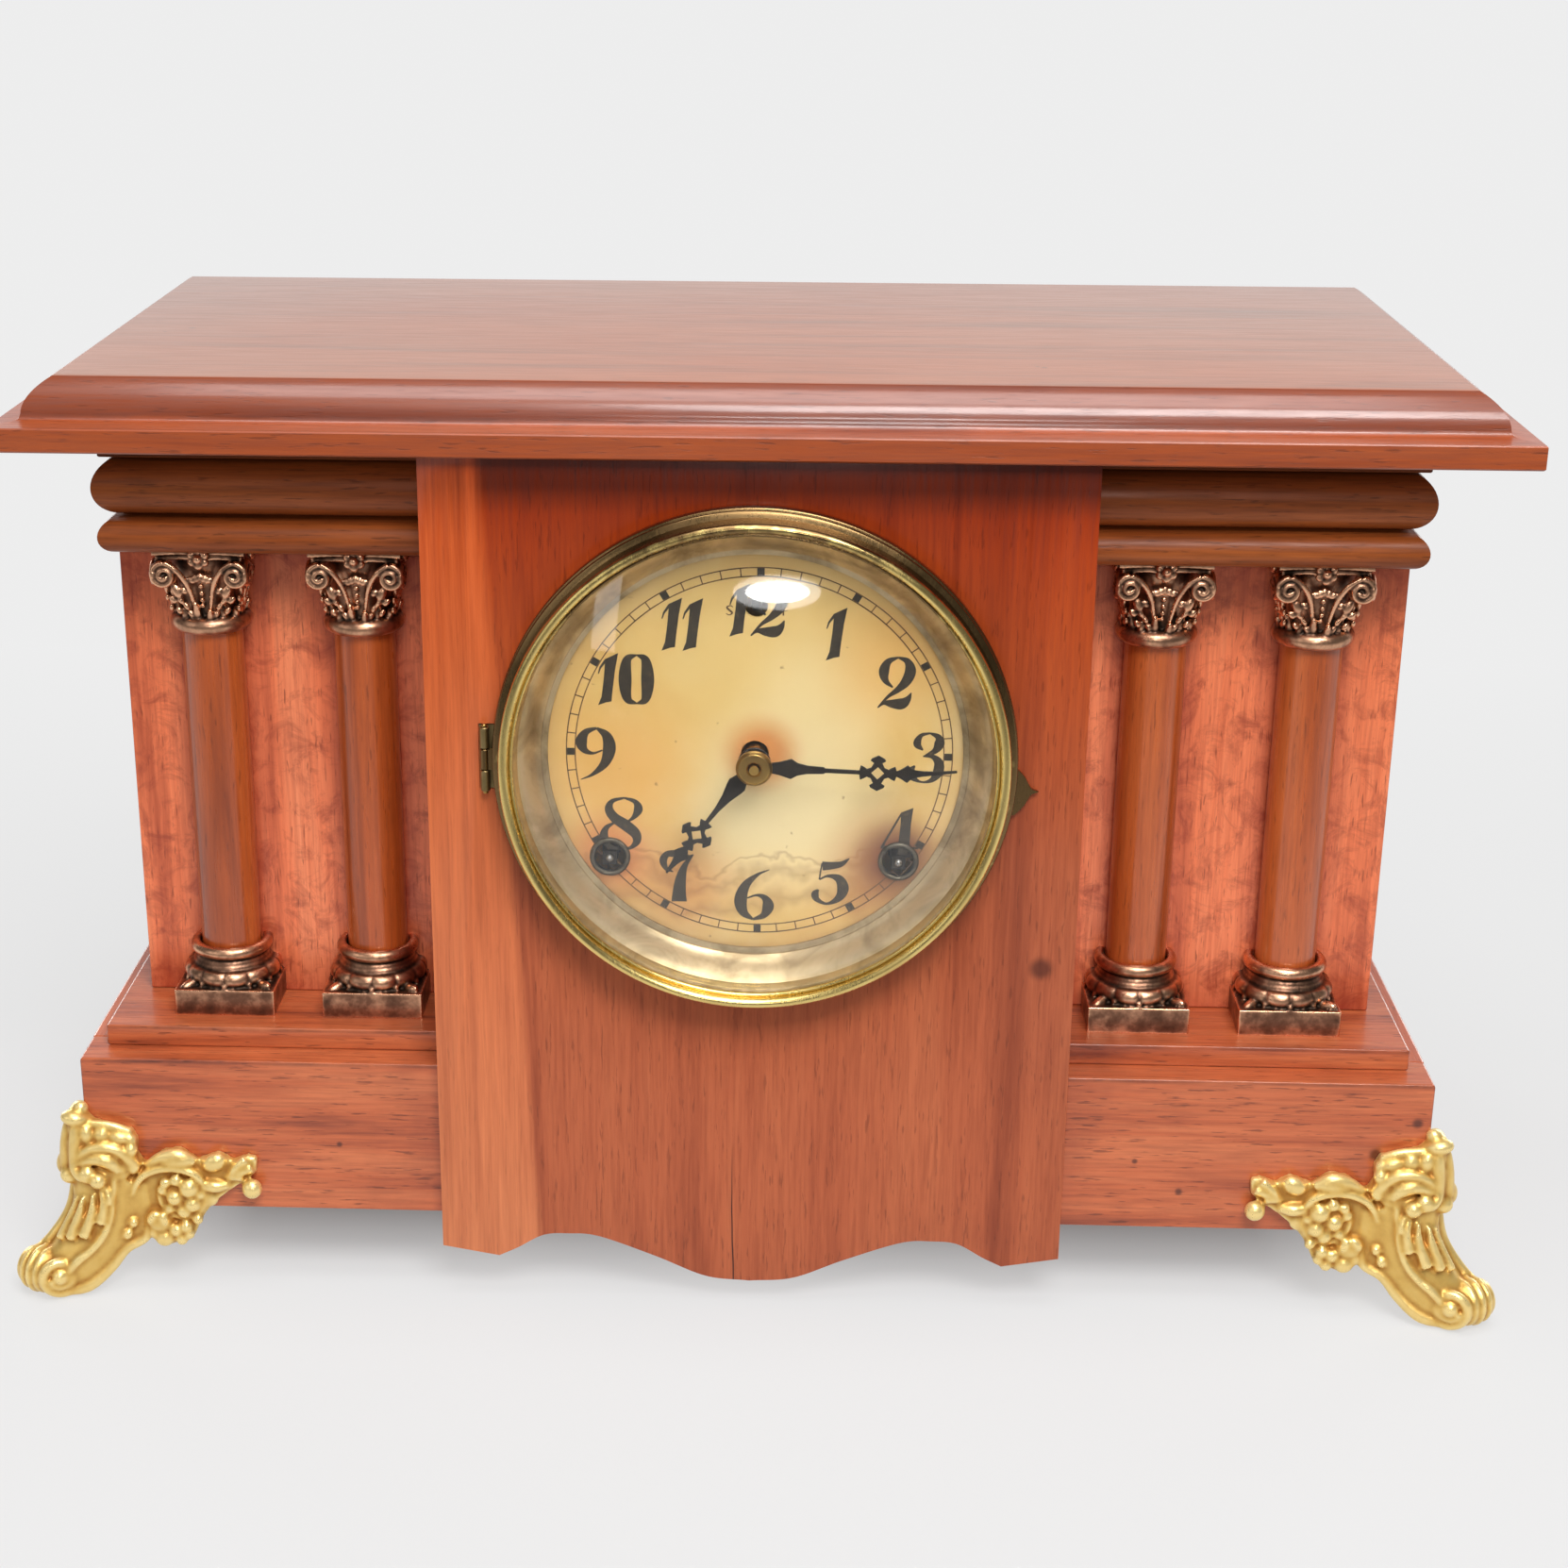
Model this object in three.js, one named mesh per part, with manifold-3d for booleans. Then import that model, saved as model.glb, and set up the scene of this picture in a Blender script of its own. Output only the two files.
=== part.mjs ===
// Column mantel clock: a wooden case on four cast feet, four engaged columns,
// a hinged convex-glass bezel and an eight-day time-and-strike movement.
// Millimetres, +Z up, +Y to the back. While modelling, the front face of the
// centre panel is y = 0; at the end the whole clock moves to its own origin.

import * as THREE from 'three';
import { mergeVertices } from 'three/addons/utils/BufferGeometryUtils.js';
import Module from 'manifold-3d';

const wasm = await Module();
wasm.setup();

// Driving dimensions: heights, from the floor up
const FOOT_LIFT = 28;
const BASE_HEIGHT = 52;
const STEP_THICKNESS = 7;
const COLUMN_HEIGHT = 153.5;
const FRIEZE_HEIGHT = 35.8;
const TOP_THICKNESS = 19.8;

// Driving dimensions: widths and depths
const TOP_WIDTH = 444;
const CASE_WIDTH = 396.4;
const BASE_WIDTH = 424.6;
const STEP_WIDTH = 412;
const PANEL_WIDTH = 196.4;
const PANEL_THICKNESS = 14.5;
const BASE_SETBACK = 4.6;
const RECESS_DEPTH = 43.4;
const CASE_BACK = 192.4;
const TOP_FRONT_OVERHANG = 3.8;
const BOARD = 10;
const BASE_FRONT_THICKNESS = 16;
const BASE_SIDE_THICKNESS = 12;
const BACK_THICKNESS = 9;

// Top board edge: fascia, cove, small step, quarter round
const FASCIA_HEIGHT = 6.6;
const COVE_WIDTH = 8.4;
const COVE_HEIGHT = 2.8;
const QUIRK = 0.8;
const OVOLO_WIDTH = 7.9;

// Frieze moulding
const SMALL_TORUS = 5.3;
const BIG_TORUS = 9;
const FRIEZE_DEPTH = 26.6;
const SMALL_TORUS_INSET = 0.7;
const LIP_INSET = 2.2;

// Centre panel's scalloped bottom, as heights above the floor
const SCALLOP_CORNER = 18.4;
const SCALLOP_FOOT = 15.2;
const SCALLOP_FOOT_WIDTH = 18;
const SCALLOP_ARCH = 23.7;
const SCALLOP_ARCH_AT = 58;
const SCALLOP_DROP = 8;

// Columns, placed by shares of the bay between centre panel and case end
const COLUMN_INNER_SHARE = 0.238;
const COLUMN_OUTER_SHARE = 0.713;
const COLUMN_STANDOFF = 4;
const SHAFT_RADIUS = 9.6;
const COLUMN_BASE_HEIGHT = 21.3;
const SOCKET_DEPTH = 3.2;
const CAPITAL_HEIGHT = 28;
const PLINTH_WIDTH = 32;
const PLINTH_HEIGHT = 8.5;
const VOLUTE_RADIUS = 4.4;
const VOLUTE_X = 11;

// Dial and bezel
const DIAL_OFFSET = 3.35;
const DIAL_RADIUS = 71;
const DIAL_DEPTH = 6;
const DIAL_SHEET = 0.8;
const DIAL_HOLE_RADIUS = 64;
const BEZEL_RADIUS = 78;
const BEZEL_DEPTH = 13.3;
const FLANGE_DEPTH = 6.5;
const GLASS_RADIUS = 71.8;
const GLASS_THICKNESS = 1.6;
const GLASS_RISE = 13;
const SIGHT_RADIUS = 63.4;
const HINGE_LENGTH = 20;
const HINGE_KNUCKLE = 1.8;
const HINGE_PIN = 0.8;
const LATCH_DROP = 8;
const WINDING_X = 43.7;
const WINDING_DROP = 33.6;
const WINDING_HOLE = 4.6;
const GROMMET_RADIUS = 6.2;
const REGULATOR_RISE = 46;
const REGULATOR_HOLE = 3.4;

// Hands, at a quarter past seven
const MINUTE_HAND_LENGTH = 60;
const HOUR_HAND_LENGTH = 44;
const MINUTE_HAND_ANGLE = 92;
const HOUR_HAND_ANGLE = 216.5;
const HAND_THICKNESS = 0.8;
const HOUR_HAND_PROUD = 1.7;
const MINUTE_HAND_PROUD = 5.2;
const COLLET_RADIUS = 5.4;

// Movement plates
const PLATE_FRONT = 25;
const PLATE_THICKNESS = 1.5;
const PLATE_SPACE = 40;
const PLATE_HALF_WIDTH = 54;
const PLATE_TOP = 57;
const PLATE_BOTTOM = 54;
const PLATE_CHAMFER = 10;
const MOVEMENT_MARGIN = 10;
const PIVOT = 1;
const ARBOR = 1.5;

// Going train: teeth and modules
const GREAT_TEETH = 48;
const SECOND_PINION = 8;
const SECOND_TEETH = 40;
const SECOND_MODULE = 0.9;
const CENTRE_PINION = 8;
const CENTRE_TEETH = 72;
const CENTRE_MODULE = 0.5;
const THIRD_PINION = 6;
const THIRD_TEETH = 75;
const THIRD_MODULE = 0.45;
const ESCAPE_PINION = 6;
const ESCAPE_TEETH = 36;
const ESCAPE_RADIUS = 13;
const PALLET_RISE = 17.5;
const PENDULUM_LENGTH = 110;
const BOB_RADIUS = 17;

// Motion work and strike train
const CANNON_TEETH = 8;
const MINUTE_WHEEL_TEETH = 24;
const MINUTE_PINION = 8;
const HOUR_TEETH = 32;
const MOTION_MODULE = 0.75;
const PIN_WHEEL_PINION = 8;
const PIN_WHEEL_TEETH = 40;
const PIN_WHEEL_MODULE = 0.85;
const FLY_PINION = 8;
const FLY_RADIUS = 10;
const GONG_RADIUS = 26;
const GONG_ROD = 3;
const GONG_TURNS = 3.5;

// Back cover and its opening
const ACCESS_RADIUS = 60;
const COVER_RADIUS = 66;
const COVER_SHEET = 1.2;

// Clearances
const GAP = 0.3;
const RUN = 0.3;

// Levels and planes worked out from the driving dimensions
const zBase = FOOT_LIFT;
const zStep = zBase + BASE_HEIGHT;
const zFloor = zStep + STEP_THICKNESS;
const zFrieze = zFloor + COLUMN_HEIGHT;
const zTop = zFrieze + FRIEZE_HEIGHT;
const dialZ = (zFloor + zTop) / 2 + DIAL_OFFSET;
const yRecess = RECESS_DEPTH;
const yBackBoard = CASE_BACK - BACK_THICKNESS;
const yPlateFront = PLATE_FRONT;
const yInside = yPlateFront + PLATE_THICKNESS;
const yPlateBack = yInside + PLATE_SPACE;
const yRear = yPlateBack + PLATE_THICKNESS;
const columnY = yRecess - COLUMN_STANDOFF;
const degrees = Math.PI / 180;

// Finishes
const finish = (color, roughness, metalness = 0) => ({ color, roughness, metalness });
const WOOD_TOP = finish('#97502f', 0.4);
const WOOD_PANEL = finish('#a9552f', 0.42);
const WOOD_RED = finish('#a93a24', 0.5);
const WOOD_DARK = finish('#66391f', 0.42);
const WOOD_SHAFT = finish('#84401f', 0.35);
const COPPER_BRONZE = finish('#6b4632', 0.42, 0.85);
const GILT = finish('#c8a33c', 0.4, 0.85);
const BRASS = finish('#a98a45', 0.38, 0.95);
const OLD_BRASS = finish('#7d6a3c', 0.5, 0.9);
const CREAM = finish('#e6cf95', 0.6);
const GLASS = finish('#e8eef0', 0.05);
const BLACK_STEEL = finish('#1f1c1a', 0.45, 0.6);
const STEEL = finish('#8a8c90', 0.35, 0.95);
const BLUE_STEEL = finish('#3d4450', 0.35, 0.9);
const TIN = finish('#8b8678', 0.5, 0.8);

const clock = new THREE.Group();

// Solids: a geometry with merged corners, faces turned outward
function solid(geometry) {
  const plain = geometry.clone();
  for (const name of Object.keys(plain.attributes)) {
    if (name !== 'position') plain.deleteAttribute(name);
  }
  const merged = mergeVertices(plain, 1e-4);
  const position = merged.attributes.position;
  const corners = [];
  let volume = 0;
  const [a, b, c] = [new THREE.Vector3(), new THREE.Vector3(), new THREE.Vector3()];
  for (let i = 0; i < merged.index.count; i += 3) {
    const triple = [0, 1, 2].map((k) => merged.index.getX(i + k));
    if (new Set(triple).size < 3) continue;
    corners.push(...triple);
    a.fromBufferAttribute(position, triple[0]);
    b.fromBufferAttribute(position, triple[1]);
    c.fromBufferAttribute(position, triple[2]);
    volume += a.dot(b.cross(c));
  }
  if (volume < 0) {
    for (let i = 0; i < corners.length; i += 3) {
      [corners[i], corners[i + 1]] = [corners[i + 1], corners[i]];
    }
  }
  return new wasm.Manifold(new wasm.Mesh({
    numProp: 3,
    vertProperties: new Float32Array(position.array),
    triVerts: new Uint32Array(corners),
  }));
}

const join = (...solids) => solids.reduce((whole, piece) => whole.add(piece));
const cut = (body, ...tools) => tools.reduce((rest, tool) => rest.subtract(tool), body);

function piece(name, body, look) {
  const mesh = body.getMesh();
  const geometry = new THREE.BufferGeometry();
  geometry.setAttribute('position', new THREE.BufferAttribute(new Float32Array(mesh.vertProperties), 3));
  geometry.setIndex(new THREE.BufferAttribute(new Uint32Array(mesh.triVerts), 1));
  geometry.computeVertexNormals();
  const node = new THREE.Mesh(geometry, new THREE.MeshStandardMaterial(look));
  node.name = name;
  clock.add(node);
}

// A box between two corners
function box(x0, x1, y0, y1, z0, z1) {
  const geometry = new THREE.BoxGeometry(x1 - x0, y1 - y0, z1 - z0);
  return solid(geometry.translate((x0 + x1) / 2, (y0 + y1) / 2, (z0 + z1) / 2));
}

// A shape drawn in x and z, extruded from front y0 to back y1
function alongY(shape, y0, y1, curveSegments = 8) {
  const geometry = new THREE.ExtrudeGeometry(shape, { depth: y1 - y0, bevelEnabled: false, curveSegments });
  return solid(geometry.rotateX(Math.PI / 2).translate(0, y1, 0));
}

// A shape drawn in y and z, extruded from x0 to x1
function alongX(shape, x0, x1, curveSegments = 8) {
  const geometry = new THREE.ExtrudeGeometry(shape, { depth: x1 - x0, bevelEnabled: false, curveSegments });
  const turn = new THREE.Matrix4().makeBasis(
    new THREE.Vector3(0, 1, 0), new THREE.Vector3(0, 0, 1), new THREE.Vector3(1, 0, 0));
  return solid(geometry.applyMatrix4(turn).translate(x0, 0, 0));
}

// A round bar along y
function barY(x, z, radius, y0, y1, sides = 10) {
  const geometry = new THREE.CylinderGeometry(radius, radius, y1 - y0, sides);
  return solid(geometry.translate(x, (y0 + y1) / 2, z));
}

// A hole along y whose flats, not corners, lie on the given radius
function boreY(x, z, radius, y0, y1, sides = 8) {
  return barY(x, z, radius / Math.cos(Math.PI / sides), y0, y1, sides);
}

// A round bar along z
function barZ(x, y, radius, z0, z1, sides = 10) {
  const geometry = new THREE.CylinderGeometry(radius, radius, z1 - z0, sides);
  return solid(geometry.rotateX(Math.PI / 2).translate(x, y, (z0 + z1) / 2));
}

// A turned profile of [radius, height] points, standing on z
function turnedZ(x, y, z, profile, sides) {
  const points = profile.map(([r, h]) => new THREE.Vector2(r, h));
  return solid(new THREE.LatheGeometry(points, sides).rotateX(Math.PI / 2).translate(x, y, z));
}

// A turned ring of [radius, y] points round the dial axis
function turnedDial(profile, sides) {
  const points = [...profile, profile[0]].map(([r, y]) => new THREE.Vector2(r, y));
  return solid(new THREE.LatheGeometry(points, sides).translate(0, 0, dialZ));
}

function polygon(points) {
  return new THREE.Shape(points.map(([u, v]) => new THREE.Vector2(u, v)));
}

const bothSides = [['left', -1], ['right', 1]];

// Top board: the moulded edge runs along the front and both ends, so the board
// is what the front profile and the end profile have in common.
function topEdge(shape, edge, inward) {
  const at = (inset, rise) => [edge + inward * inset, zTop + rise];
  const coveTop = FASCIA_HEIGHT + COVE_HEIGHT;
  const ovoloFoot = coveTop + QUIRK;
  shape.lineTo(...at(0, FASCIA_HEIGHT));
  shape.quadraticCurveTo(...at(COVE_WIDTH * 0.8, FASCIA_HEIGHT + COVE_HEIGHT * 0.2), ...at(COVE_WIDTH, coveTop));
  shape.lineTo(...at(COVE_WIDTH, ovoloFoot));
  const cornerControl = at(COVE_WIDTH + OVOLO_WIDTH * 0.08, TOP_THICKNESS - 1);
  shape.quadraticCurveTo(...cornerControl, ...at(COVE_WIDTH + OVOLO_WIDTH, TOP_THICKNESS));
}

function topBoard() {
  const front = -TOP_FRONT_OVERHANG;
  const back = CASE_BACK;
  const half = TOP_WIDTH / 2;
  const depthShape = new THREE.Shape();
  depthShape.moveTo(front, zTop);
  topEdge(depthShape, front, 1);
  depthShape.lineTo(back, zTop + TOP_THICKNESS);
  depthShape.lineTo(back, zTop);
  const leftEdge = new THREE.Shape();
  leftEdge.moveTo(-half, zTop);
  topEdge(leftEdge, -half, 1);
  leftEdge.lineTo(half, zTop + TOP_THICKNESS);
  leftEdge.lineTo(half, zTop);
  const rightEdge = new THREE.Shape();
  rightEdge.moveTo(half, zTop);
  topEdge(rightEdge, half, -1);
  rightEdge.lineTo(-half, zTop + TOP_THICKNESS);
  rightEdge.lineTo(-half, zTop);
  const across = alongX(depthShape, -half, half, 6);
  return across.intersect(alongY(leftEdge, front, back, 6)).intersect(alongY(rightEdge, front, back, 6));
}
piece('top_board', topBoard(), WOOD_TOP);

// Frieze moulding: a small and a big half round under a square lip, returned
// round the outer end by the same profile.
function friezeShape(plane, outward, far) {
  const at = (projection, rise) => [plane + outward * projection, zFrieze + rise];
  const smallAxis = FRIEZE_DEPTH - SMALL_TORUS_INSET - SMALL_TORUS;
  const bigAxis = FRIEZE_DEPTH - BIG_TORUS;
  const bigFoot = 2 * SMALL_TORUS + QUIRK;
  const lipFoot = bigFoot + 2 * BIG_TORUS + GAP;
  const shape = new THREE.Shape();
  shape.moveTo(far, zFrieze);
  shape.lineTo(...at(smallAxis, 0));
  const turnFrom = outward < 0 ? 1.5 * Math.PI : -0.5 * Math.PI;
  const turnTo = 0.5 * Math.PI;
  shape.absarc(...at(smallAxis, SMALL_TORUS), SMALL_TORUS, turnFrom, turnTo, outward < 0);
  shape.lineTo(...at(bigAxis, bigFoot));
  shape.absarc(...at(bigAxis, bigFoot + BIG_TORUS), BIG_TORUS, turnFrom, turnTo, outward < 0);
  shape.lineTo(...at(FRIEZE_DEPTH - LIP_INSET, lipFoot));
  shape.lineTo(...at(FRIEZE_DEPTH - LIP_INSET, FRIEZE_HEIGHT));
  shape.lineTo(far, zTop);
  return shape;
}

for (const [hand, sign] of bothSides) {
  const inner = sign * PANEL_WIDTH / 2;
  const endPlane = sign * (CASE_WIDTH / 2 - FRIEZE_DEPTH);
  const run = [inner, sign * CASE_WIDTH / 2].sort((p, q) => p - q);
  const front = alongX(friezeShape(yRecess, -1, yRecess), ...run, 6);
  const end = alongY(friezeShape(endPlane, sign, inner), yRecess - FRIEZE_DEPTH, yRecess, 6);
  piece(`frieze_${hand}`, front.intersect(end), WOOD_DARK);
}

// Case sides stand behind the front board on the step board
const sideFront = yRecess + BOARD;
for (const [hand, sign] of bothSides) {
  const xs = [sign * CASE_WIDTH / 2, sign * (CASE_WIDTH / 2 - BOARD)].sort((p, q) => p - q);
  piece(`side_${hand}`, box(...xs, sideFront, yBackBoard, zFloor, zTop), WOOD_TOP);
}

// Front board with the two cheeks that carry the centre panel forward, and the
// round opening that the movement passes through.
const cheekOuter = PANEL_WIDTH / 2;
const movementHole = Math.hypot(PLATE_HALF_WIDTH - PLATE_CHAMFER, PLATE_TOP) + MOVEMENT_MARGIN;
function frontBoard() {
  const board = box(-CASE_WIDTH / 2, CASE_WIDTH / 2, yRecess, sideFront, zFloor, zTop);
  const cheeks = bothSides.map(([, sign]) => {
    const xs = [sign * cheekOuter, sign * (cheekOuter - BOARD)].sort((p, q) => p - q);
    return box(...xs, PANEL_THICKNESS, yRecess, zFloor, zTop);
  });
  const opening = barY(0, dialZ, movementHole, yRecess - 1, sideFront + 1, 32);
  return cut(join(board, ...cheeks), opening);
}
piece('front_board', frontBoard(), WOOD_RED);

// Centre panel: scalloped foot, rebate for the dial, mortise for the hinge leaf
const hingeX = -(BEZEL_RADIUS + 2.3);
const hingeY = -2.4;
const leafSheet = 0.8;
const leafInner = DIAL_RADIUS + 2.2;
const leafOuter = -hingeX + 0.9;

function centerPanel() {
  const half = PANEL_WIDTH / 2;
  const footIn = half - SCALLOP_FOOT_WIDTH;
  const shape = new THREE.Shape();
  shape.moveTo(-half, zTop);
  shape.lineTo(-half, SCALLOP_CORNER);
  shape.lineTo(-footIn, SCALLOP_FOOT);
  const rise = (footIn - SCALLOP_ARCH_AT) * 0.45;
  const sweep = SCALLOP_ARCH_AT * 0.5;
  shape.bezierCurveTo(
    -footIn + rise, SCALLOP_ARCH - 3, -SCALLOP_ARCH_AT - rise, SCALLOP_ARCH, -SCALLOP_ARCH_AT, SCALLOP_ARCH);
  shape.bezierCurveTo(-SCALLOP_ARCH_AT + sweep * 0.9, SCALLOP_ARCH, -sweep, SCALLOP_DROP, 0, SCALLOP_DROP);
  shape.bezierCurveTo(sweep, SCALLOP_DROP, SCALLOP_ARCH_AT - sweep * 0.9, SCALLOP_ARCH, SCALLOP_ARCH_AT, SCALLOP_ARCH);
  shape.bezierCurveTo(
    SCALLOP_ARCH_AT + rise, SCALLOP_ARCH, footIn - rise, SCALLOP_ARCH - 3, footIn, SCALLOP_FOOT);
  shape.lineTo(half, SCALLOP_CORNER);
  shape.lineTo(half, zTop);
  const board = alongY(shape, 0, PANEL_THICKNESS, 6);
  const rebate = barY(0, dialZ, DIAL_RADIUS + 0.5, -1, DIAL_DEPTH + DIAL_SHEET, 32);
  const through = barY(0, dialZ, DIAL_HOLE_RADIUS, -1, PANEL_THICKNESS + 1, 32);
  const halfLeaf = HINGE_LENGTH / 2 + GAP;
  const mortise = box(
    -leafOuter - GAP, -leafInner + GAP, -1, leafSheet + 0.2, dialZ - halfLeaf, dialZ + halfLeaf);
  return cut(board, rebate, through, mortise);
}
piece('center_panel', centerPanel(), WOOD_PANEL);

// Base: front board notched for the centre panel, two sides, step board on top
const baseFrontBack = BASE_SETBACK + BASE_FRONT_THICKNESS;
const notch = box(-PANEL_WIDTH / 2, PANEL_WIDTH / 2, BASE_SETBACK - 1, PANEL_THICKNESS, zBase - 1, zStep + 1);
const baseFront = box(-BASE_WIDTH / 2, BASE_WIDTH / 2, BASE_SETBACK, baseFrontBack, zBase, zStep);
piece('base_front', cut(baseFront, notch), WOOD_TOP);
for (const [hand, sign] of bothSides) {
  const xs = [sign * BASE_WIDTH / 2, sign * (BASE_WIDTH / 2 - BASE_SIDE_THICKNESS)].sort((p, q) => p - q);
  piece(`base_${hand}`, box(...xs, baseFrontBack, yBackBoard, zBase, zStep), WOOD_TOP);
}
piece('step_board', box(-STEP_WIDTH / 2, STEP_WIDTH / 2, PANEL_THICKNESS, yBackBoard, zStep, zFloor), WOOD_TOP);

// Back board covers base, step and case, with a round access hole
const coverPivotRise = ACCESS_RADIUS + 3;
const coverPivot = 2;
function backBoard() {
  const [b, s, c] = [BASE_WIDTH / 2, STEP_WIDTH / 2, CASE_WIDTH / 2];
  const outline = polygon([
    [-b, zBase], [b, zBase], [b, zStep], [s, zStep], [s, zFloor], [c, zFloor], [c, zTop],
    [-c, zTop], [-c, zFloor], [-s, zFloor], [-s, zStep], [-b, zStep]]);
  const board = alongY(outline, yBackBoard, CASE_BACK);
  const access = barY(0, dialZ, ACCESS_RADIUS, yBackBoard - 1, CASE_BACK + 1, 32);
  const screwHole = boreY(0, dialZ + coverPivotRise, coverPivot + RUN, yBackBoard - 1, CASE_BACK + 1);
  return cut(board, access, screwHole);
}
piece('back_board', backBoard(), WOOD_DARK);

// Back cover: a tin disc that hangs on one screw
function backCover() {
  const face = CASE_BACK + GAP;
  const disc = barY(0, dialZ, COVER_RADIUS, face, face + COVER_SHEET, 32);
  const screw = barY(0, dialZ + coverPivotRise, coverPivot, yBackBoard + 2, face + COVER_SHEET);
  const head = barY(0, dialZ + coverPivotRise, coverPivot * 2, face + COVER_SHEET, face + 2 * COVER_SHEET);
  return join(disc, screw, head);
}
piece('back_cover', backCover(), TIN);

// Feet: a cast corner bracket with a leafy wing on the front or back of the base,
// a short return round the corner, a pad under the base and a scrolled leg that
// strides out from the corner to a rolled toe. Drawn for the front left corner.
const FOOT_WING = 55;
const FOOT_CROWN = 66;
const FOOT_RETURN = 16;
const FOOT_RELIEF = 5;
const TOE_RADIUS = 8;
const TOE_REACH = 16;
const TOE_FLAT = 0.8;
const LEG_WIDTH = 15;
const LEG_THICKNESS = 8.5;

function footWing() {
  const tip = FOOT_WING;
  const shape = new THREE.Shape();
  shape.moveTo(0, FOOT_CROWN - 3);
  shape.quadraticCurveTo(tip * 0.28, FOOT_CROWN - 3, tip * 0.3, FOOT_CROWN * 0.77);
  shape.lineTo(tip * 0.37, FOOT_CROWN * 0.7);
  shape.quadraticCurveTo(tip * 0.56, FOOT_CROWN * 0.82, tip * 0.69, FOOT_CROWN * 0.72);
  shape.quadraticCurveTo(tip * 0.85, FOOT_CROWN * 0.76, tip, FOOT_CROWN * 0.74);
  shape.quadraticCurveTo(tip * 1.04, FOOT_CROWN * 0.6, tip * 0.97, FOOT_CROWN * 0.5);
  shape.quadraticCurveTo(tip * 0.76, FOOT_CROWN * 0.54, tip * 0.66, FOOT_CROWN * 0.4);
  shape.quadraticCurveTo(tip * 0.62, FOOT_CROWN * 0.2, tip * 0.42, FOOT_CROWN * 0.2);
  shape.quadraticCurveTo(tip * 0.3, FOOT_CROWN * 0.24, tip * 0.22, FOOT_CROWN * 0.22);
  shape.lineTo(0, FOOT_CROWN * 0.3);
  return shape;
}

function footReturn() {
  const shape = new THREE.Shape();
  shape.moveTo(-FOOT_RELIEF, FOOT_CROWN - 3);
  shape.quadraticCurveTo(0, FOOT_CROWN + 3, FOOT_RETURN * 0.4, FOOT_CROWN - 2);
  shape.quadraticCurveTo(FOOT_RETURN, FOOT_CROWN * 0.8, FOOT_RETURN, FOOT_CROWN * 0.58);
  shape.quadraticCurveTo(FOOT_RETURN * 0.4, FOOT_CROWN * 0.5, -FOOT_RELIEF, FOOT_CROWN * 0.3);
  return shape;
}

// The leg's side view: distance out along the corner's diagonal, and height
function footLeg() {
  const knee = FOOT_CROWN * 0.62;
  const shape = new THREE.Shape();
  shape.moveTo(-2, knee + 6);
  shape.quadraticCurveTo(9, knee + 5, 6.5, knee - 6);
  shape.quadraticCurveTo(5, 2.4 * TOE_RADIUS, TOE_REACH, 2 * TOE_RADIUS);
  shape.lineTo(TOE_REACH, 0);
  shape.quadraticCurveTo(TOE_REACH - LEG_THICKNESS - 8, 1, -2, FOOT_LIFT - 6);
  return shape;
}

function footSolid() {
  const cornerX = -BASE_WIDTH / 2;
  const cornerY = BASE_SETBACK;
  const relief = FOOT_RELIEF;
  const wing = alongY(footWing(), -relief, 0, 3).translate([cornerX, cornerY, 0]);
  const sideWing = alongX(footReturn(), -relief, 0, 3).translate([cornerX, cornerY, 0]);
  const pad = box(cornerX, cornerX + 22, cornerY, cornerY + 22, FOOT_LIFT - 3, FOOT_LIFT);
  const padTie = box(cornerX, cornerX + 22, cornerY - 2, cornerY, FOOT_LIFT - 3, FOOT_LIFT);
  const half = LEG_WIDTH / 2;
  const legTurn = new THREE.Matrix4().makeRotationZ(-135 * degrees);
  const place = (geometry) => solid(geometry.applyMatrix4(legTurn).translate(cornerX, cornerY, 0));
  const legGeometry = new THREE.ExtrudeGeometry(footLeg(), { depth: LEG_WIDTH, bevelEnabled: false, curveSegments: 4 });
  const leg = place(legGeometry.rotateX(Math.PI / 2).translate(0, half, 0));
  const toeGeometry = new THREE.CylinderGeometry(TOE_RADIUS, TOE_RADIUS, LEG_WIDTH + 2, 10);
  const toe = place(toeGeometry.translate(TOE_REACH, 0, TOE_RADIUS - TOE_FLAT));
  const eyeGeometry = new THREE.SphereGeometry(4.2, 6, 4).scale(1, (half + 3.2) / 4.2, 1);
  const eye = place(eyeGeometry.translate(TOE_REACH, 0, TOE_RADIUS - TOE_FLAT));
  const bosses = [[0.55, 0.53, 7], [0.43, 0.34, 5.5], [0.97, 0.57, 3.6]].map(([u, v, radius]) => {
    const dome = new THREE.SphereGeometry(radius, 6, 4).scale(1, 0.55, 1);
    return solid(dome.translate(cornerX + u * FOOT_WING, cornerY - relief, v * FOOT_CROWN));
  });
  const case_ = box(cornerX, 0, cornerY, CASE_BACK, FOOT_LIFT, zStep);
  const floor = box(2 * cornerX, 0, -60, CASE_BACK, -5, 0);
  return cut(join(wing, sideWing, pad, padTie, leg, toe, eye, ...bosses), case_, floor);
}

const footBody = footSolid();
const baseMiddle = (BASE_SETBACK + CASE_BACK) / 2;
for (const [depth, back] of [['front', false], ['rear', true]]) {
  for (const [hand, sign] of bothSides) {
    let body = sign > 0 ? footBody.mirror([1, 0, 0]) : footBody;
    if (back) body = body.mirror([0, 1, 0]).translate([0, 2 * baseMiddle, 0]);
    piece(`foot_${depth}_${hand}`, body, GILT);
  }
}

// Columns, numbered from the left: turned shaft between cast base and capital,
// all cut flat where they meet the recessed front board.
const columnSides = 12;
const behindRecess = box(-CASE_WIDTH, CASE_WIDTH, yRecess, yRecess + 60, 0, zTop);

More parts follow.
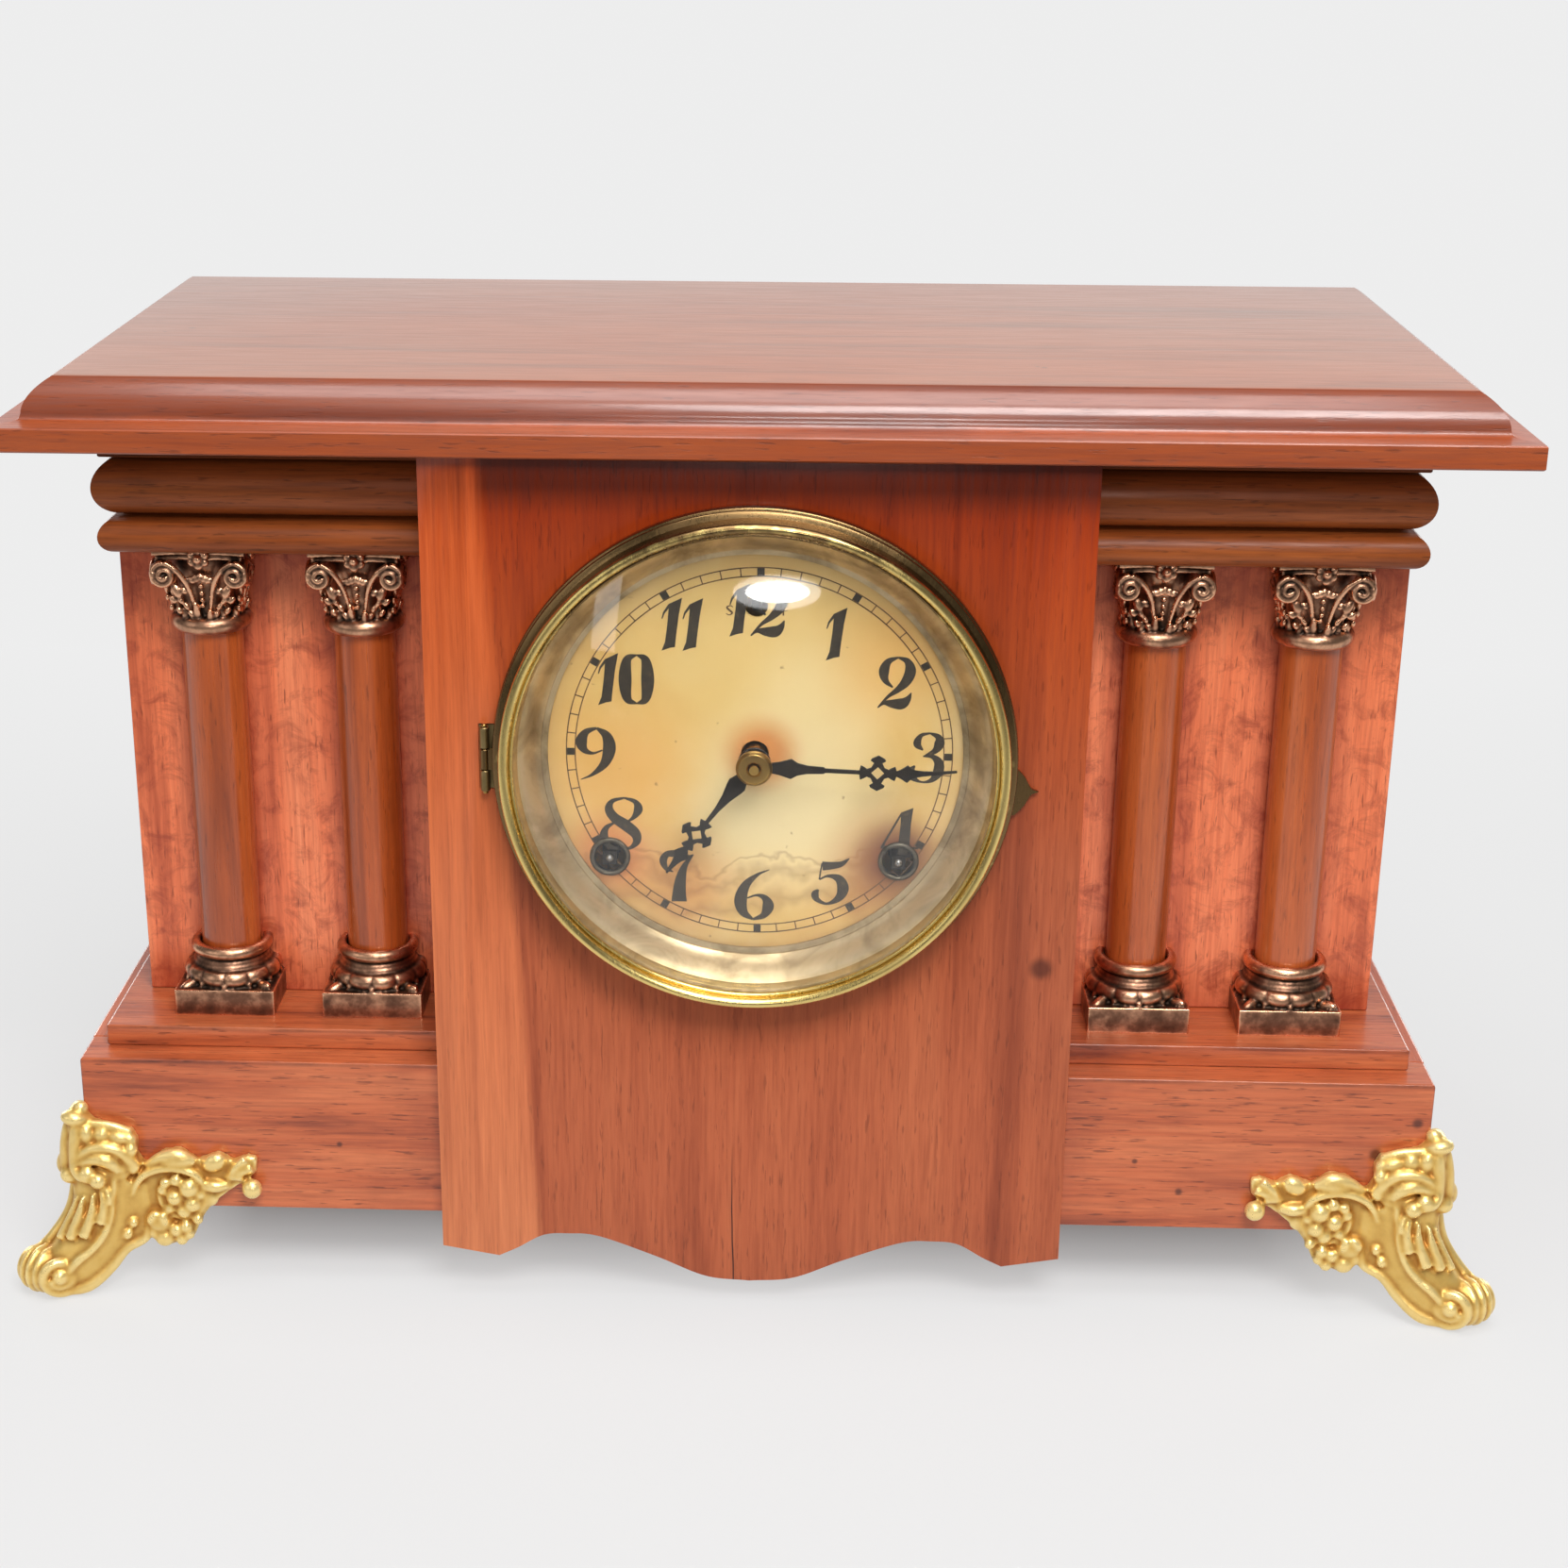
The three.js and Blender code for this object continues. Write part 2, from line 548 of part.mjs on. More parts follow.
function columnBase(x) {
  const r = SHAFT_RADIUS;
  const h = COLUMN_BASE_HEIGHT;
  const p = PLINTH_HEIGHT;
  const profile = [
    [0, p - 1], [r + 4, p - 1], [r + 5.7, p + 1.8], [r + 5.2, p + 4.2], [r + 2.6, p + 5.5],
    [r + 2.6, p + 7], [r + 1.6, h - 4.4], [r + 3, h - 2.4], [r + 2.2, h - 0.2],
    [r + 0.4, h], [r + 0.4, h - SOCKET_DEPTH], [0, h - SOCKET_DEPTH]];
  const rings = turnedZ(x, columnY, zFloor, profile, columnSides);
  const halfPlinth = PLINTH_WIDTH / 2;
  const plinth = box(x - halfPlinth, x + halfPlinth, columnY - halfPlinth, yRecess, zFloor, zFloor + p);
  return cut(join(rings, plinth), behindRecess);
}

function columnCapital(x) {
  const r = SHAFT_RADIUS;
  const h = CAPITAL_HEIGHT;
  const foot = zFrieze - h;
  const profile = [
    [0, 0], [r + 0.6, 0], [r + 1.7, 2], [r + 0.4, 4.4], [r - 0.4, 5],
    [r + 0.4, h * 0.5], [r + 3.2, h - 3.6], [0, h - 3.6]];
  const bell = turnedZ(x, columnY, foot, profile, columnSides);
  const halfAbacus = PLINTH_WIDTH / 2 - 1.4;
  const abacus = box(x - halfAbacus, x + halfAbacus, columnY - halfAbacus, yRecess, zFrieze - 4.2, zFrieze);
  const scrollFront = columnY - SHAFT_RADIUS - 4.6;
  const volutes = bothSides.map(([, sign]) => barY(
    x + sign * VOLUTE_X, zFrieze - 8, VOLUTE_RADIUS, scrollFront, yRecess - 1, 10));
  const rosette = solid(new THREE.SphereGeometry(3, 6, 4).translate(x, columnY - halfAbacus + 0.6, zFrieze - 3.2));
  const trim = box(x - 20, x + 20, columnY - 40, yRecess, zFrieze, zFrieze + 10);
  return cut(join(bell, abacus, ...volutes, rosette), behindRecess, trim);
}

const bay = (CASE_WIDTH - PANEL_WIDTH) / 2;
const innerX = PANEL_WIDTH / 2 + bay * COLUMN_INNER_SHARE;
const outerX = PANEL_WIDTH / 2 + bay * COLUMN_OUTER_SHARE;
const columnPlaces = [-outerX, -innerX, innerX, outerX];
columnPlaces.forEach((x, i) => {
  const shaftFoot = zFloor + COLUMN_BASE_HEIGHT - SOCKET_DEPTH;
  const shaft = barZ(x, columnY, SHAFT_RADIUS, shaftFoot, zFrieze - CAPITAL_HEIGHT, 16);
  piece(`column_${i + 1}_base`, columnBase(x), COPPER_BRONZE);
  piece(`column_${i + 1}_shaft`, cut(shaft, behindRecess), WOOD_SHAFT);
  piece(`column_${i + 1}_capital`, columnCapital(x), COPPER_BRONZE);
});

// Bezel door: rolled brass ring, convex glass held from behind by a sight ring
const DIAL_SIDES = 32;
const lipY = -(BEZEL_DEPTH - 3.1);
const lipInner = BEZEL_RADIUS - 8;
const glassSphere = (GLASS_RADIUS ** 2 + GLASS_RISE ** 2) / (2 * GLASS_RISE);
const glassRise = (r) => Math.sqrt(glassSphere ** 2 - r ** 2) - (glassSphere - GLASS_RISE);
const glassFront = lipY + 0.2 + GAP + glassRise(lipInner);
const glassBack = glassFront + GLASS_THICKNESS;
const ringInner = GLASS_RADIUS + 0.4;

function bezelRing() {
  const R = BEZEL_RADIUS;
  const front = -BEZEL_DEPTH;
  const profile = [
    [ringInner, -GAP], [R, -GAP], [R, -FLANGE_DEPTH], [R - 1.8, -FLANGE_DEPTH - 1],
    [R - 2.2, front + 1.2], [R - 4, front], [R - 5.8, front + 1.2],
    [lipInner, lipY], [lipInner, lipY + 0.2], [ringInner, lipY + 0.2]];
  const ring = turnedDial(profile, DIAL_SIDES);
  const third = HINGE_LENGTH / 6 - GAP / 2;
  const knuckle = barZ(hingeX, hingeY, HINGE_KNUCKLE, dialZ - third, dialZ + third);
  const strap = box(hingeX, -R + 0.6, hingeY - 1, hingeY + 1, dialZ - third, dialZ + third);
  const pinHole = barZ(hingeX, hingeY, HINGE_PIN + RUN, dialZ - third - 1, dialZ + third + 1);
  const tab = new THREE.Shape();
  const tabZ = dialZ - LATCH_DROP;
  tab.moveTo(R - 3, tabZ + 8);
  tab.quadraticCurveTo(R + 2.4, tabZ + 5, R + 3.4, tabZ + 2.4);
  tab.quadraticCurveTo(R + 4, tabZ + 0.8, R + 6.5, tabZ);
  tab.quadraticCurveTo(R + 4, tabZ - 0.8, R + 3.4, tabZ - 2.4);
  tab.quadraticCurveTo(R + 2.4, tabZ - 5, R - 3, tabZ - 8);
  const latch = alongY(tab, -1.6, -GAP, 4);
  return cut(join(ring, knuckle, strap, latch), pinHole);
}
piece('bezel_ring', bezelRing(), BRASS);

function glassDome() {
  const steps = 4;
  const radii = Array.from({ length: steps + 1 }, (_, i) => (GLASS_RADIUS * i) / steps);
  const outer = radii.map((r) => [r, glassFront - glassRise(r)]);
  const inner = radii.map((r) => [r, glassBack - glassRise(r)]).reverse();
  return turnedDial([...outer, ...inner], 24);
}
piece('bezel_glass', glassDome(), GLASS);

function sightRing() {
  const top = glassBack + GAP;
  const inner = DIAL_DEPTH - 0.8;
  const profile = [
    [GLASS_RADIUS + 0.1, top], [GLASS_RADIUS + 0.1, top + 1], [SIGHT_RADIUS + 0.8, inner],
    [SIGHT_RADIUS, inner - 0.5], [GLASS_RADIUS - 1, top]];
  return turnedDial(profile, DIAL_SIDES);
}
piece('sight_ring', sightRing(), OLD_BRASS);

function hingeLeaf() {
  const half = HINGE_LENGTH / 2;
  const third = HINGE_LENGTH / 6 + GAP / 2;
  const plate = box(-leafOuter, -leafInner, 0.1, 0.1 + leafSheet, dialZ - half, dialZ + half);
  const knuckles = bothSides.map(([, sign]) => {
    const zs = [dialZ + sign * third, dialZ + sign * half].sort((p, q) => p - q);
    const barrel = barZ(hingeX, hingeY, HINGE_KNUCKLE, ...zs, 8);
    return join(barrel, box(hingeX - 0.9, hingeX + 0.9, hingeY, 0.1 + leafSheet, ...zs));
  });
  const pinHole = barZ(hingeX, hingeY, HINGE_PIN + RUN, dialZ - half - 1, dialZ + half + 1);
  return cut(join(plate, ...knuckles), pinHole);
}
piece('hinge_leaf', hingeLeaf(), OLD_BRASS);

const pinHalf = HINGE_LENGTH / 2 + 1;
piece('hinge_pin', barZ(hingeX, hingeY, HINGE_PIN, dialZ - pinHalf, dialZ + pinHalf, 8), STEEL);

// Dial plate with the two winding-hole grommets
const windingPlaces = [[WINDING_X, -WINDING_DROP], [-WINDING_X, -WINDING_DROP]];
const PIPE_RADIUS = 3.2;
const PIPE_BORE = 2.1;

function dialPlate() {
  const back = DIAL_DEPTH + DIAL_SHEET;
  const sheet = barY(0, dialZ, DIAL_RADIUS, DIAL_DEPTH, back, DIAL_SIDES);
  const grommets = windingPlaces.map(([x, z]) => barY(x, dialZ + z, GROMMET_RADIUS, DIAL_DEPTH - 1, back, 12));
  const holes = windingPlaces.map(([x, z]) => barY(x, dialZ + z, WINDING_HOLE, -5, back + 1, 12));
  const pipeHole = barY(0, dialZ, PIPE_RADIUS + 1, -5, back + 1, 12);
  const regulatorHole = barY(0, dialZ + REGULATOR_RISE, REGULATOR_HOLE, -5, back + 1, 12);
  return cut(join(sheet, ...grommets), ...holes, pipeHole, regulatorHole);
}
piece('dial_plate', dialPlate(), CREAM);

// Hands: a boss, a diamond, a slim stem, a pierced cross and a spade point.
// Drawn pointing up from the dial centre, then turned clockwise to the time.
function handSolid(length, crossAt, angle, bore, y) {
  const c = length * 0.065;
  const boss = COLLET_RADIUS - 0.4;
  const right = [
    [boss * 0.7, boss * 0.7], [1.2, boss], [2.9, boss + 4.5], [1.3, boss + 8], [0.9, crossAt - 2.4 * c],
    [1.4, crossAt - 2 * c], [c, crossAt - 1.6 * c], [1.1 * c, crossAt - 0.8 * c], [1.9 * c, crossAt - 0.9 * c],
    [2.2 * c, crossAt], [1.9 * c, crossAt + 0.9 * c], [1.1 * c, crossAt + 0.8 * c], [c, crossAt + 1.6 * c],
    [1.2, crossAt + 2.1 * c], [1.9, crossAt + 3.6 * c], [0.8, crossAt + 4.6 * c], [0.25, length]];
  const left = right.map(([u, v]) => [-u, v]).reverse();
  const stem = alongY(polygon([...right, ...left]), y, y + HAND_THICKNESS);
  const hub = barY(0, 0, boss, y, y + HAND_THICKNESS, 16);
  const pierced = alongY(polygon([
    [0, crossAt - 0.9 * c], [0.9 * c, crossAt], [0, crossAt + 0.9 * c], [-0.9 * c, crossAt]]), y - 1, y + 2);
  const hand = cut(join(stem, hub), pierced, boreY(0, 0, bore, y - 1, y + 2, 12));
  return hand.rotate([0, angle, 0]).translate([0, 0, dialZ]);
}
const minuteHandFront = -MINUTE_HAND_PROUD - HAND_THICKNESS;
const hourHandFront = -HOUR_HAND_PROUD - HAND_THICKNESS;
const minuteHand = handSolid(MINUTE_HAND_LENGTH, MINUTE_HAND_LENGTH * 0.6, MINUTE_HAND_ANGLE, ARBOR + GAP, minuteHandFront);
piece('minute_hand', minuteHand, BLACK_STEEL);
const hourHand = handSolid(HOUR_HAND_LENGTH, HOUR_HAND_LENGTH * 0.64, HOUR_HAND_ANGLE, PIPE_RADIUS + GAP, hourHandFront);
piece('hour_hand', hourHand, BLACK_STEEL);

// Hand collet: a brass washer drawn against the minute hand
const colletFront = minuteHandFront - 2;
const collet = cut(
  barY(0, dialZ, COLLET_RADIUS, colletFront, minuteHandFront, 20),
  boreY(0, dialZ, ARBOR + GAP, colletFront - 1, minuteHandFront + 1));
piece('hand_collet', collet, BRASS);

// Where each arbor of the movement stands, from the dial centre, as [x, z]
const polar = (from, distance, angle) => [
  from[0] + distance * Math.cos(angle * degrees), from[1] + distance * Math.sin(angle * degrees)];
const meshDistance = (module, teeth, leaves) => (module * (teeth + leaves)) / 2;
const centre = [0, 0];
const timeGreat = windingPlaces[0];
const strikeGreat = windingPlaces[1];
const second = polar(centre, meshDistance(SECOND_MODULE, SECOND_TEETH, CENTRE_PINION), -25);
const greatReach = Math.hypot(timeGreat[0] - second[0], timeGreat[1] - second[1]);
const GREAT_MODULE = (2 * greatReach) / (GREAT_TEETH + SECOND_PINION);
const third = polar(centre, meshDistance(CENTRE_MODULE, CENTRE_TEETH, THIRD_PINION), 118);
const escape = polar(third, meshDistance(THIRD_MODULE, THIRD_TEETH, ESCAPE_PINION), 60);
const vergeAxis = [escape[0], escape[1] + PALLET_RISE];
const pinWheel = polar(strikeGreat, meshDistance(GREAT_MODULE, GREAT_TEETH, PIN_WHEEL_PINION), 75);
const fly = polar(pinWheel, meshDistance(PIN_WHEEL_MODULE, PIN_WHEEL_TEETH, FLY_PINION), 100);
const motionDistance = meshDistance(MOTION_MODULE, CANNON_TEETH, MINUTE_WHEEL_TEETH);
const minuteStud = [0, -motionDistance];
const HOUR_MODULE = (2 * motionDistance) / (MINUTE_PINION + HOUR_TEETH);
const hammerStud = [-36, -20];
const pillarPlaces = [[-48, 50], [48, 50], [-14, -49], [14, -49]];
const trainArbors = [centre, timeGreat, strikeGreat, second, third, escape, vergeAxis, pinWheel, fly];
const regulator = [0, REGULATOR_RISE];
const at = ([x, z]) => [x, dialZ + z];

// Plates: chamfered brass sheets with a pivot hole for each arbor
const PILLAR = 2.5;
const WINDER = 3;
function plateSheet(y) {
  const [w, t, b, c] = [PLATE_HALF_WIDTH, PLATE_TOP, PLATE_BOTTOM, PLATE_CHAMFER];
  const outline = polygon([
    [-w, -b + c], [-w + c, -b], [w - c, -b], [w, -b + c], [w, t - c], [w - c, t], [-w + c, t], [-w, t - c]]);
  const sheet = alongY(outline, y, y + PLATE_THICKNESS).translate([0, 0, dialZ]);
  const windows = [[-26, -6, -46, -38], [6, 26, -46, -38], [22, 42, 20, 44], [-26, -14, 40, 52]];
  const openings = windows.map(([x0, x1, z0, z1]) => box(
    x0, x1, y - 1, y + PLATE_THICKNESS + 1, dialZ + z0, dialZ + z1));
  const holes = trainArbors.map((place) => {
    const winder = place === timeGreat || place === strikeGreat;
    const wide = winder ? WINDER : place === centre ? ARBOR : PIVOT;
    return boreY(...at(place), wide + RUN, y - 1, y + PLATE_THICKNESS + 1, 6);
  });
  return cut(sheet, ...openings, ...holes);
}

// Four feet reach from the front plate to the back of the centre panel
const footPlaces = [[-48, 50], [48, 50], [-49, -44], [49, -44]];
function frontPlate() {
  const feet = footPlaces.map((place) => barY(...at(place), 4, PANEL_THICKNESS, yPlateFront, 6));
  const stud = barY(...at(minuteStud), PIVOT, yPlateFront - 12, yPlateFront, 8);
  const regulatorBush = boreY(...at(regulator), ARBOR + RUN, yPlateFront - 1, yInside + 1);
  return cut(join(plateSheet(yPlateFront), ...feet, stud), regulatorBush);
}
piece('front_plate', frontPlate(), BRASS);

const pendulumY = yRear + 8;
function backPlate() {
  const pillars = pillarPlaces.map((place) => barY(...at(place), PILLAR, yInside, yPlateBack, 6));
  const hammerPost = barY(...at(hammerStud), ARBOR, yRear, yRear + 11, 8);
  const suspension = [vergeAxis[0], vergeAxis[1] + 4];
  const suspensionPost = barY(...at(suspension), 1.6, yRear, pendulumY + 2, 8);
  return join(plateSheet(yPlateBack), ...pillars, hammerPost, suspensionPost);
}
piece('back_plate', backPlate(), BRASS);

// Toothed wheels: pointed teeth on a root circle. A wheel's teeth fill the pitch at
// the root and a pinion's slim leaves stand apart, which leaves them room to mesh.
// Windows between the arms lighten the larger wheels.
const TOOTH_TIP = 0.85;
const TOOTH_ROOT = 1.25;
const LEAF_FOOT = 0.28;
const MOST_LEAVES = 12;

function toothedShape(teeth, module, bore, arms) {
  const pitch = (module * teeth) / 2;
  const root = pitch - TOOTH_ROOT * module;
  const tip = pitch + TOOTH_TIP * module;
  const step = (2 * Math.PI) / teeth;
  const around = (radius, angle) => [radius * Math.cos(angle), radius * Math.sin(angle)];
  const points = [];
  for (let i = 0; i < teeth; i += 1) {
    if (teeth > MOST_LEAVES) {
      points.push(around(root, (i - 0.5) * step), around(tip, i * step));
    } else {
      points.push(around(root, (i - LEAF_FOOT) * step), around(tip, i * step), around(root, (i + LEAF_FOOT) * step));
    }
  }
  const shape = polygon(points);
  const rim = root - 2.2;
  const hub = Math.max(bore, 2) + 2.4;
  for (let i = 0; i < arms; i += 1) {
    const [from, mid, to] = [0.14, 0.5, 0.86].map((share) => ((i + share) * 2 * Math.PI) / arms);
    shape.holes.push(polygon([around(rim, from), around(rim, mid), around(rim, to), around(hub, to), around(hub, from)]));
  }
  return shape;
}

// A wheel or pinion at an arbor, turned about its own axis by an angle
function wheelAt(place, teeth, module, y, thickness, { bore = 0, arms = 0, turn = 0 } = {}) {
  const shape = toothedShape(teeth, module, bore, arms);
  const blank = alongY(shape, y, y + thickness, 2).rotate([0, -turn, 0]);
  const wheel = blank.translate([place[0], 0, dialZ + place[1]]);
  return bore > 0 ? cut(wheel, boreY(...at(place), bore, y - 1, y + thickness + 1)) : wheel;
}

// The turn that brings a follower's tooth space opposite a driver's tooth
function bearing(from, to) {
  return Math.atan2(to[1] - from[1], to[0] - from[0]) / degrees;
}

function meshTurn(driver, driverTeeth, driverTurn, follower, followerTeeth) {
  const toward = bearing(driver, follower);
  const driverPhase = ((toward - driverTurn) * driverTeeth) / 360;
  const followerPhase = 0.5 - driverPhase;
  const back = bearing(follower, driver);
  return back - (followerPhase * 360) / followerTeeth;
}

const WHEEL_SHEET = 1.6;
const PINION_LENGTH = 3;
const LEVEL = {
  great: yInside + 2.5,
  third: yInside + 13,
  centre: yInside + 22,
  pin: yInside + 25.8,
  second: yInside + 29,
  escape: yInside + 34,
};
const pinionLevel = (level) => level - (PINION_LENGTH - WHEEL_SHEET) / 2;

function arborBar(place, radius, y0 = yInside + GAP, y1 = yPlateBack - GAP) {
  return barY(...at(place), radius, y0, y1, 8);
}

function pivots(place) {
  return barY(...at(place), PIVOT, yPlateFront, yRear, 8);
}

// Centre arbor: cannon pinion in front, centre wheel and pinion between plates
const centreTurn = 0;
const motionFront = yPlateFront - 10.5;
const cannonLevel = motionFront + 5.6;
function centerWheel() {
  const arbor = barY(...at(centre), ARBOR, colletFront - 1, yRear, 10);
  const cannon = wheelAt(centre, CANNON_TEETH, MOTION_MODULE, cannonLevel, PINION_LENGTH);
  const wheel = wheelAt(centre, CENTRE_TEETH, CENTRE_MODULE, LEVEL.centre, WHEEL_SHEET, { arms: 4, turn: centreTurn });
  const pinion = wheelAt(centre, CENTRE_PINION, SECOND_MODULE, pinionLevel(LEVEL.second), PINION_LENGTH);
  return join(arbor, cannon, wheel, pinion);
}
piece('center_wheel', centerWheel(), BRASS);

const secondTurn = meshTurn(centre, CENTRE_PINION, 0, second, SECOND_TEETH);
function secondWheel() {
  const wheel = wheelAt(second, SECOND_TEETH, SECOND_MODULE, LEVEL.second, WHEEL_SHEET, { arms: 4, turn: secondTurn });
  const pinion = wheelAt(second, SECOND_PINION, GREAT_MODULE, pinionLevel(LEVEL.great), PINION_LENGTH, { turn: secondTurn });
  return join(arborBar(second, ARBOR), pivots(second), wheel, pinion);
}
piece('second_wheel', secondWheel(), BRASS);

const thirdTurn = meshTurn(centre, CENTRE_TEETH, centreTurn, third, THIRD_PINION);
function thirdWheel() {
  const wheel = wheelAt(third, THIRD_TEETH, THIRD_MODULE, LEVEL.third, WHEEL_SHEET, { arms: 4, turn: thirdTurn });
  const pinion = wheelAt(third, THIRD_PINION, CENTRE_MODULE, pinionLevel(LEVEL.centre), PINION_LENGTH, { turn: thirdTurn });
  return join(pivots(third), wheel, pinion);
}
piece('third_wheel', thirdWheel(), BRASS);

// Escape wheel: raked teeth that lean the way it turns
const escapeTurn = meshTurn(third, THIRD_TEETH, thirdTurn, escape, ESCAPE_PINION);
function escapeWheel() {
  const step = (2 * Math.PI) / ESCAPE_TEETH;
  const points = [];
  for (let i = 0; i < ESCAPE_TEETH; i += 1) {
    const root = ESCAPE_RADIUS - 1.8;
    points.push([root * Math.cos(i * step), root * Math.sin(i * step)]);
    points.push([ESCAPE_RADIUS * Math.cos((i + 0.1) * step), ESCAPE_RADIUS * Math.sin((i + 0.1) * step)]);
  }
  const ring = alongY(polygon(points), LEVEL.escape, LEVEL.escape + WHEEL_SHEET).translate([escape[0], 0, dialZ + escape[1]]);
  const pinion = wheelAt(escape, ESCAPE_PINION, THIRD_MODULE, pinionLevel(LEVEL.third), PINION_LENGTH, { turn: escapeTurn });
  return join(pivots(escape), ring, pinion);
}
piece('escape_wheel', escapeWheel(), BRASS);

// Verge: a bent strip over the escape wheel, with a crutch behind the back plate
const PALLET_CLEARANCE = 1.5;
const CRUTCH_LENGTH = 39;
function verge() {
  const inner = ESCAPE_RADIUS + PALLET_CLEARANCE;
  const strip = new THREE.Shape();
  strip.absarc(0, 0, inner + 1.6, 42 * degrees, 138 * degrees, false);
  strip.absarc(0, 0, inner, 138 * degrees, 42 * degrees, true);
  const pallets = alongY(strip, LEVEL.escape - 0.7, LEVEL.escape + 2.3, 8).translate([escape[0], 0, dialZ + escape[1]]);
  const neck = box(
    vergeAxis[0] - 1, vergeAxis[0] + 1, LEVEL.escape - 0.7, LEVEL.escape + 2.3,
    dialZ + escape[1] + inner + 0.6, dialZ + vergeAxis[1]);
  const arbor = barY(...at(vergeAxis), PIVOT, yPlateFront, pendulumY - 1.6, 8);
  const [x, z] = at(vergeAxis);
  const [forkLow, forkHigh] = [z - CRUTCH_LENGTH, z - CRUTCH_LENGTH + 1.4];
  const wire = box(x - 0.6, x + 0.6, pendulumY - 3, pendulumY - 1.8, forkHigh - 0.4, z);
  const fork = bothSides.map(([, sign]) => {
    const xs = [x + sign * 1.2, x + sign * 2.2].sort((p, q) => p - q);
    return box(...xs, pendulumY - 3, pendulumY + 2, forkLow, forkHigh);
  });
  const bridge = box(x - 2.2, x + 2.2, pendulumY - 3, pendulumY - 1.8, forkLow, forkHigh);
  return join(pallets, neck, arbor, wire, bridge, ...fork);
}
piece('verge', verge(), STEEL);

// Pendulum: a wire hung just under the suspension post, and a lens-shaped bob
const bobZ = dialZ + vergeAxis[1] - PENDULUM_LENGTH;
const rodRadius = 0.8;
const bobHalf = 3.2;
const rodTop = dialZ + vergeAxis[1] + 4 - 1.6 - GAP;
const rod = barZ(vergeAxis[0], pendulumY, rodRadius, bobZ - BOB_RADIUS - 3, rodTop, 8);
piece('pendulum_rod', rod, STEEL);
const bobProfile = [[0, -bobHalf], [BOB_RADIUS * 0.7, -bobHalf * 0.7], [BOB_RADIUS, 0], [BOB_RADIUS * 0.7, bobHalf * 0.7], [0, bobHalf]];
const bobLens = solid(new THREE.LatheGeometry(bobProfile.map(([r, h]) => new THREE.Vector2(r, h)), 20));
const bobBore = barZ(vergeAxis[0], pendulumY, rodRadius + RUN, bobZ - BOB_RADIUS - 1, bobZ + BOB_RADIUS + 1, 8);
piece('pendulum_bob', cut(bobLens.translate([vergeAxis[0], pendulumY, bobZ]), bobBore), BRASS);

// Motion work in front of the front plate
const minuteTurn = meshTurn(centre, CANNON_TEETH, 0, minuteStud, MINUTE_WHEEL_TEETH);
function minuteWheel() {
  const wheel = wheelAt(minuteStud, MINUTE_WHEEL_TEETH, MOTION_MODULE, cannonLevel + 0.7, WHEEL_SHEET, { turn: minuteTurn });
  const pinion = wheelAt(minuteStud, MINUTE_PINION, HOUR_MODULE, motionFront, cannonLevel + 1 - motionFront, { turn: minuteTurn });
  const bore = boreY(...at(minuteStud), PIVOT + RUN, motionFront - 1, cannonLevel + 9);
  return cut(join(wheel, pinion), bore);
}
piece('minute_wheel', minuteWheel(), BRASS);

const hourTurn = meshTurn(minuteStud, MINUTE_PINION, minuteTurn, centre, HOUR_TEETH);
function hourWheel() {
  const wheel = wheelAt(centre, HOUR_TEETH, HOUR_MODULE, motionFront + 0.7, WHEEL_SHEET, { turn: hourTurn });
  const pipe = barY(...at(centre), PIPE_RADIUS, hourHandFront - 0.6, motionFront + 1, 12);
  const bore = boreY(...at(centre), PIPE_BORE, hourHandFront - 2, motionFront + 9, 12);
  return cut(join(wheel, pipe), bore);
}
piece('hour_wheel', hourWheel(), BRASS);

// Winding arbors, great wheels and mainsprings of both trains
const winderFront = DIAL_DEPTH - 1.5;
function winder(place) {
  const [x, z] = at(place);
  const square = WINDER * 0.7;
  const round = barY(x, z, WINDER, winderFront + 9, yRear, 10);
  const key = box(x - square, x + square, winderFront, winderFront + 9.5, z - square, z + square);
  return join(round, key);
}

const springFront = LEVEL.great + WHEEL_SHEET + 1.5;
const springWidth = 17;
const springStrip = 1;
const springTurns = 4;
const springSteps = 11;
const springInner = WINDER + GAP;
const springOuter = 20;

// A flat spiral strip, from the arbor out to its tail beside a plate pillar
function mainspring(place, pillar) {
  const tail = bearing(place, pillar);
  const reach = Math.hypot(pillar[0] - place[0], pillar[1] - place[1]) - PILLAR - GAP;
  const steps = springTurns * springSteps;
  const edge = (offset) => Array.from({ length: steps + 1 }, (_, i) => {
    const angle = (tail - (springTurns - i / springSteps) * 360) * degrees;
    const radius = springInner + ((springOuter - springInner - springStrip) * i) / steps + offset;
    return [radius * Math.cos(angle), radius * Math.sin(angle)];
  });
  const inside = edge(0);
  const outside = edge(springStrip);
  const hook = (across) => {
    const along = tail * degrees;
    return [reach * Math.cos(along) - across * Math.sin(along), reach * Math.sin(along) + across * Math.cos(along)];
  };
  const outline = polygon([...inside, hook(springStrip), hook(0), ...outside.reverse()]);
  return alongY(outline, springFront, springFront + springWidth).translate([place[0], 0, dialZ + place[1]]);
}

const timeTurn = meshTurn(second, SECOND_PINION, secondTurn, timeGreat, GREAT_TEETH);
const greatWheel = (place, turn) => wheelAt(
  place, GREAT_TEETH, GREAT_MODULE, LEVEL.great, WHEEL_SHEET, { bore: WINDER + GAP, arms: 4, turn });
piece('time_arbor', winder(timeGreat), STEEL);
piece('time_great_wheel', greatWheel(timeGreat, timeTurn), BRASS);
piece('time_mainspring', mainspring(timeGreat, pillarPlaces[3]), BLUE_STEEL);
piece('strike_arbor', winder(strikeGreat), STEEL);
piece('strike_great_wheel', greatWheel(strikeGreat, 0), BRASS);
piece('strike_mainspring', mainspring(strikeGreat, pillarPlaces[2]), BLUE_STEEL);

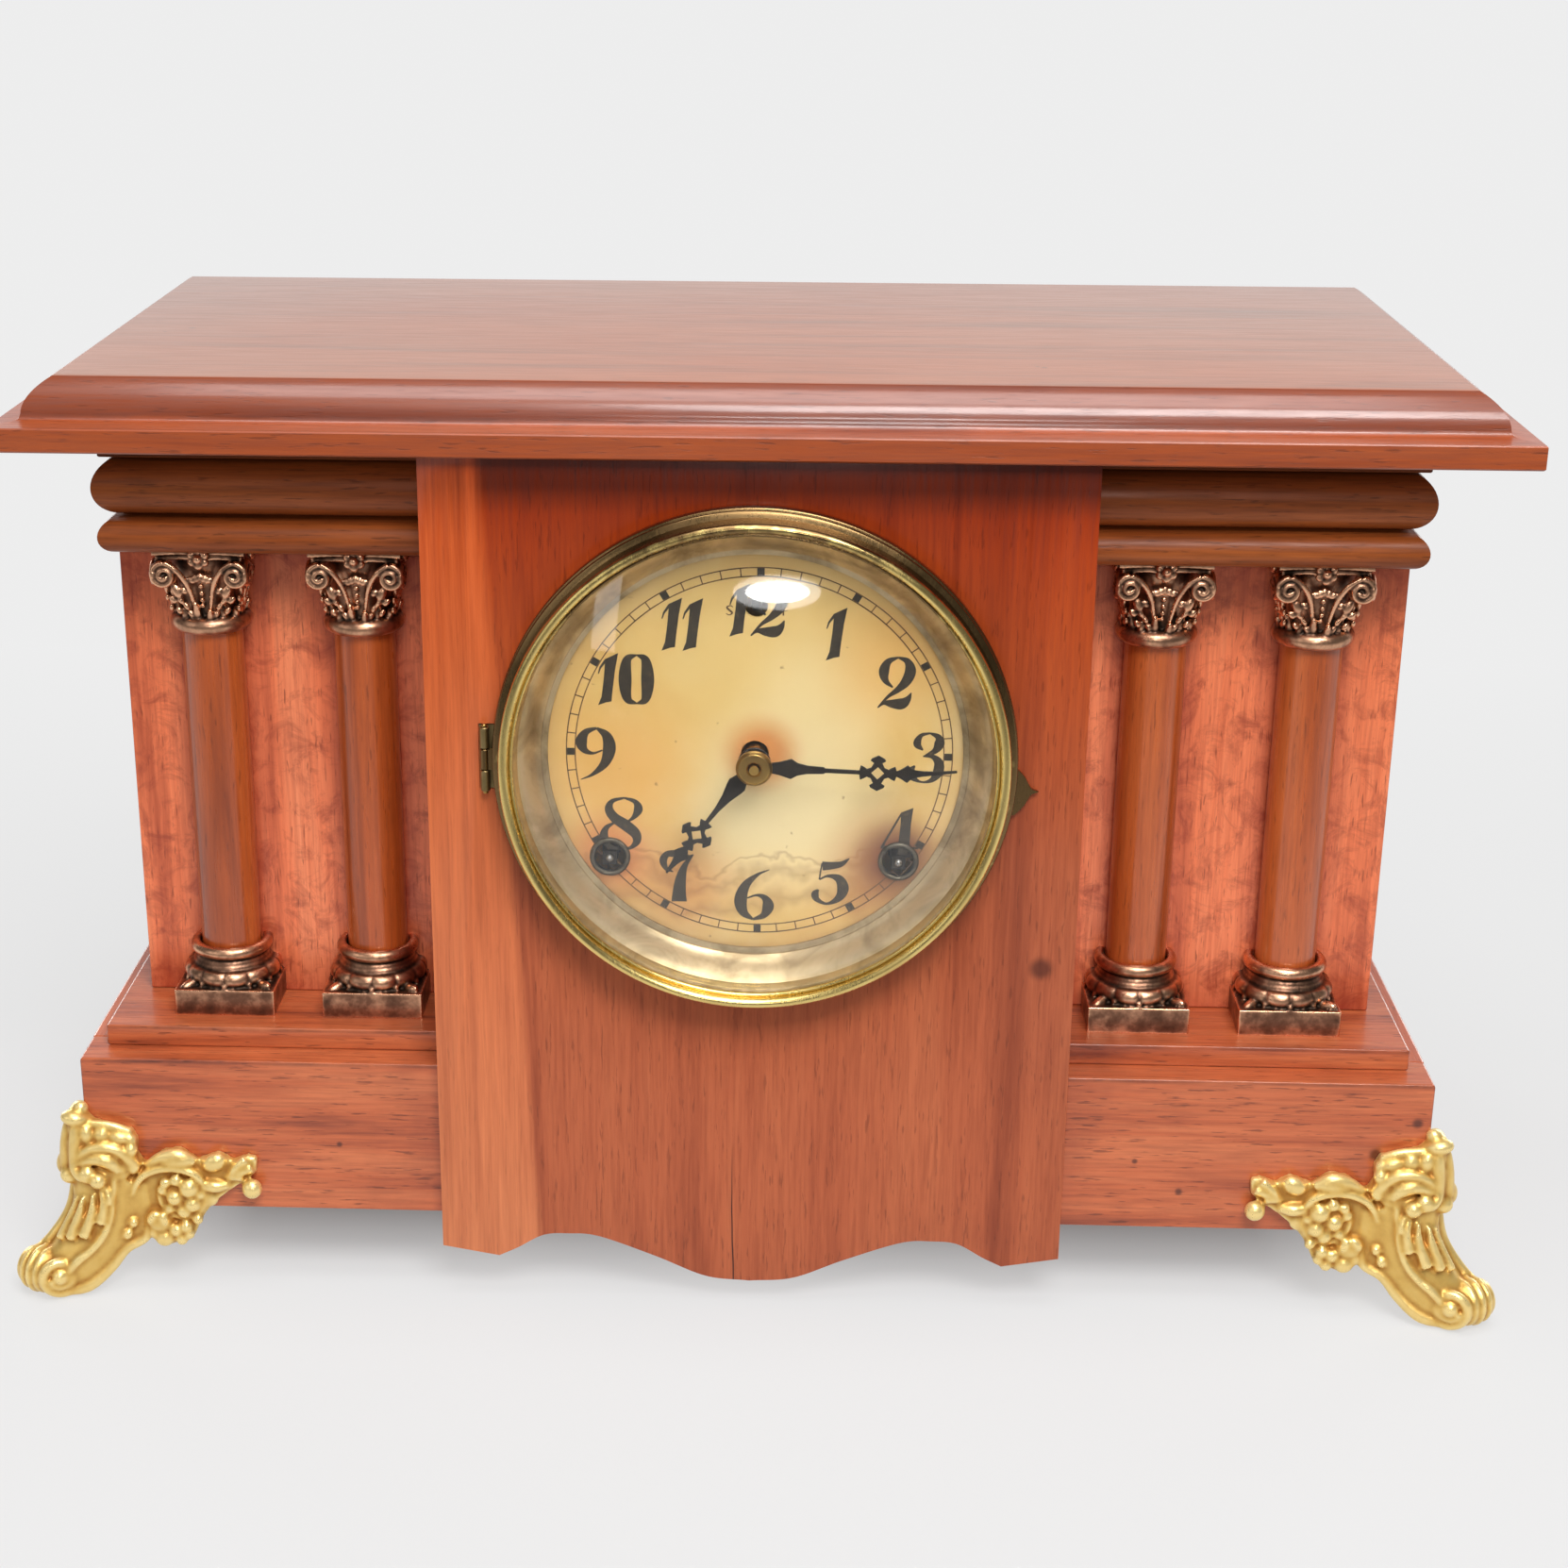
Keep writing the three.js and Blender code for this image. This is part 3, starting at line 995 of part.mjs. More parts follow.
// Strike train: pin wheel with lifting pins, and the fly that steadies it
const pinTurn = meshTurn(strikeGreat, GREAT_TEETH, 0, pinWheel, PIN_WHEEL_PINION);
function strikePinWheel() {
  const wheel = wheelAt(pinWheel, PIN_WHEEL_TEETH, PIN_WHEEL_MODULE, LEVEL.pin, WHEEL_SHEET, { turn: pinTurn });
  const pinion = wheelAt(pinWheel, PIN_WHEEL_PINION, GREAT_MODULE, pinionLevel(LEVEL.great), PINION_LENGTH, { turn: pinTurn });
  const pins = Array.from({ length: 6 }, (_, i) => polar(pinWheel, 11, i * 60));
  const lifters = pins.map((place) => barY(...at(place), 0.8, LEVEL.pin + 1, LEVEL.pin + 4.5, 6));
  return join(pivots(pinWheel), wheel, pinion, ...lifters);
}
piece('strike_pin_wheel', strikePinWheel(), BRASS);

const flyTurn = meshTurn(pinWheel, PIN_WHEEL_TEETH, pinTurn, fly, FLY_PINION);
function strikeFly() {
  const [x, z] = at(fly);
  const pinion = wheelAt(fly, FLY_PINION, PIN_WHEEL_MODULE, pinionLevel(LEVEL.pin), PINION_LENGTH, { turn: flyTurn });
  const vane = box(x - FLY_RADIUS, x + FLY_RADIUS, yInside + 4, yInside + 18, z - 0.4, z + 0.4);
  return join(pivots(fly), pinion, vane);
}
piece('strike_fly', strikeFly(), BRASS);

// Gong: a coiled rod on a post and foot that stands on the step board.
// The hammer pivots on a stud of the back plate and rests over the coil's top.
const gongX = -70;
const gongY = pendulumY;
const gongFoot = 5;
const gongHub = 5;
const gongPost = 4;
const gongZ = zFloor + gongFoot + 2 * GONG_ROD + GONG_RADIUS;
const hammerFaceZ = gongZ + GONG_RADIUS + GONG_ROD / 2 + GAP;
const hammerHeadHeight = 12;
const hammerHead = [gongX, hammerFaceZ + hammerHeadHeight * 0.4 - dialZ];

class GongSpiral extends THREE.Curve {
  getPoint(t) {
    const radius = gongHub - 1 + (GONG_RADIUS - gongHub + 1) * t;
    const angle = Math.PI / 2 - (1 - t) * GONG_TURNS * 2 * Math.PI;
    return new THREE.Vector3(gongX + radius * Math.cos(angle), gongY, gongZ + radius * Math.sin(angle));
  }
}

function gong() {
  const section = new THREE.Shape();
  section.absarc(0, 0, GONG_ROD / 2, 0, 2 * Math.PI, false);
  const steps = Math.round(GONG_TURNS * 14);
  const spiral = new GongSpiral();
  const coil = solid(new THREE.ExtrudeGeometry(section, { steps, extrudePath: spiral, curveSegments: 3 }));
  const hub = barY(gongX, gongZ, gongHub, gongY - GONG_ROD, gongY + 2.5 * gongPost, 12);
  const post = box(gongX - gongPost, gongX + gongPost, gongY + gongPost, gongY + 2.5 * gongPost, zFloor, gongZ);
  const footHalf = GONG_RADIUS * 0.54;
  const foot = box(gongX - footHalf, gongX + footHalf, gongY, gongY + 2 * footHalf, zFloor, zFloor + gongFoot);
  const points = spiral.getPoints(steps);
  const turnSteps = Math.round(steps / GONG_TURNS);
  const spacing = points.slice(turnSteps).map((point, i) => point.distanceTo(points[i]));
  console.log(`gong: least gap between turns ${(Math.min(...spacing) - GONG_ROD).toFixed(2)} mm`);
  return join(coil, hub, post, foot);
}
piece('gong', gong(), BLUE_STEEL);

function strikeHammer() {
  const [x, z] = at(hammerStud);
  const [hx, hz] = at(hammerHead);
  const hub = barY(x, z, 3.2, yRear + GAP, gongY + 2, 10);
  const length = Math.hypot(hx - x, hz - z);
  const arm = box(0, length, gongY - 1, gongY + 1, -1, 1).rotate([0, -bearing([x, z], [hx, hz]), 0]).translate([x, 0, z]);
  const head = barZ(hx, gongY, 4, hammerFaceZ, hammerFaceZ + hammerHeadHeight, 10);
  const bore = boreY(x, z, ARBOR + RUN, yRear - 1, gongY + 6);
  return cut(join(hub, arm, head), bore);
}
piece('strike_hammer', strikeHammer(), STEEL);

// Regulator arbor behind the small hole at 12
const regulatorArbor = join(
  barY(...at(regulator), ARBOR, DIAL_DEPTH - 0.5, yInside + 2, 8),
  barY(...at(regulator), ARBOR + 1.4, yPlateFront - 3, yPlateFront - GAP, 10));
piece('regulator_arbor', regulatorArbor, STEEL);

// The clock's origin is on the floor, under the middle of its outer box
const bounds = new THREE.Box3().setFromObject(clock);
const middle = bounds.getCenter(new THREE.Vector3());
clock.position.set(-middle.x, -middle.y, -bounds.min.z);
clock.updateMatrixWorld(true);

export default clock;
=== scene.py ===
# %% [markdown]
# # A column mantel clock, dressed in Blender
# The clock arrives as plain CAD solids that already know their bodies and joints.
# This lesson keeps that frame fixed and builds the visible skin over it: varnished boards,
# cast feet and capitals, a stained paper dial under domed glass, and a brass movement behind.
# First the frame is loaded, and its parts are kept by name so their sizes can be read.

# %% Load the imported clock
import math

import bmesh
import bpy
import numpy as np
from mathutils import Matrix, Vector


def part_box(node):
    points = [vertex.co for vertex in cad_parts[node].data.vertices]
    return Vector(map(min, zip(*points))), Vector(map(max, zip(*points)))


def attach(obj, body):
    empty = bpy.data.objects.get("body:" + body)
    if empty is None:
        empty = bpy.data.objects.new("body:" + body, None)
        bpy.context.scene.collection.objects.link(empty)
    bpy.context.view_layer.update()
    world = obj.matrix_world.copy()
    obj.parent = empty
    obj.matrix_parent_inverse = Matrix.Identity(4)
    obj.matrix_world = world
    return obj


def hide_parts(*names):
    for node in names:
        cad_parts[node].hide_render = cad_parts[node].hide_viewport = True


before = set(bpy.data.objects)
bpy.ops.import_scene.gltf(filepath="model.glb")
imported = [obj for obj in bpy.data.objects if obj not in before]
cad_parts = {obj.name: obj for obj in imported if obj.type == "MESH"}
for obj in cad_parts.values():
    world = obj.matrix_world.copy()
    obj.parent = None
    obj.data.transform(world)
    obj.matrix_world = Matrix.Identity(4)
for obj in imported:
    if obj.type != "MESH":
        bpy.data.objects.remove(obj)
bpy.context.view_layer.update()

# %% [markdown]
# All sizes below are millimetres, measured from the face of the centre panel (y), the table
# top (z) and the middle of the clock (x). One small function turns them into the frame's
# metres, so a number can be read straight off a ruler.

# %% Millimetres and the frame
MM = 0.001
PANEL_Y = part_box("center_panel")[0].y


def at(x, y, z):
    """A point in clock millimetres, as a vector in the frame's metres."""
    return Vector((x * MM, PANEL_Y + y * MM, z * MM))


def span(node):
    """Lowest and highest corner of a CAD node, in clock millimetres."""
    return [Vector((v.x / MM, (v.y - PANEL_Y) / MM, v.z / MM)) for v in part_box(node)]


dial_low, dial_high = span("dial_plate")
DIAL_Z = (dial_low.z + dial_high.z) / 2
RECESS = span("frieze_left")[1].y
print("dial centre height", round(DIAL_Z, 2), "recess plane", round(RECESS, 2))

# %% [markdown]
# The camera stands a little to the right, above the clock, and looks down at it by about
# twenty degrees. Its place, turn and lens were solved from corners whose sizes are known, so
# the lens shift only carries the small offset of the framing.

# %% Camera
IMAGE = 1662
FOCAL_PIXELS = 2754.3
SENSOR = 36
EYE = at(12.4, -729.4, 443.2)
yaw, pitch, roll = (math.radians(a) for a in (-2.144, 19.76, 0.203))
ahead = Vector((math.sin(yaw) * math.cos(pitch), math.cos(yaw) * math.cos(pitch), -math.sin(pitch)))
level = Vector((math.cos(yaw), -math.sin(yaw), 0))
upward = level.cross(ahead)
right = level * math.cos(roll) + upward * math.sin(roll)
up = upward * math.cos(roll) - level * math.sin(roll)

lens = bpy.data.cameras.new("camera")
lens.sensor_width = SENSOR
lens.lens = SENSOR * FOCAL_PIXELS / IMAGE
lens.shift_x, lens.shift_y = 0.0507, -0.0075
camera = bpy.data.objects.new("camera", lens)
camera.matrix_world = Matrix.Translation(EYE) @ Matrix((right, up, -ahead)).transposed().to_4x4()
bpy.context.scene.collection.objects.link(camera)
bpy.context.scene.camera = camera
print("lens", round(lens.lens, 2), "mm")

# %% [markdown]
# Every finish is a small graph of nodes. These helpers keep the graphs short: one fills a
# node's inputs, linking what is a socket and setting what is a plain value, and one finds the
# tree to work in from the sockets that a new node is fed with.

# %% Node helpers
def srgb(red, green, blue):
    """A colour as a paint chart gives it (0 to 255), turned into Blender's linear light."""
    parts = [c / 255 for c in (red, green, blue)]
    linear = [c / 12.92 if c < 0.04045 else ((c + 0.055) / 1.055) ** 2.4 for c in parts]
    return (*linear, 1)


def feed(node, inputs):
    """Fill a node's inputs: a socket is linked, a plain value is set."""
    for key, value in inputs.items():
        if isinstance(value, bpy.types.NodeSocket):
            node.id_data.links.new(value, node.inputs[key])
        else:
            node.inputs[key].default_value = value
    return node


def add_node(tree, kind, inputs=None, **settings):
    made = tree.nodes.new(kind)
    for key, value in settings.items():
        setattr(made, key, value)
    return feed(made, inputs or {})


def after(kind, inputs, **settings):
    """A node behind earlier ones, in the tree that its first linked input belongs to."""
    tree = next(v.id_data for v in inputs.values() if isinstance(v, bpy.types.NodeSocket))
    return add_node(tree, kind, inputs, **settings)


def new_finish(name):
    """A material with one Principled shader; gives it, the shader and object coordinates."""
    finish = bpy.data.materials.new(name)
    finish.use_nodes = True
    nodes = finish.node_tree.nodes
    return finish, nodes["Principled BSDF"], nodes.new("ShaderNodeTexCoord").outputs["Object"]


def reopen(finish):
    """The shader, coordinates and colour of a finish made before, to add more to it."""
    nodes = finish.node_tree.nodes
    skin = nodes["Principled BSDF"]
    coords = next(n for n in nodes if n.type == "TEX_COORD").outputs["Object"]
    return skin, coords, skin.inputs["Base Color"].links[0].from_socket


print("node helpers ready")

# %% [markdown]
# The patterns that all finishes share come next: stretched noise for grain, a colour ramp, a
# soft spot for a stain, a bump. Sums and products of values get short names too, so a finish
# reads almost like a formula.

# %% Patterns
def stretched(coords, scale=(1, 1, 1), shift=(0, 0, 0)):
    return after("ShaderNodeMapping", {"Vector": coords, "Scale": scale, "Location": shift}).outputs[0]


def axes(coords):
    """The X, Y and Z of a place, as three sockets."""
    return after("ShaderNodeSeparateXYZ", {0: coords}).outputs


def noise(coords, scale, detail=3.0, roughness=0.5, distortion=0.0):
    return after("ShaderNodeTexNoise", {
        "Vector": coords, "Scale": scale, "Detail": detail, "Roughness": roughness,
        "Distortion": distortion}).outputs["Fac"]


def ramp(value, stops):
    """A colour ramp from (position, colour) stops."""
    made = after("ShaderNodeValToRGB", {"Fac": value})
    band = made.color_ramp
    while len(band.elements) < len(stops):
        band.elements.new(0.5)
    for element, (place, colour) in zip(band.elements, stops):
        element.position = place
        element.color = colour
    return made.outputs["Color"]


def fit(value, low, high, new_low=0.0, new_high=1.0, ease="LINEAR"):
    """Carry a value from one range to another, held at both ends."""
    return after("ShaderNodeMapRange", {
        "Value": value, "From Min": low, "From Max": high, "To Min": new_low, "To Max": new_high},
        interpolation_type=ease).outputs[0]


def mix(share, first, second, blend="MIX"):
    """Two colours mixed by a share; any of the three may be a socket or a plain value."""
    return after("ShaderNodeMix", {0: share, 6: first, 7: second},
                 data_type="RGBA", blend_type=blend).outputs[2]


def math_node(operation, first, second=0.0):
    return after("ShaderNodeMath", {0: first, 1: second}, operation=operation).outputs[0]


def times(first, second):
    return math_node("MULTIPLY", first, second)


def plus(first, second):
    return math_node("ADD", first, second)


def larger(first, second):
    return math_node("MAXIMUM", first, second)


def apart(first, second):
    """How far two values lie from each other."""
    return math_node("ABSOLUTE", math_node("SUBTRACT", first, second))


def spot(coords, place, inner, outer):
    """1 inside a round spot at a place in metres, falling to 0 at its outer radius."""
    away = after("ShaderNodeVectorMath", {0: coords, 1: place}, operation="DISTANCE").outputs["Value"]
    return fit(away, inner, outer, 1.0, 0.0, "SMOOTHSTEP")


def dent(skin, height, depth, strength):
    """Bump from a height pattern; depth is in metres."""
    bump = after("ShaderNodeBump", {"Height": height, "Strength": strength, "Distance": depth})
    feed(skin, {"Normal": bump.outputs["Normal"]})


def blend_surface(share, first, second):
    """Make the surface one shader that turns into another by a share."""
    blend = after("ShaderNodeMixShader", {0: share, 1: first.outputs[0], 2: second.outputs[0]})
    feed(first.id_data.nodes["Material Output"], {"Surface": blend.outputs[0]})


print("patterns ready")

# %% [markdown]
# The studio is a pale sweep of paper, a floor that curves up into a wall. To camera, mirror and
# glass rays the paper glows a little by itself, more towards the wall and least under the
# clock, so it reads as even white while the floor keeps its shadow.

# %% Floor and world
scene = bpy.context.scene
scene.view_settings.view_transform = "Standard"


def studio_sweep():
    bend_at, bend = 1.2, 0.8
    run = [(-4.0, 0.0), (bend_at, 0.0)]
    run += [(bend_at + bend * math.sin(a), bend - bend * math.cos(a)) for a in np.linspace(0.1, math.pi / 2, 14)]
    run.append((bend_at + bend, 3.0))
    bm = bmesh.new()
    rows = [[bm.verts.new((x, y, z)) for x in (-5, 5)] for y, z in run]
    for near, far in zip(rows, rows[1:]):
        bm.faces.new((near[0], near[1], far[1], far[0])).smooth = True
    mesh = bpy.data.meshes.new("studio_sweep")
    bm.to_mesh(mesh)
    bm.free()
    return mesh


def white_paper():
    paper, skin, coords = new_finish("studio_paper")
    place = axes(coords)
    pale = fit(place["Y"], -0.62, -0.26, 0.10, 0.62)
    feed(skin, {"Base Color": pale, "Roughness": 0.9, "Specular IOR Level": 0.1})
    rays = paper.node_tree.nodes.new("ShaderNodeLightPath").outputs
    looks = larger(larger(rays["Is Camera Ray"], rays["Is Glossy Ray"]), rays["Is Transmission Ray"])
    front = larger(rays["Is Camera Ray"], times(pale, 1.4))
    under = fit(math_node("ABSOLUTE", place["X"]), 0.17, 0.24, 1.0, 0.0)
    for near, far, low, high in ((-0.088, -0.03, 0.0, 1.0), (0.09, 0.16, 1.0, 0.0)):
        under = times(under, fit(place["Y"], near, far, low, high))
    share = fit(place["Y"], 0.0, 0.6, 0.72, 1.0)
    for part in (looks, front, fit(under, 0.0, 1.0, 1.0, 0.15)):
        share = times(share, part)
    glow = add_node(paper.node_tree, "ShaderNodeEmission", {"Color": (0.85, 0.85, 0.85, 1)})
    blend_surface(share, skin, glow)
    return paper


sweep = bpy.data.objects.new("studio_sweep", studio_sweep())
scene.collection.objects.link(sweep)
sweep.data.materials.append(white_paper())

world = bpy.data.worlds.new("studio")
world.use_nodes = True
scene.world = world
feed(world.node_tree.nodes["Background"], {"Color": (1, 0.99, 0.98, 1), "Strength": 0.13})
print("sweep of", len(sweep.data.polygons), "strips")

# %% [markdown]
# A big soft panel hangs overhead. A key above the camera lights the front, a strip close to the
# lens draws the bright oval on the glass, and weak fills open the shadows. Two soft lamps behind
# the clock show its back when the view goes round; from the front they do almost nothing.

# %% Lamps
def soft_panel(name, place, aim, size, watts, shape="RECTANGLE"):
    """A flat lamp at a place in metres, turned to face a point."""
    lamp = bpy.data.lights.new(name, "AREA")
    lamp.shape = shape
    lamp.size, lamp.size_y = size
    lamp.energy = watts
    panel = bpy.data.objects.new(name, lamp)
    panel.location = place
    panel.rotation_euler = (Vector(aim) - Vector(place)).to_track_quat("-Z", "Y").to_euler()
    scene.collection.objects.link(panel)


front_middle = (0, 0, 0.15)
dial_middle = at(0, 0, DIAL_Z)
soft_panel("overhead", (0.0, -0.30, 1.60), (0, -0.15, 0.0), (1.0, 0.7), 13)
soft_panel("front_key", (0.24, -1.00, 1.28), front_middle, (0.7, 0.5), 19)
soft_panel("by_camera", (0.085, PANEL_Y - 1.446, 0.65), dial_middle, (0.32, 0.11), 2.2, "ELLIPSE")
soft_panel("by_camera_glow", (0.085, PANEL_Y - 1.5, 0.66), dial_middle, (0.46, 0.18), 1.0, "ELLIPSE")
soft_panel("left_strip", (-0.95, -1.75, 0.62), front_middle, (0.16, 0.6), 0.7)
soft_panel("left_fill", (-1.5, -1.2, 0.9), front_middle, (0.9, 1.2), 3.5)
for name, x in (("behind_left", -1.0), ("behind_right", 1.0)):
    soft_panel(name, (x, 1.05, 0.42), (0, 0.09, 0.15), (0.5, 0.5), 4.5)

# %% [markdown]
# The case is stained hardwood under old varnish. Grain is noise stretched along one axis:
# broad bands for the growth rings, fine streaks for fibre and short dark dashes for pores.
# Blotches of stain lie over it. A thin clear coat gives the varnish its sheen.

# %% Varnished wood
def varnished_wood(name, shades, grain, blotch=0.3, pores=0.45, ring=90.0, rough=0.36, coat=0.3,
                   marks=(), gloss=0.5, coat_rough=0.12):
    """Shades run deep, middle, pale; marks are (place, size) dings and knots in metres."""
    finish, skin, coords = new_finish(name)
    deep, middle, pale = (srgb(*shade) for shade in shades)
    along, dash = (stretched(coords, [k if axis == grain else 1 for axis in "XYZ"]) for k in (0.05, 0.10))
    bands = noise(along, ring, 6, 0.6, 0.8)
    fibre = noise(along, 950, 4, 0.6, 0.2)
    pore = noise(dash, 1300, 2, 0.5)
    stain = noise(coords, 16, 5, 0.62, 0.4)
    body = ramp(bands, [(0.25, deep), (0.46, middle), (0.75, pale)])
    body = mix(fit(fibre, 0.4, 0.75, 0.0, 0.45), body, deep)
    body = mix(fit(stain, 0.52, 0.8, 0.0, blotch), body, deep)
    dark = fit(pore, 0.62, 0.7, 0.0, pores)
    scar = (*(c * 0.4 for c in deep[:3]), 1)
    body = mix(dark, body, scar)
    for place, size in marks:
        body = mix(times(spot(coords, place, size * 0.3, size), 0.8), body, scar)
    feed(skin, {
        "Base Color": body, "Roughness": fit(fibre, 0.3, 0.7, rough - 0.08, rough + 0.1),
        "Specular IOR Level": gloss, "Coat Weight": coat, "Coat Roughness": coat_rough})
    dent(skin, math_node("SUBTRACT", fibre, dark), 0.00012, 0.5)
    return finish


dings = [(at(-182, 90, 296), 0.0016), (at(-189, 83, 296), 0.0009),
         (at(84, 39, 296), 0.0014), (at(82, 40, 296), 0.0010)]
knots = [(at(x, 4.6, z), size) for x, z, size in (
    (196, 55.5, 0.0030), (121, 51.4, 0.0013), (135.4, 41, 0.0016), (208, 66.7, 0.0024), (-131, 51.4, 0.0013))]
case_wood = varnished_wood("case_wood", ((104, 40, 26), (190, 94, 52), (212, 120, 74)), "X",
                           0.45, 0.55, 110, marks=knots)
top_wood = varnished_wood("top_wood", ((104, 40, 18), (158, 72, 32), (172, 86, 44)), "X",
                          coat=0.5, marks=dings, coat_rough=0.14)
side_wood = varnished_wood("side_wood", ((128, 52, 20), (186, 90, 48), (204, 110, 64)), "Y")
frieze_wood = varnished_wood("dark_wood", ((54, 22, 8), (142, 70, 30), (186, 102, 48)), "X",
                             ring=60, coat=0.0, gloss=0.25)
shaft_wood = varnished_wood("shaft_wood", ((116, 46, 14), (180, 84, 34), (204, 108, 56)), "Z",
                            0.3, 0.4, 70, 0.32, 0.5)
back_wood = varnished_wood("back_wood", ((88, 52, 32), (140, 88, 56), (164, 110, 72)), "X",
                           0.4, 0.6, 30, 0.7, 0.0)
print("wood finishes:", [m.name for m in bpy.data.materials if m.name.endswith("_wood")])

# %% [markdown]
# Dirt gathers along the upper edges of the base and the step, where a duster pushes it. A thin
# A thin dark line at the height of each upper edge of the base and the step, and at the step of
# the top's moulding, broken up by noise, is mixed into the finished colour.
# and dust.

# %% Edge lines, painted shade and painted sheen
HAIR = 0.0002


def dark_edge_line(finish, heights):
    """A ragged dark line at each height in metres."""
    skin, coords, body = reopen(finish)
    height = axes(coords)["Z"]
    ragged = fit(noise(coords, 60, 5, 0.6), 0.35, 0.65, 0.1, 0.55)
    for edge in heights:
        line = times(fit(apart(height, edge), HAIR, 0.0010, 1.0, 0.0), ragged)
        body = mix(line, body, srgb(62, 26, 16))
    feed(skin, {"Base Color": body})


def bleach_and_sheen(finish, floor):
    """Pale what lies flat above a height in metres: partly daylight and dust, partly a painted reflection of the
    varnish's sheen.
    """
    skin, coords, body = reopen(finish)
    flat = fit(axes(coords)["Z"], floor - HAIR, floor)
    share = times(flat, fit(noise(coords, 9, 4), 0.3, 0.7, 0.4, 0.52))
    feed(skin, {"Base Color": mix(share, body, srgb(172, 148, 134))})


def painted_shade_upwards(finish, low, high, share, colour, stop=1.0):
    """Painted shade: deepen a colour between two heights in metres, up to a last height."""
    skin, coords, body = reopen(finish)
    height = axes(coords)["Z"]
    share = times(fit(height, low, high, 0.0, share), fit(height, stop - HAIR, stop, 1.0, 0.0))
    feed(skin, {"Base Color": mix(share, body, colour)})


top_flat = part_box("top_board")[1].z - HAIR
# Dark edge lines on the base, the step and the crease of the top's moulding.
dark_edge_line(case_wood, (0.0793, 0.0863))
dark_edge_line(top_wood, (0.2858,))
# Painted shade over the top's round edge.
painted_shade_upwards(top_wood, 0.2845, 0.2862, 0.55, srgb(92, 36, 16), top_flat)
# Partly painted reflection: the flat is paled as if by the varnish's sheen, partly by daylight and dust.
bleach_and_sheen(top_wood, top_flat)
# Painted shadow on the upper part of the frieze, under the top board.
painted_shade_upwards(frieze_wood, 0.264, 0.275, 0.7, srgb(44, 18, 8))
print("edges dirtied on", case_wood.name, "and", top_wood.name)

# %% [markdown]
# The centre panel is one wide veneer with upright grain. A paler sapwood strip runs down its
# left side, and a hairline crack has opened near the foot. The colour is painted darker and deeper
# towards the top as painted shade, ending in a band of painted shadow just under the top board.
# All are drawn from the piece's own coordinates: the strip by x, the painted shade by z, the crack by a thin line that
# wanders with noise.

# %% Centre panel wood
def panel_finish():
    finish = varnished_wood("panel_wood", ((128, 52, 26), (184, 94, 56), (198, 108, 66)), "Z",
                            0.25, 0.35, 60, marks=[(at(88, 0, 119), 0.005)], gloss=0.26, coat=0.2)
    skin, coords, grown = reopen(finish)
    place = axes(coords)
    wander = noise(stretched(coords, (1, 1, 0.25)), 40, 3)
    across = plus(place["X"], fit(wander, 0, 1, -0.003, 0.003))
    height = fit(place["Z"], 0.0, 0.28)
    # Painted shade: the colour is multiplied darker and deeper towards the top, nearly black in a thin band of painted
    # shadow under the top board.
    depth = ramp(height, [
        (0.1, (0.97, 0.95, 0.95, 1)), (0.54, (0.88, 0.86, 0.9, 1)), (0.78, (0.82, 0.56, 0.33, 1)),
        (0.89, (0.72, 0.36, 0.14, 1)), (0.925, (0.6, 0.26, 0.08, 1)), (0.955, (0.2, 0.08, 0.02, 1))])
    grown = mix(1.0, grown, depth, "MULTIPLY")
    edge = fit(place["Z"], 0.02, 0.27, -0.067, -0.080)
    strip = fit(math_node("SUBTRACT", across, edge), -0.0016, 0.0016, 1.0, 0.0)
    streak = fit(noise(stretched(coords, (1, 1, 0.03)), 420, 5, 0.7), 0.35, 0.65, 0.35, 0.9)
    # The sapwood strip gets the same painted shade, darker towards the top.
    sapwood = ramp(height, [(0.1, srgb(224, 134, 86)), (0.6, srgb(220, 116, 66)),
                            (0.9, srgb(206, 94, 42)), (0.97, srgb(172, 70, 26))])
    grown = mix(times(strip, streak), grown, sapwood)
    crack = fit(apart(across, -0.0055), 0.00012, 0.0003, 1.0, 0.0)
    crack = times(crack, fit(place["Z"], 0.034, 0.058, 1.0, 0.0))
    feed(skin, {"Base Color": mix(crack, grown, srgb(52, 16, 8))})
    return finish


panel_wood = panel_finish()
print("panel finish has", len(panel_wood.node_tree.nodes), "nodes")

# %% [markdown]
# The boards behind the columns are stained red over a mottled figure. Painted shade darkens the
# corners: under the frieze, low by the step, beside the panel's cheek and in a narrow band beside
# every shaft, where those neighbours shade the board. The bands are distances in x and z from those neighbours.

# %% Recess boards wood
def recess_finish():
    finish = varnished_wood("red_wood", ((150, 52, 26), (238, 126, 80), (248, 150, 104)), "Z",
                            0.2, 0.55, 46, coat=0.2)
    skin, coords, body = reopen(finish)
    place = axes(coords)
    mottle = noise(coords, 95, 7, 0.72, 0.8)
    body = mix(fit(mottle, 0.48, 0.66, 0.0, 0.6), body, srgb(138, 50, 32))
    # Painted shade in the corners, broken up by the mottle.
    side = math_node("ABSOLUTE", place["X"])
    corner_shade = fit(place["Z"], 0.212, 0.243, 0.0, 0.85)
    for centre, near, far in ((0.122, 0.009, 0.0165), (0.1695, 0.009, 0.0165), (0.0982, 0.0, 0.007)):
        corner_shade = larger(corner_shade, fit(apart(side, centre), near, far, 0.7, 0.0))
    corner_shade = larger(corner_shade, fit(place["Z"], 0.087, 0.105, 0.7, 0.0))
    patchy_corner_shade = times(corner_shade, fit(mottle, 0.3, 0.7, 0.6, 1.0))
    feed(skin, {"Base Color": mix(patchy_corner_shade, body, srgb(142, 38, 16))})
    return finish


red_wood = recess_finish()
print("recess finish has", len(red_wood.node_tree.nodes), "nodes")

# %% [markdown]
# Old castings are bright where hands have rubbed them and dark in their hollows. Each cast
# mesh below stores how proud every point stands in an attribute named relief, and the metal
# reads it. That stays right from every side, because it belongs to the surface itself.

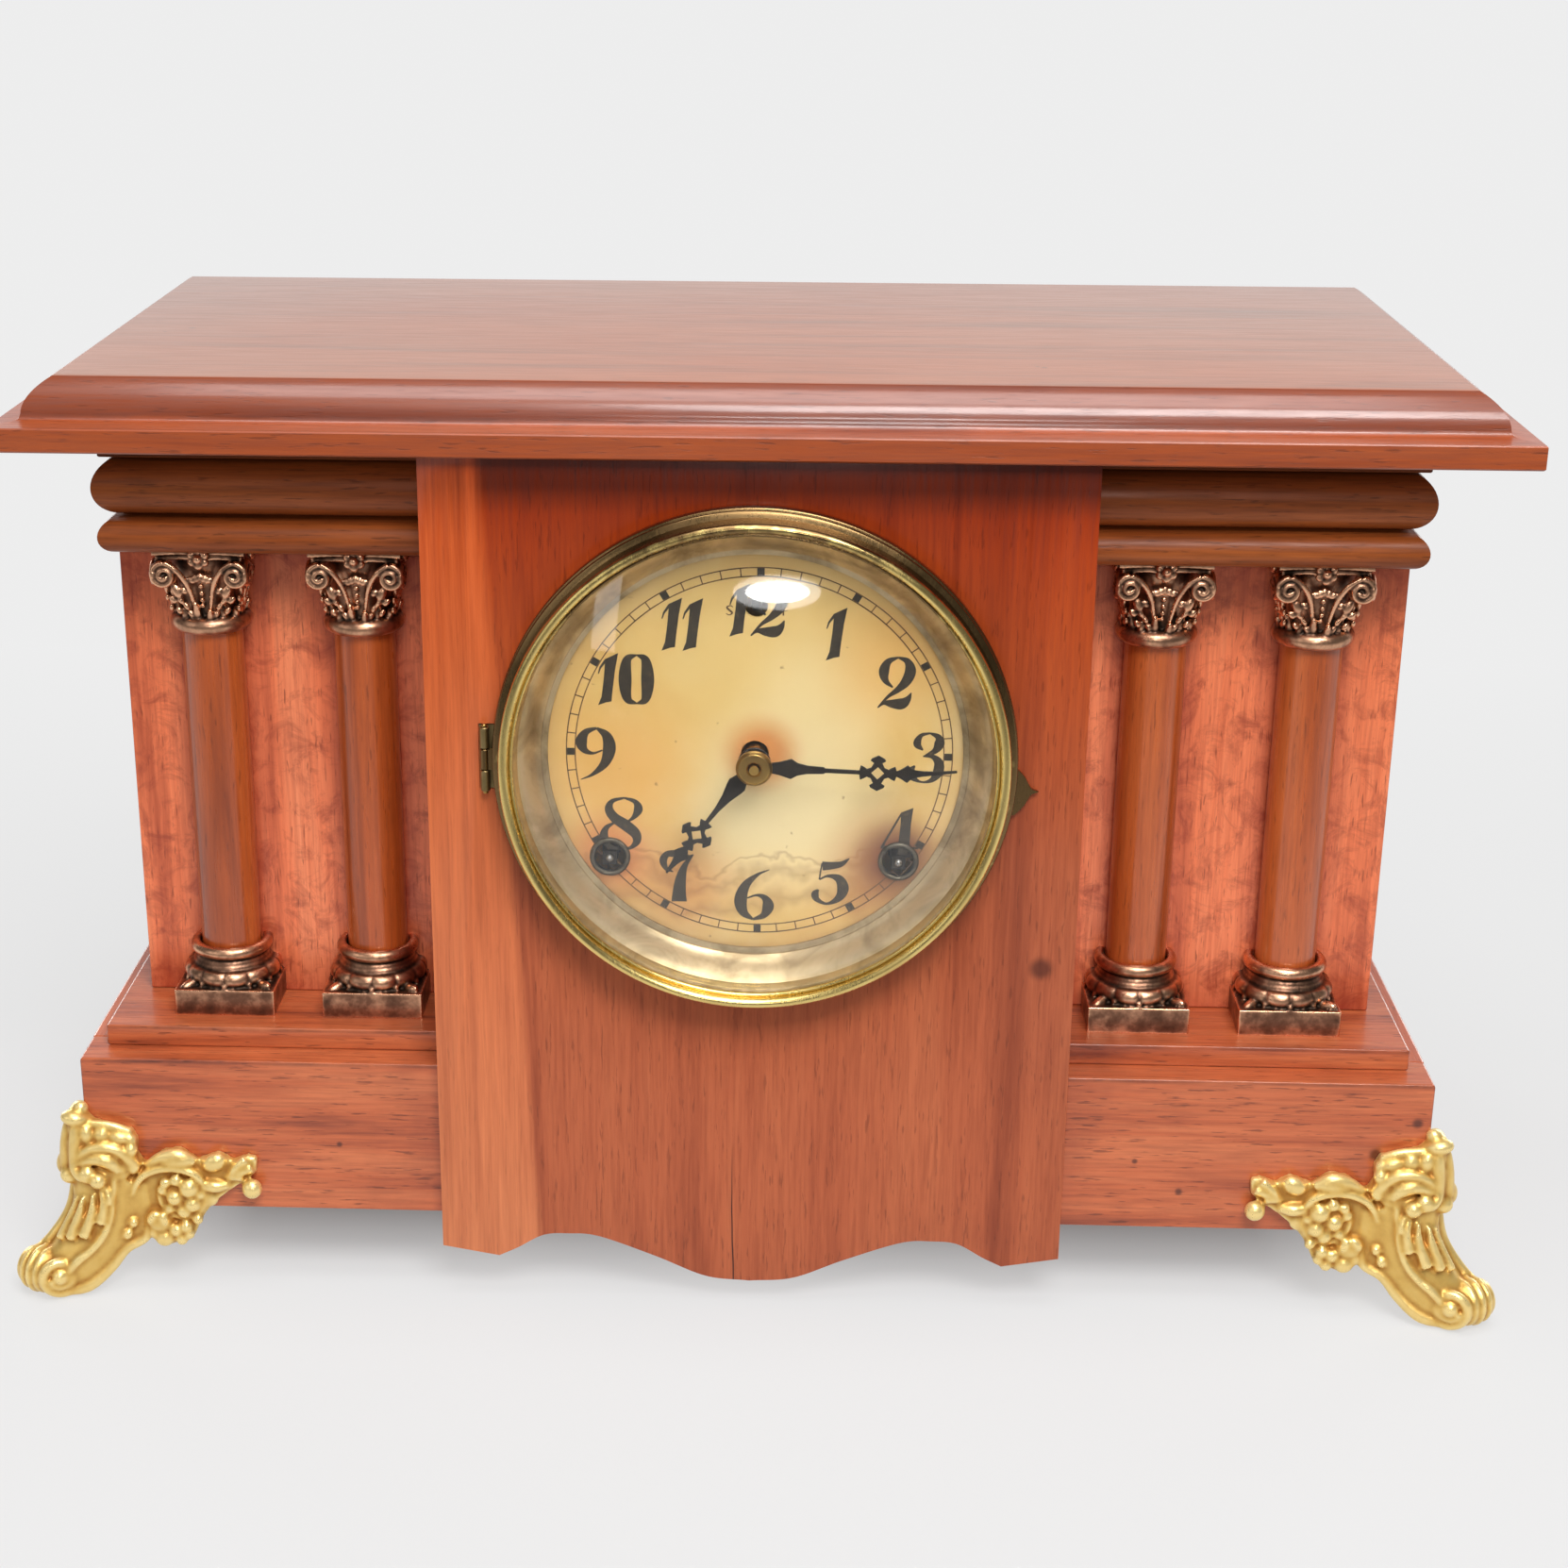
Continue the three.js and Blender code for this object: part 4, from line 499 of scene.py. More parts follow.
# %% Cast and rolled metals
def cast_metal(name, shades, rough, metallic, speck):
    """Shades run hollow, field, crest."""
    finish, skin, coords = new_finish(name)
    hollow, field, crest = (srgb(*shade) for shade in shades)
    relief = add_node(finish.node_tree, "ShaderNodeAttribute", attribute_name="relief").outputs["Fac"]
    patch = noise(coords, 160, 4, 0.6)
    fine = noise(coords, 1400, 3, 0.6)
    height = plus(relief, fit(patch, 0.3, 0.7, -speck, speck))
    colour = ramp(fit(height, -1.0, 1.0), [(0.2, hollow), (0.5, field), (0.8, crest)])
    shine = plus(fit(height, -1.0, 1.0, rough + 0.16, rough - 0.1), fit(fine, 0.3, 0.7, -0.05, 0.05))
    feed(skin, {"Base Color": colour, "Metallic": metallic, "Roughness": shine})
    dent(skin, fine, 0.00008, 0.5)
    return finish


def rolled_metal(name, colour, tarnish, rough, share=0.5, scale=45.0, metallic=1.0):
    """Sheet, wire or turned metal: one colour with cloudy tarnish and fine scratches."""
    finish, skin, coords = new_finish(name)
    cloud = noise(coords, scale, 5, 0.62, 0.6)
    fine = noise(stretched(coords, (1, 1, 0.2)), 1800, 3, 0.6)
    worn = fit(cloud, 0.42, 0.7, 0.0, share)
    shine = plus(fit(cloud, 0.35, 0.75, rough, rough + 0.18), fit(fine, 0.3, 0.7, -0.04, 0.04))
    feed(skin, {"Base Color": mix(worn, srgb(*colour), srgb(*tarnish)), "Metallic": metallic, "Roughness": shine})
    dent(skin, fine, 0.00003, 0.3)
    return finish


def bezel_finish(edge_y):
    """Spun brass; its flange, behind edge_y, has gone brown, and the roll stays bright; the brown is painted further in
    at the top and less far at the bottom, as painted shade.
    """
    finish = rolled_metal("bezel_brass", (228, 202, 128), (178, 148, 86), 0.2, 0.4)
    skin, coords, worn = reopen(finish)
    place = axes(coords)
    middle = DIAL_Z * MM
    depth = plus(place["Y"], fit(noise(coords, 220, 3), 0.3, 0.7, -0.0008, 0.0008))
    # Painted shade: the brown reaches further in towards the top and less far at the bottom, so the upper side reads
    # darker.
    depth = plus(depth, fit(place["Z"], middle, middle + 0.07, -0.0010, 0.0052))
    brown = fit(depth, edge_y - 0.0006, edge_y + 0.0008, 0.0, 0.88)
    feed(skin, {"Base Color": mix(brown, worn, srgb(100, 72, 50))})
    return finish


gilt = cast_metal("gilt", ((176, 122, 50), (224, 184, 100), (246, 218, 146)), 0.36, 0.6, 0.12)
copper_bronze = cast_metal("copper_bronze", ((52, 41, 34), (134, 98, 78), (228, 174, 138)), 0.34, 1.0, 0.4)
bezel_brass = bezel_finish(at(0, -8.4, 0).y)
brass = rolled_metal("brass", (184, 150, 86), (116, 84, 46), 0.24, 0.6)
old_brass = rolled_metal("old_brass", (160, 138, 96), (104, 88, 52), 0.34, 0.8, 60)
hazy_brass = rolled_metal("hazy_brass", (202, 180, 142), (132, 110, 74), 0.36, 0.9, 60, 0.8)
movement_brass = rolled_metal("movement_brass", (204, 166, 92), (150, 108, 56), 0.3, 0.6, 80)
black_steel = rolled_metal("black_steel", (42, 38, 36), (70, 62, 54), 0.42, 0.5, 120, 0.6)
steel = rolled_metal("steel", (176, 176, 178), (110, 108, 104), 0.26, 0.5, 120)
dark_steel = rolled_metal("dark_steel", (66, 62, 58), (40, 36, 32), 0.34, 0.6, 160)
blue_steel = rolled_metal("blue_steel", (64, 70, 92), (96, 84, 72), 0.3, 0.6, 90)
grommet_tin = rolled_metal("grommet_tin", (112, 106, 94), (74, 66, 52), 0.46, 0.7, 300)
tin = rolled_metal("tin", (150, 148, 142), (104, 88, 70), 0.4, 0.7, 30)
print("metals:", gilt.name, copper_bronze.name, brass.name, old_brass.name, "and", tin.name)

# %% [markdown]
# The dial is printed paper on a zinc disc, a century old. Heat and oil have browned it: an
# orange glow round the arbor, a brown ring at the right winding hole, a paler patch low down
# and tide lines from damp. Soft spots and a wandering line of noise draw all of that.

# %% Dial paper
STAINS = [
    ((0.0, 0, 0.030), 0.006, 0.052, (230, 198, 128), 0.8),
    ((0.010, 0, -0.016), 0.010, 0.042, (240, 220, 168), 0.9),
    ((0.020, 0, 0.016), 0.006, 0.030, (238, 214, 158), 0.7),
    ((-0.040, 0, -0.006), 0.004, 0.032, (228, 172, 92), 0.75),
    ((-0.022, 0, -0.042), 0.002, 0.024, (206, 142, 82), 0.75),
    ((0.002, 0, 0.000), 0.004, 0.015, (206, 124, 52), 0.85),
    ((-0.0437, 0, -0.0336), 0.004, 0.019, (206, 122, 70), 0.85),
    ((0.0400, 0, -0.0360), 0.002, 0.027, (176, 110, 66), 0.75),
    ((0.0437, 0, -0.0336), 0.004, 0.018, (112, 58, 34), 0.95),
    ((0.040, 0, 0.028), 0.002, 0.028, (230, 176, 96), 0.6)]
TIDE_LINES = [(-0.034, 0.0010, 0.38), (-0.0385, 0.0030, 0.36), (-0.047, 0.0045, 0.38)]


def dial_paper():
    finish, skin, coords = new_finish("dial_cream")
    home = stretched(coords, shift=(0, -(PANEL_Y + dial_low.y * MM), -DIAL_Z * MM))
    cloud = noise(home, 26, 5, 0.6, 0.4)
    fine = noise(home, 900, 4, 0.65)
    paper = ramp(cloud, [(0.3, srgb(214, 168, 92)), (0.5, srgb(224, 186, 112)), (0.72, srgb(230, 202, 142))])
    for place, inner, outer, colour, share in STAINS:
        paper = mix(times(spot(home, place, inner, outer), share), paper, srgb(*colour))
    low = plus(axes(home)["Z"], fit(noise(home, 34, 4, 0.6), 0.2, 0.8, -0.012, 0.012))
    for height, width, share in TIDE_LINES:
        paper = mix(fit(apart(low, height), 0, width, share, 0), paper, srgb(150, 92, 44))
    specks = fit(noise(home, 320, 2, 0.5), 0.74, 0.8, 0.0, 0.6)
    paper = mix(specks, paper, srgb(150, 104, 60))
    radius = after("ShaderNodeVectorMath", {0: home}, operation="LENGTH").outputs["Value"]
    paper = mix(fit(radius, 0.055, 0.066, 0.0, 0.45), paper, srgb(196, 156, 104))
    feed(skin, {"Base Color": paper, "Roughness": fit(fine, 0.3, 0.7, 0.5, 0.7)})
    dent(skin, fine, 0.00003, 0.4)
    return finish


dial_cream = dial_paper()
print("dial paper has", len(dial_cream.node_tree.nodes), "nodes")

# %% [markdown]
# The glass is a little smeared. Shadow rays pass straight through it and lose some light, or
# the dial behind would stay black. The ink has worn paler in places: nearly black for the
# numerals, brown for the finer printing.

# %% Glass and ink
def window_glass():
    finish, skin, coords = new_finish("clear_glass")
    smear = noise(coords, 30, 3, 0.6, 0.8)
    feed(skin, {
        "Roughness": fit(smear, 0.4, 0.85, 0.02, 0.06), "Transmission Weight": 1.0, "IOR": 1.45,
        "Base Color": ramp(smear, [(0.3, (1, 1, 1, 1)), (0.8, srgb(250, 250, 246))])})
    tree = finish.node_tree
    passing = add_node(tree, "ShaderNodeBsdfTransparent", {"Color": (0.58, 0.58, 0.58, 1)})
    blend_surface(tree.nodes.new("ShaderNodeLightPath").outputs["Is Shadow Ray"], skin, passing)
    return finish


def printed_ink(name, scale, *shades):
    """Shades run from full ink to worn."""
    finish, skin, coords = new_finish(name)
    wear = noise(coords, scale, 4, 0.65)
    colour = ramp(wear, [(place, srgb(*shade)) for place, shade in zip((0.35, 0.62, 0.8), shades)])
    feed(skin, {"Base Color": colour, "Roughness": fit(wear, 0.3, 0.7, 0.5, 0.66)})
    return finish


clear_glass = window_glass()
ink = printed_ink("dial_ink", 500, (48, 41, 33), (64, 55, 43), (112, 92, 62))
brown_ink = printed_ink("track_ink", 260, (84, 58, 36), (112, 80, 48), (170, 130, 78))
print("glass and two inks:", clear_glass.name, ink.name, brown_ink.name)

# %% [markdown]
# Meshes are made with bmesh in clock millimetres and moved to the frame at the very end, when
# doubles are merged and normals recalculated. A finished mesh becomes a piece: it gets its
# metal or wood, rides on a body and may stand in for a CAD node.

# %% From bmesh to a piece of the clock
def finished_mesh(name, bm, sharp=38, weld=0.002):
    """Merge doubles, turn faces outwards, move to the frame and shade smooth between sharp edges."""
    bmesh.ops.remove_doubles(bm, verts=bm.verts, dist=weld)
    bmesh.ops.dissolve_degenerate(bm, edges=bm.edges, dist=weld / 2)
    bmesh.ops.recalc_face_normals(bm, faces=bm.faces)
    for vert in bm.verts:
        vert.co = at(*vert.co)
    mesh = bpy.data.meshes.new(name)
    bm.to_mesh(mesh)
    bm.free()
    mesh.shade_smooth()
    mesh.set_sharp_from_angle(angle=math.radians(sharp))
    return mesh


def piece(mesh, finish, body="case", stands_for=()):
    """Link a finished mesh as a piece of the clock and tell the frame where it belongs."""
    obj = bpy.data.objects.new(mesh.name, mesh)
    scene.collection.objects.link(obj)
    mesh.materials.clear()
    mesh.materials.append(finish)
    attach(obj, body)
    if stands_for:
        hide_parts(*stands_for)


def join_into(bm, part, turn=Matrix()):
    """Add one bmesh to another, turned on the way, and let it go."""
    bmesh.ops.transform(part, matrix=turn, verts=part.verts)
    joined = bpy.data.meshes.new("part")
    part.to_mesh(joined)
    part.free()
    bm.from_mesh(joined)
    bpy.data.meshes.remove(joined)


print("a piece rides on case unless another body is named")

# %% [markdown]
# Most round things here are turned: a list of (radius, along) points spun about an axis, as on
# a lathe. Other shapes are lofted, skinned over rows of points. A profile often needs a piece
# of an arc, and a row of control points often has to become a flowing curve.

# %% Turning and lofting
def turned(bm, profile, centre, axis, sides=96, closed=True, wave=None):
    """Turn (radius, along) points about an axis through centre; wave(index, angle) scales the radius."""
    rings = []
    for index, (radius, along) in enumerate(profile):
        ring = []
        for k in range(sides if radius > 1e-6 else 1):
            angle = 2 * math.pi * k / sides
            reach = radius * (wave(index, angle) if wave else 1)
            u, v = reach * math.cos(angle), reach * math.sin(angle)
            place = (u, along, v) if axis == "Y" else (u, v, along)
            ring.append(bm.verts.new(Vector(centre) + Vector(place)))
        rings.append(ring)
    pairs = list(zip(rings, rings[1:]))
    if closed:
        pairs.append((rings[-1], rings[0]))
    for one, two in pairs:
        for k in range(sides):
            corners = [one[k % len(one)], one[(k + 1) % len(one)], two[(k + 1) % len(two)], two[k % len(two)]]
            unique = list(dict.fromkeys(corners))
            if len(unique) > 2:
                bm.faces.new(unique)


def turned_mesh(name, profile, centre, axis, sides, closed=True, sharp=38):
    """A finished mesh of one turned profile."""
    bm = bmesh.new()
    turned(bm, profile, centre, axis, sides, closed)
    return finished_mesh(name, bm, sharp)


def loft(bm, rows, turn_caps=False):
    """Skin closed rows of points, all of one length, and cap both ends."""
    for one, two in zip(rows, rows[1:]):
        for k in range(len(one)):
            after_k = (k + 1) % len(one)
            bm.faces.new((one[k], one[after_k], two[after_k], two[k]))
    step = 1 if turn_caps else -1
    bm.faces.new(rows[0][::step])
    bm.faces.new(rows[-1][::-step])


def arc(cx, cy, radius, start, end, count):
    """Points on an arc, angles in degrees."""
    return [(cx + radius * math.cos(math.radians(a)), cy + radius * math.sin(math.radians(a)))
            for a in np.linspace(start, end, count)]


def smooth_path(points, count):
    """A flowing curve through control points (any number of values each)."""
    values = np.array(points, float)
    values = np.vstack([2 * values[0] - values[1], values, 2 * values[-1] - values[-2]])
    out = []
    for t in np.linspace(0, len(points) - 1, count):
        i = min(int(t), len(points) - 2)
        f = t - i
        a, b, c, d = values[i:i + 4]
        out.append(0.5 * (2 * b + (c - a) * f + (2 * a - 5 * b + 4 * c - d) * f * f
                          + (3 * b - a - 3 * c + d) * f ** 3))
    return out


print("an arc of three points:", [(round(x), round(y)) for x, y in arc(0, 0, 10, 0, 90, 3)])

# %% [markdown]
# Flat work is cut as a plate with holes. Soft work, for the castings, is laid up from rods along
# a path, eggs and plain blocks, which may overlap as they like.

# %% Plates, rods, eggs and blocks
def ring_points(x, z, radius, count=96):
    return [(x + radius * math.cos(a), z + radius * math.sin(a))
            for a in (2 * math.pi * k / count for k in range(count))]


def flat_plate(bm, outline, holes, front, back):
    """A plate in the x-z plane with holes, between two depths."""
    faces = []
    for depth in (front, back):
        edges = []
        for loop in [outline, *holes]:
            verts = [bm.verts.new((x, depth, z)) for x, z in loop]
            edges.append([bm.edges.new((a, b)) for a, b in zip(verts, verts[1:] + verts[:1])])
        bmesh.ops.triangle_fill(bm, use_beauty=True, edges=[e for loop in edges for e in loop])
        faces.append(edges)
    for near, far in zip(*faces):
        for a, b in zip(near, far):
            bm.faces.new((a.verts[0], a.verts[1], b.verts[1], b.verts[0]))


def rod(bm, path, radii, sides=10, count=None):
    """A round rod along a path; radii is one number or one per control point."""
    if np.isscalar(radii):
        radii = [radii] * len(path)
    line = smooth_path([(*p, r) for p, r in zip(path, radii)], count or 6 * (len(path) - 1) + 1)
    points = [Vector(p[:3]) for p in line]
    rings = []
    side = None
    for i, p in enumerate(points):
        along = (points[min(i + 1, len(points) - 1)] - points[max(i - 1, 0)]).normalized()
        if side is None:
            side = along.orthogonal().normalized()
        side = (side - along * side.dot(along)).normalized()
        other = along.cross(side)
        r = max(line[i][3], 0.02)
        rings.append([bm.verts.new(p + side * (r * math.cos(a)) + other * (r * math.sin(a)))
                      for a in (2 * math.pi * k / sides for k in range(sides))])
    loft(bm, rings)


def lump(bm, centre, radii, turn=(0, 0, 0), detail=3):
    """A soft egg of metal, turned by angles in degrees about x, then y, then z."""
    about_x, about_y, about_z = (Matrix.Rotation(math.radians(a), 4, axis) for a, axis in zip(turn, "XYZ"))
    shape = Matrix.Translation(centre) @ about_z @ about_y @ about_x @ Matrix.Diagonal((*radii, 1))
    bmesh.ops.create_icosphere(bm, subdivisions=detail, radius=1, matrix=shape)


def block(bm, low, high):
    size = [b - a for a, b in zip(low, high)]
    middle = [(a + b) / 2 for a, b in zip(low, high)]
    bmesh.ops.create_cube(bm, size=1, matrix=Matrix.Translation(middle) @ Matrix.Diagonal((*size, 1)))


print("a ring of", len(ring_points(0, 0, 1)), "points is the usual hole")

# %% [markdown]
# Modifiers do the heavier work. They are put on a helper object, and the evaluated result is
# kept as a plain mesh. A Boolean cuts one mesh out of another. For a casting a voxel Remesh
# melts all lumps into one skin, a Smooth takes off the steps, and the relief is measured from
# the result: how far each point stands out of the average of its neighbours.

# %% Modifiers and castings
def kept_result(obj, name):
    """What an object looks like after its modifiers, as a new mesh; the object is removed."""
    source = obj.data
    bpy.context.view_layer.update()
    made = bpy.data.meshes.new_from_object(obj.evaluated_get(bpy.context.evaluated_depsgraph_get()))
    bpy.data.objects.remove(obj)
    bpy.data.meshes.remove(source)
    made.name = name
    return made


def linked_object(name, mesh):
    obj = bpy.data.objects.new(name, mesh)
    scene.collection.objects.link(obj)
    return obj


def with_modifiers(mesh, *steps):
    """Apply modifiers to a mesh through a helper object and give the new mesh."""
    helper = linked_object("helper", mesh)
    for kind, settings in steps:
        step = helper.modifiers.new(kind, kind)
        for key, value in settings.items():
            setattr(step, key, value)
    return kept_result(helper, mesh.name)


def soft_edge(width, angle):
    """A fine bevel, its width in metres, on edges sharper than an angle in degrees."""
    return ("BEVEL", {"width": width, "segments": 2, "limit_method": "ANGLE", "angle_limit": math.radians(angle)})


def cut_away(mesh, cutter, *more):
    """Cut a bmesh out of a mesh and apply any further modifiers."""
    tool = linked_object("cutter", finished_mesh("cutter", cutter))
    made = with_modifiers(mesh, ("BOOLEAN", {"operation": "DIFFERENCE", "solver": "EXACT", "object": tool}), *more)
    bpy.data.objects.remove(tool)
    return made


def store_relief(mesh, gain):
    """Keep how proud each point stands of its neighbours in an attribute named relief."""
    count = len(mesh.vertices)
    co = np.empty(count * 3)
    mesh.vertices.foreach_get("co", co)
    co = co.reshape(-1, 3)
    normal = np.array([v.normal for v in mesh.vertices])
    ends = np.empty(len(mesh.edges) * 2, int)
    mesh.edges.foreach_get("vertices", ends)
    a, b = ends[0::2], ends[1::2]
    valence = np.maximum(np.bincount(ends, minlength=count), 1)

    def gathered(values):
        total = np.zeros_like(values)
        np.add.at(total, a, values[b])
        np.add.at(total, b, values[a])
        return total / (valence if values.ndim == 1 else valence[:, None])

    spread = np.linalg.norm(co[a] - co[b], axis=1).mean()
    wide = co
    for _ in range(6):
        wide = gathered(wide)
    proud = ((co - wide) * normal).sum(1) / spread * gain
    proud = 0.5 * proud + 0.5 * gathered(proud)
    store = mesh.attributes.new("relief", "FLOAT", "POINT")
    store.data.foreach_set("value", np.clip(proud, -1, 1).astype(np.float32))


def cast_mesh(name, bm, voxel, smooth, gain):
    """Melt overlapping lumps into one skin, as a casting is one pour, and store its relief."""
    mesh = bpy.data.meshes.new(name)
    bm.to_mesh(mesh)
    bm.free()
    made = with_modifiers(
        mesh, ("REMESH", {"mode": "VOXEL", "voxel_size": voxel, "use_smooth_shade": True}),
        ("SMOOTH", {"factor": 0.5, "iterations": smooth}))
    store_relief(made, gain)
    return made


print("mesh helpers ready")

# %% [markdown]
# ## The case
# The top board has a moulded edge on three sides: a flat fascia, a hollow, a small step and a
# part of a round that runs out into the flat. The edge is a stack of mitred loops, each inset
# and lifted along the profile, so the mitres at the corners come out by themselves. The back
# stays flush with the wall.

# %% Top board
def top_board():
    low, high = span("top_board")
    rise = high.z - low.z
    fascia, foot, foot_inset, flat_inset = 7.2, 9.3, 8.5, 17.0
    round_end = math.radians(42)
    profile = [(0.5, 0), (0, 0.5), (0, fascia - 0.4), (0.3, fascia)]
    for a in np.linspace(0.25, math.pi / 2, 8):
        profile.append((0.3 + 7.9 * math.sin(a), fascia + 1.7 * (1 - math.cos(a))))
    profile.append((foot_inset - 0.2, foot - 0.2))
    for a in np.linspace(0.03, round_end, 14):
        inset = foot_inset + (flat_inset - foot_inset) * (1 - math.cos(a)) / (1 - math.cos(round_end))
        profile.append((inset, foot + (rise - foot) * math.sin(a) / math.sin(round_end)))
    bm = bmesh.new()
    loops = []
    for inset, lift in profile:
        x, y, z = high.x - inset, low.y + inset, low.z + lift
        loops.append([bm.verts.new(p) for p in ((-x, y, z), (x, y, z), (x, high.y, z), (-x, high.y, z))])
    loft(bm, loops)
    return finished_mesh("top_board_moulded", bm, 30)


piece(top_board(), top_wood, stands_for=["top_board"])
print("top board profile drawn over", [round(c) for c in span("top_board")[1] - span("top_board")[0]], "mm")

# %% [markdown]
# Under the top, each side carries a frieze: a small half round, a big half round and a square
# lip. One profile runs along the front and turns the outer corner. A sweep with three stations,
# inner end, mitre and return, is enough.

# %% Frieze mouldings
def frieze(hand, sign):
    low, high = span(f"frieze_{hand}")
    deep, tall = high.y - low.y, high.z - low.z
    small, big = deep - 6.0, deep - 9.0
    profile = [(0, 0), (small, 0), *arc(small, 5.3, 5.3, -90, 90, 16), (big, 11.4), *arc(big, 20.4, 9.0, -90, 90, 24)]
    profile += [(deep - 2.6, 29.7), (deep - 2.2, 30.1), (deep - 2.2, tall), (0, tall)]
    inner, outer = (low.x, high.x) if sign > 0 else (high.x, low.x)
    end = outer - sign * deep
    bm = bmesh.new()
    stations = []
    for p, lift in profile:
        y, z = high.y - p, low.z + lift
        row = ((inner, y, z), (end + sign * p, y, z), (end + sign * p, high.y, z))
        stations.append([bm.verts.new(q) for q in row])
    for one, two in zip(stations, stations[1:] + stations[:1]):
        for k in range(2):
            bm.faces.new((one[k], one[k + 1], two[k + 1], two[k]))
    for k in (0, 2):
        bm.faces.new([s[k] for s in stations])
    return finished_mesh(f"frieze_{hand}_moulded", bm, 32)


for hand, sign in (("left", -1), ("right", 1)):
    piece(frieze(hand, sign), frieze_wood, stands_for=[f"frieze_{hand}"])
print("friezes run", round(span("frieze_right")[1].x - span("frieze_right")[0].x), "mm to each side")

# %% [markdown]
# The centre panel ends in a scalloped foot between the base boards. Its outline is drawn as
# one flowing curve and filled with the dial opening. A Boolean then sinks the seat for the dial
# and the shallow bed of the hinge leaf, and a fine bevel breaks the edges as sandpaper would.

# %% Centre panel
def center_panel():
    low, high = span("center_panel")
    half, corner = high.x, 18.4
    foot = [(-half + 18, 15.2), (-half + 24, 18.2), (-66, 22.9), (-58, 23.7), (-48, 22.9), (-30, 16.2),
            (-14, 9.4), (0, 8)]
    curve = [tuple(p) for p in smooth_path(foot, 60)]
    scallop = [*curve, *[(-x, z) for x, z in curve[-2::-1]]]
    outline = [(-half, high.z), (-half, corner), *scallop, (half, corner), (half, high.z)]
    opening, seat_radius, seat = 64, 71.6, dial_high.y
    bm = bmesh.new()
    flat_plate(bm, outline, [ring_points(0, DIAL_Z, opening)], low.y, high.y)
    panel = finished_mesh("center_panel_shaped", bm)
    ahead_of_panel, play = -2, 0.3
    cutter = bmesh.new()
    turned(cutter, [(0, ahead_of_panel), (seat_radius, ahead_of_panel), (seat_radius, seat), (0, seat)],
           (0, 0, DIAL_Z), "Y", 128, False)
    leaf_low, leaf_high = span("hinge_leaf")
    block(cutter, (leaf_low.x - play, ahead_of_panel, leaf_low.z - play),
          (leaf_high.x + play, leaf_high.y + 0.1, leaf_high.z + play))
    made = cut_away(panel, cutter, soft_edge(0.0005, 50))
    made.shade_smooth()
    made.set_sharp_from_angle(angle=math.radians(32))
    return made


piece(center_panel(), panel_wood, stands_for=["center_panel"])
print("panel is", round(span("center_panel")[1].x * 2), "mm wide")

# %% [markdown]
# The flat boards keep their CAD solids. A Weld modifier joins their loose triangles and a small
# Bevel rounds the arrises, because a dead sharp edge never catches the light. Only the modifiers
# and the finish are added, so the boards stay exactly where the frame has them.

# %% Flat boards
boards = {
    "base_front": case_wood, "base_left": side_wood, "base_right": side_wood, "step_board": case_wood,
    "side_left": side_wood, "side_right": side_wood, "front_board": red_wood, "back_board": back_wood}


def dress_node(name, finish, bevel=0.0):
    """Give a CAD node its finish, and if asked a welded, softly bevelled edge."""
    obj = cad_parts[name]
    obj.data.materials.clear()
    obj.data.materials.append(finish)
    if bevel:
        weld = obj.modifiers.new("weld", "WELD")
        weld.merge_threshold = 0.00001
        edge = obj.modifiers.new("soft edge", "BEVEL")
        edge.width = bevel * MM
        edge.segments = 2
        edge.limit_method = "ANGLE"
        edge.angle_limit = math.radians(35)
        edge.harden_normals = True


for name, finish in boards.items():
    dress_node(name, finish, 0.8)
print("boards dressed:", len(boards))

# %% [markdown]
# ## Columns
# Each column is a turned wooden shaft between a cast base and a cast capital. All three stand
# half sunk against the front board, so they are cut flat at the recess. The shaft swells
# slightly at its middle as turned columns do.

# %% Column shafts
def cut_at_recess(bm):
    """Slice away what lies behind the recess and close the cut."""
    result = bmesh.ops.bisect_plane(bm, geom=[*bm.verts, *bm.edges, *bm.faces],
                                    plane_co=(0, RECESS, 0), plane_no=(0, 1, 0), clear_outer=True)
    edges = [e for e in result["geom_cut"] if isinstance(e, bmesh.types.BMEdge)]
    bmesh.ops.holes_fill(bm, edges=edges, sides=0)


columns = []
for number in (1, 2, 3, 4):
    low, high = span(f"column_{number}_shaft")
    columns.append(((low.x + high.x) / 2, (low.x + high.x) / 2 - low.x))
shaft_low, shaft_high = span("column_1_shaft")
SHAFT_R = columns[0][1]
COLUMN_Y = shaft_low.y + SHAFT_R


def column_shaft(number, x, radius):
    tall = shaft_high.z - shaft_low.z
    swell = [(radius * (0.985 + 0.015 * math.sin(math.pi * t)), shaft_low.z + t * tall) for t in np.linspace(0, 1, 24)]
    bm = bmesh.new()
    turned(bm, [(0, shaft_low.z), *swell, (0, shaft_high.z)], (x, COLUMN_Y, 0), "Z", 64, False)
    cut_at_recess(bm)
    return finished_mesh(f"column_{number}_turned_shaft", bm)


for number, (x, radius) in enumerate(columns, 1):
    piece(column_shaft(number, x, radius), shaft_wood, stands_for=[f"column_{number}_shaft"])
print("shafts at x", [round(x, 1) for x, _ in columns])

# %% [markdown]
# A column base is a square plinth under a leafy cushion, two thin rings and a cup that holds
# the shaft. The rings are turned. The cushion's radius is waved by the angle, which gives the
# overlapping leaves, and small lumps make the corner spurs and the beads. It is cast once and
# set down at each column.

# %% Column bases
base_low, base_high = span("column_1_base")
PLINTH = (base_high.x - base_low.x) / 2


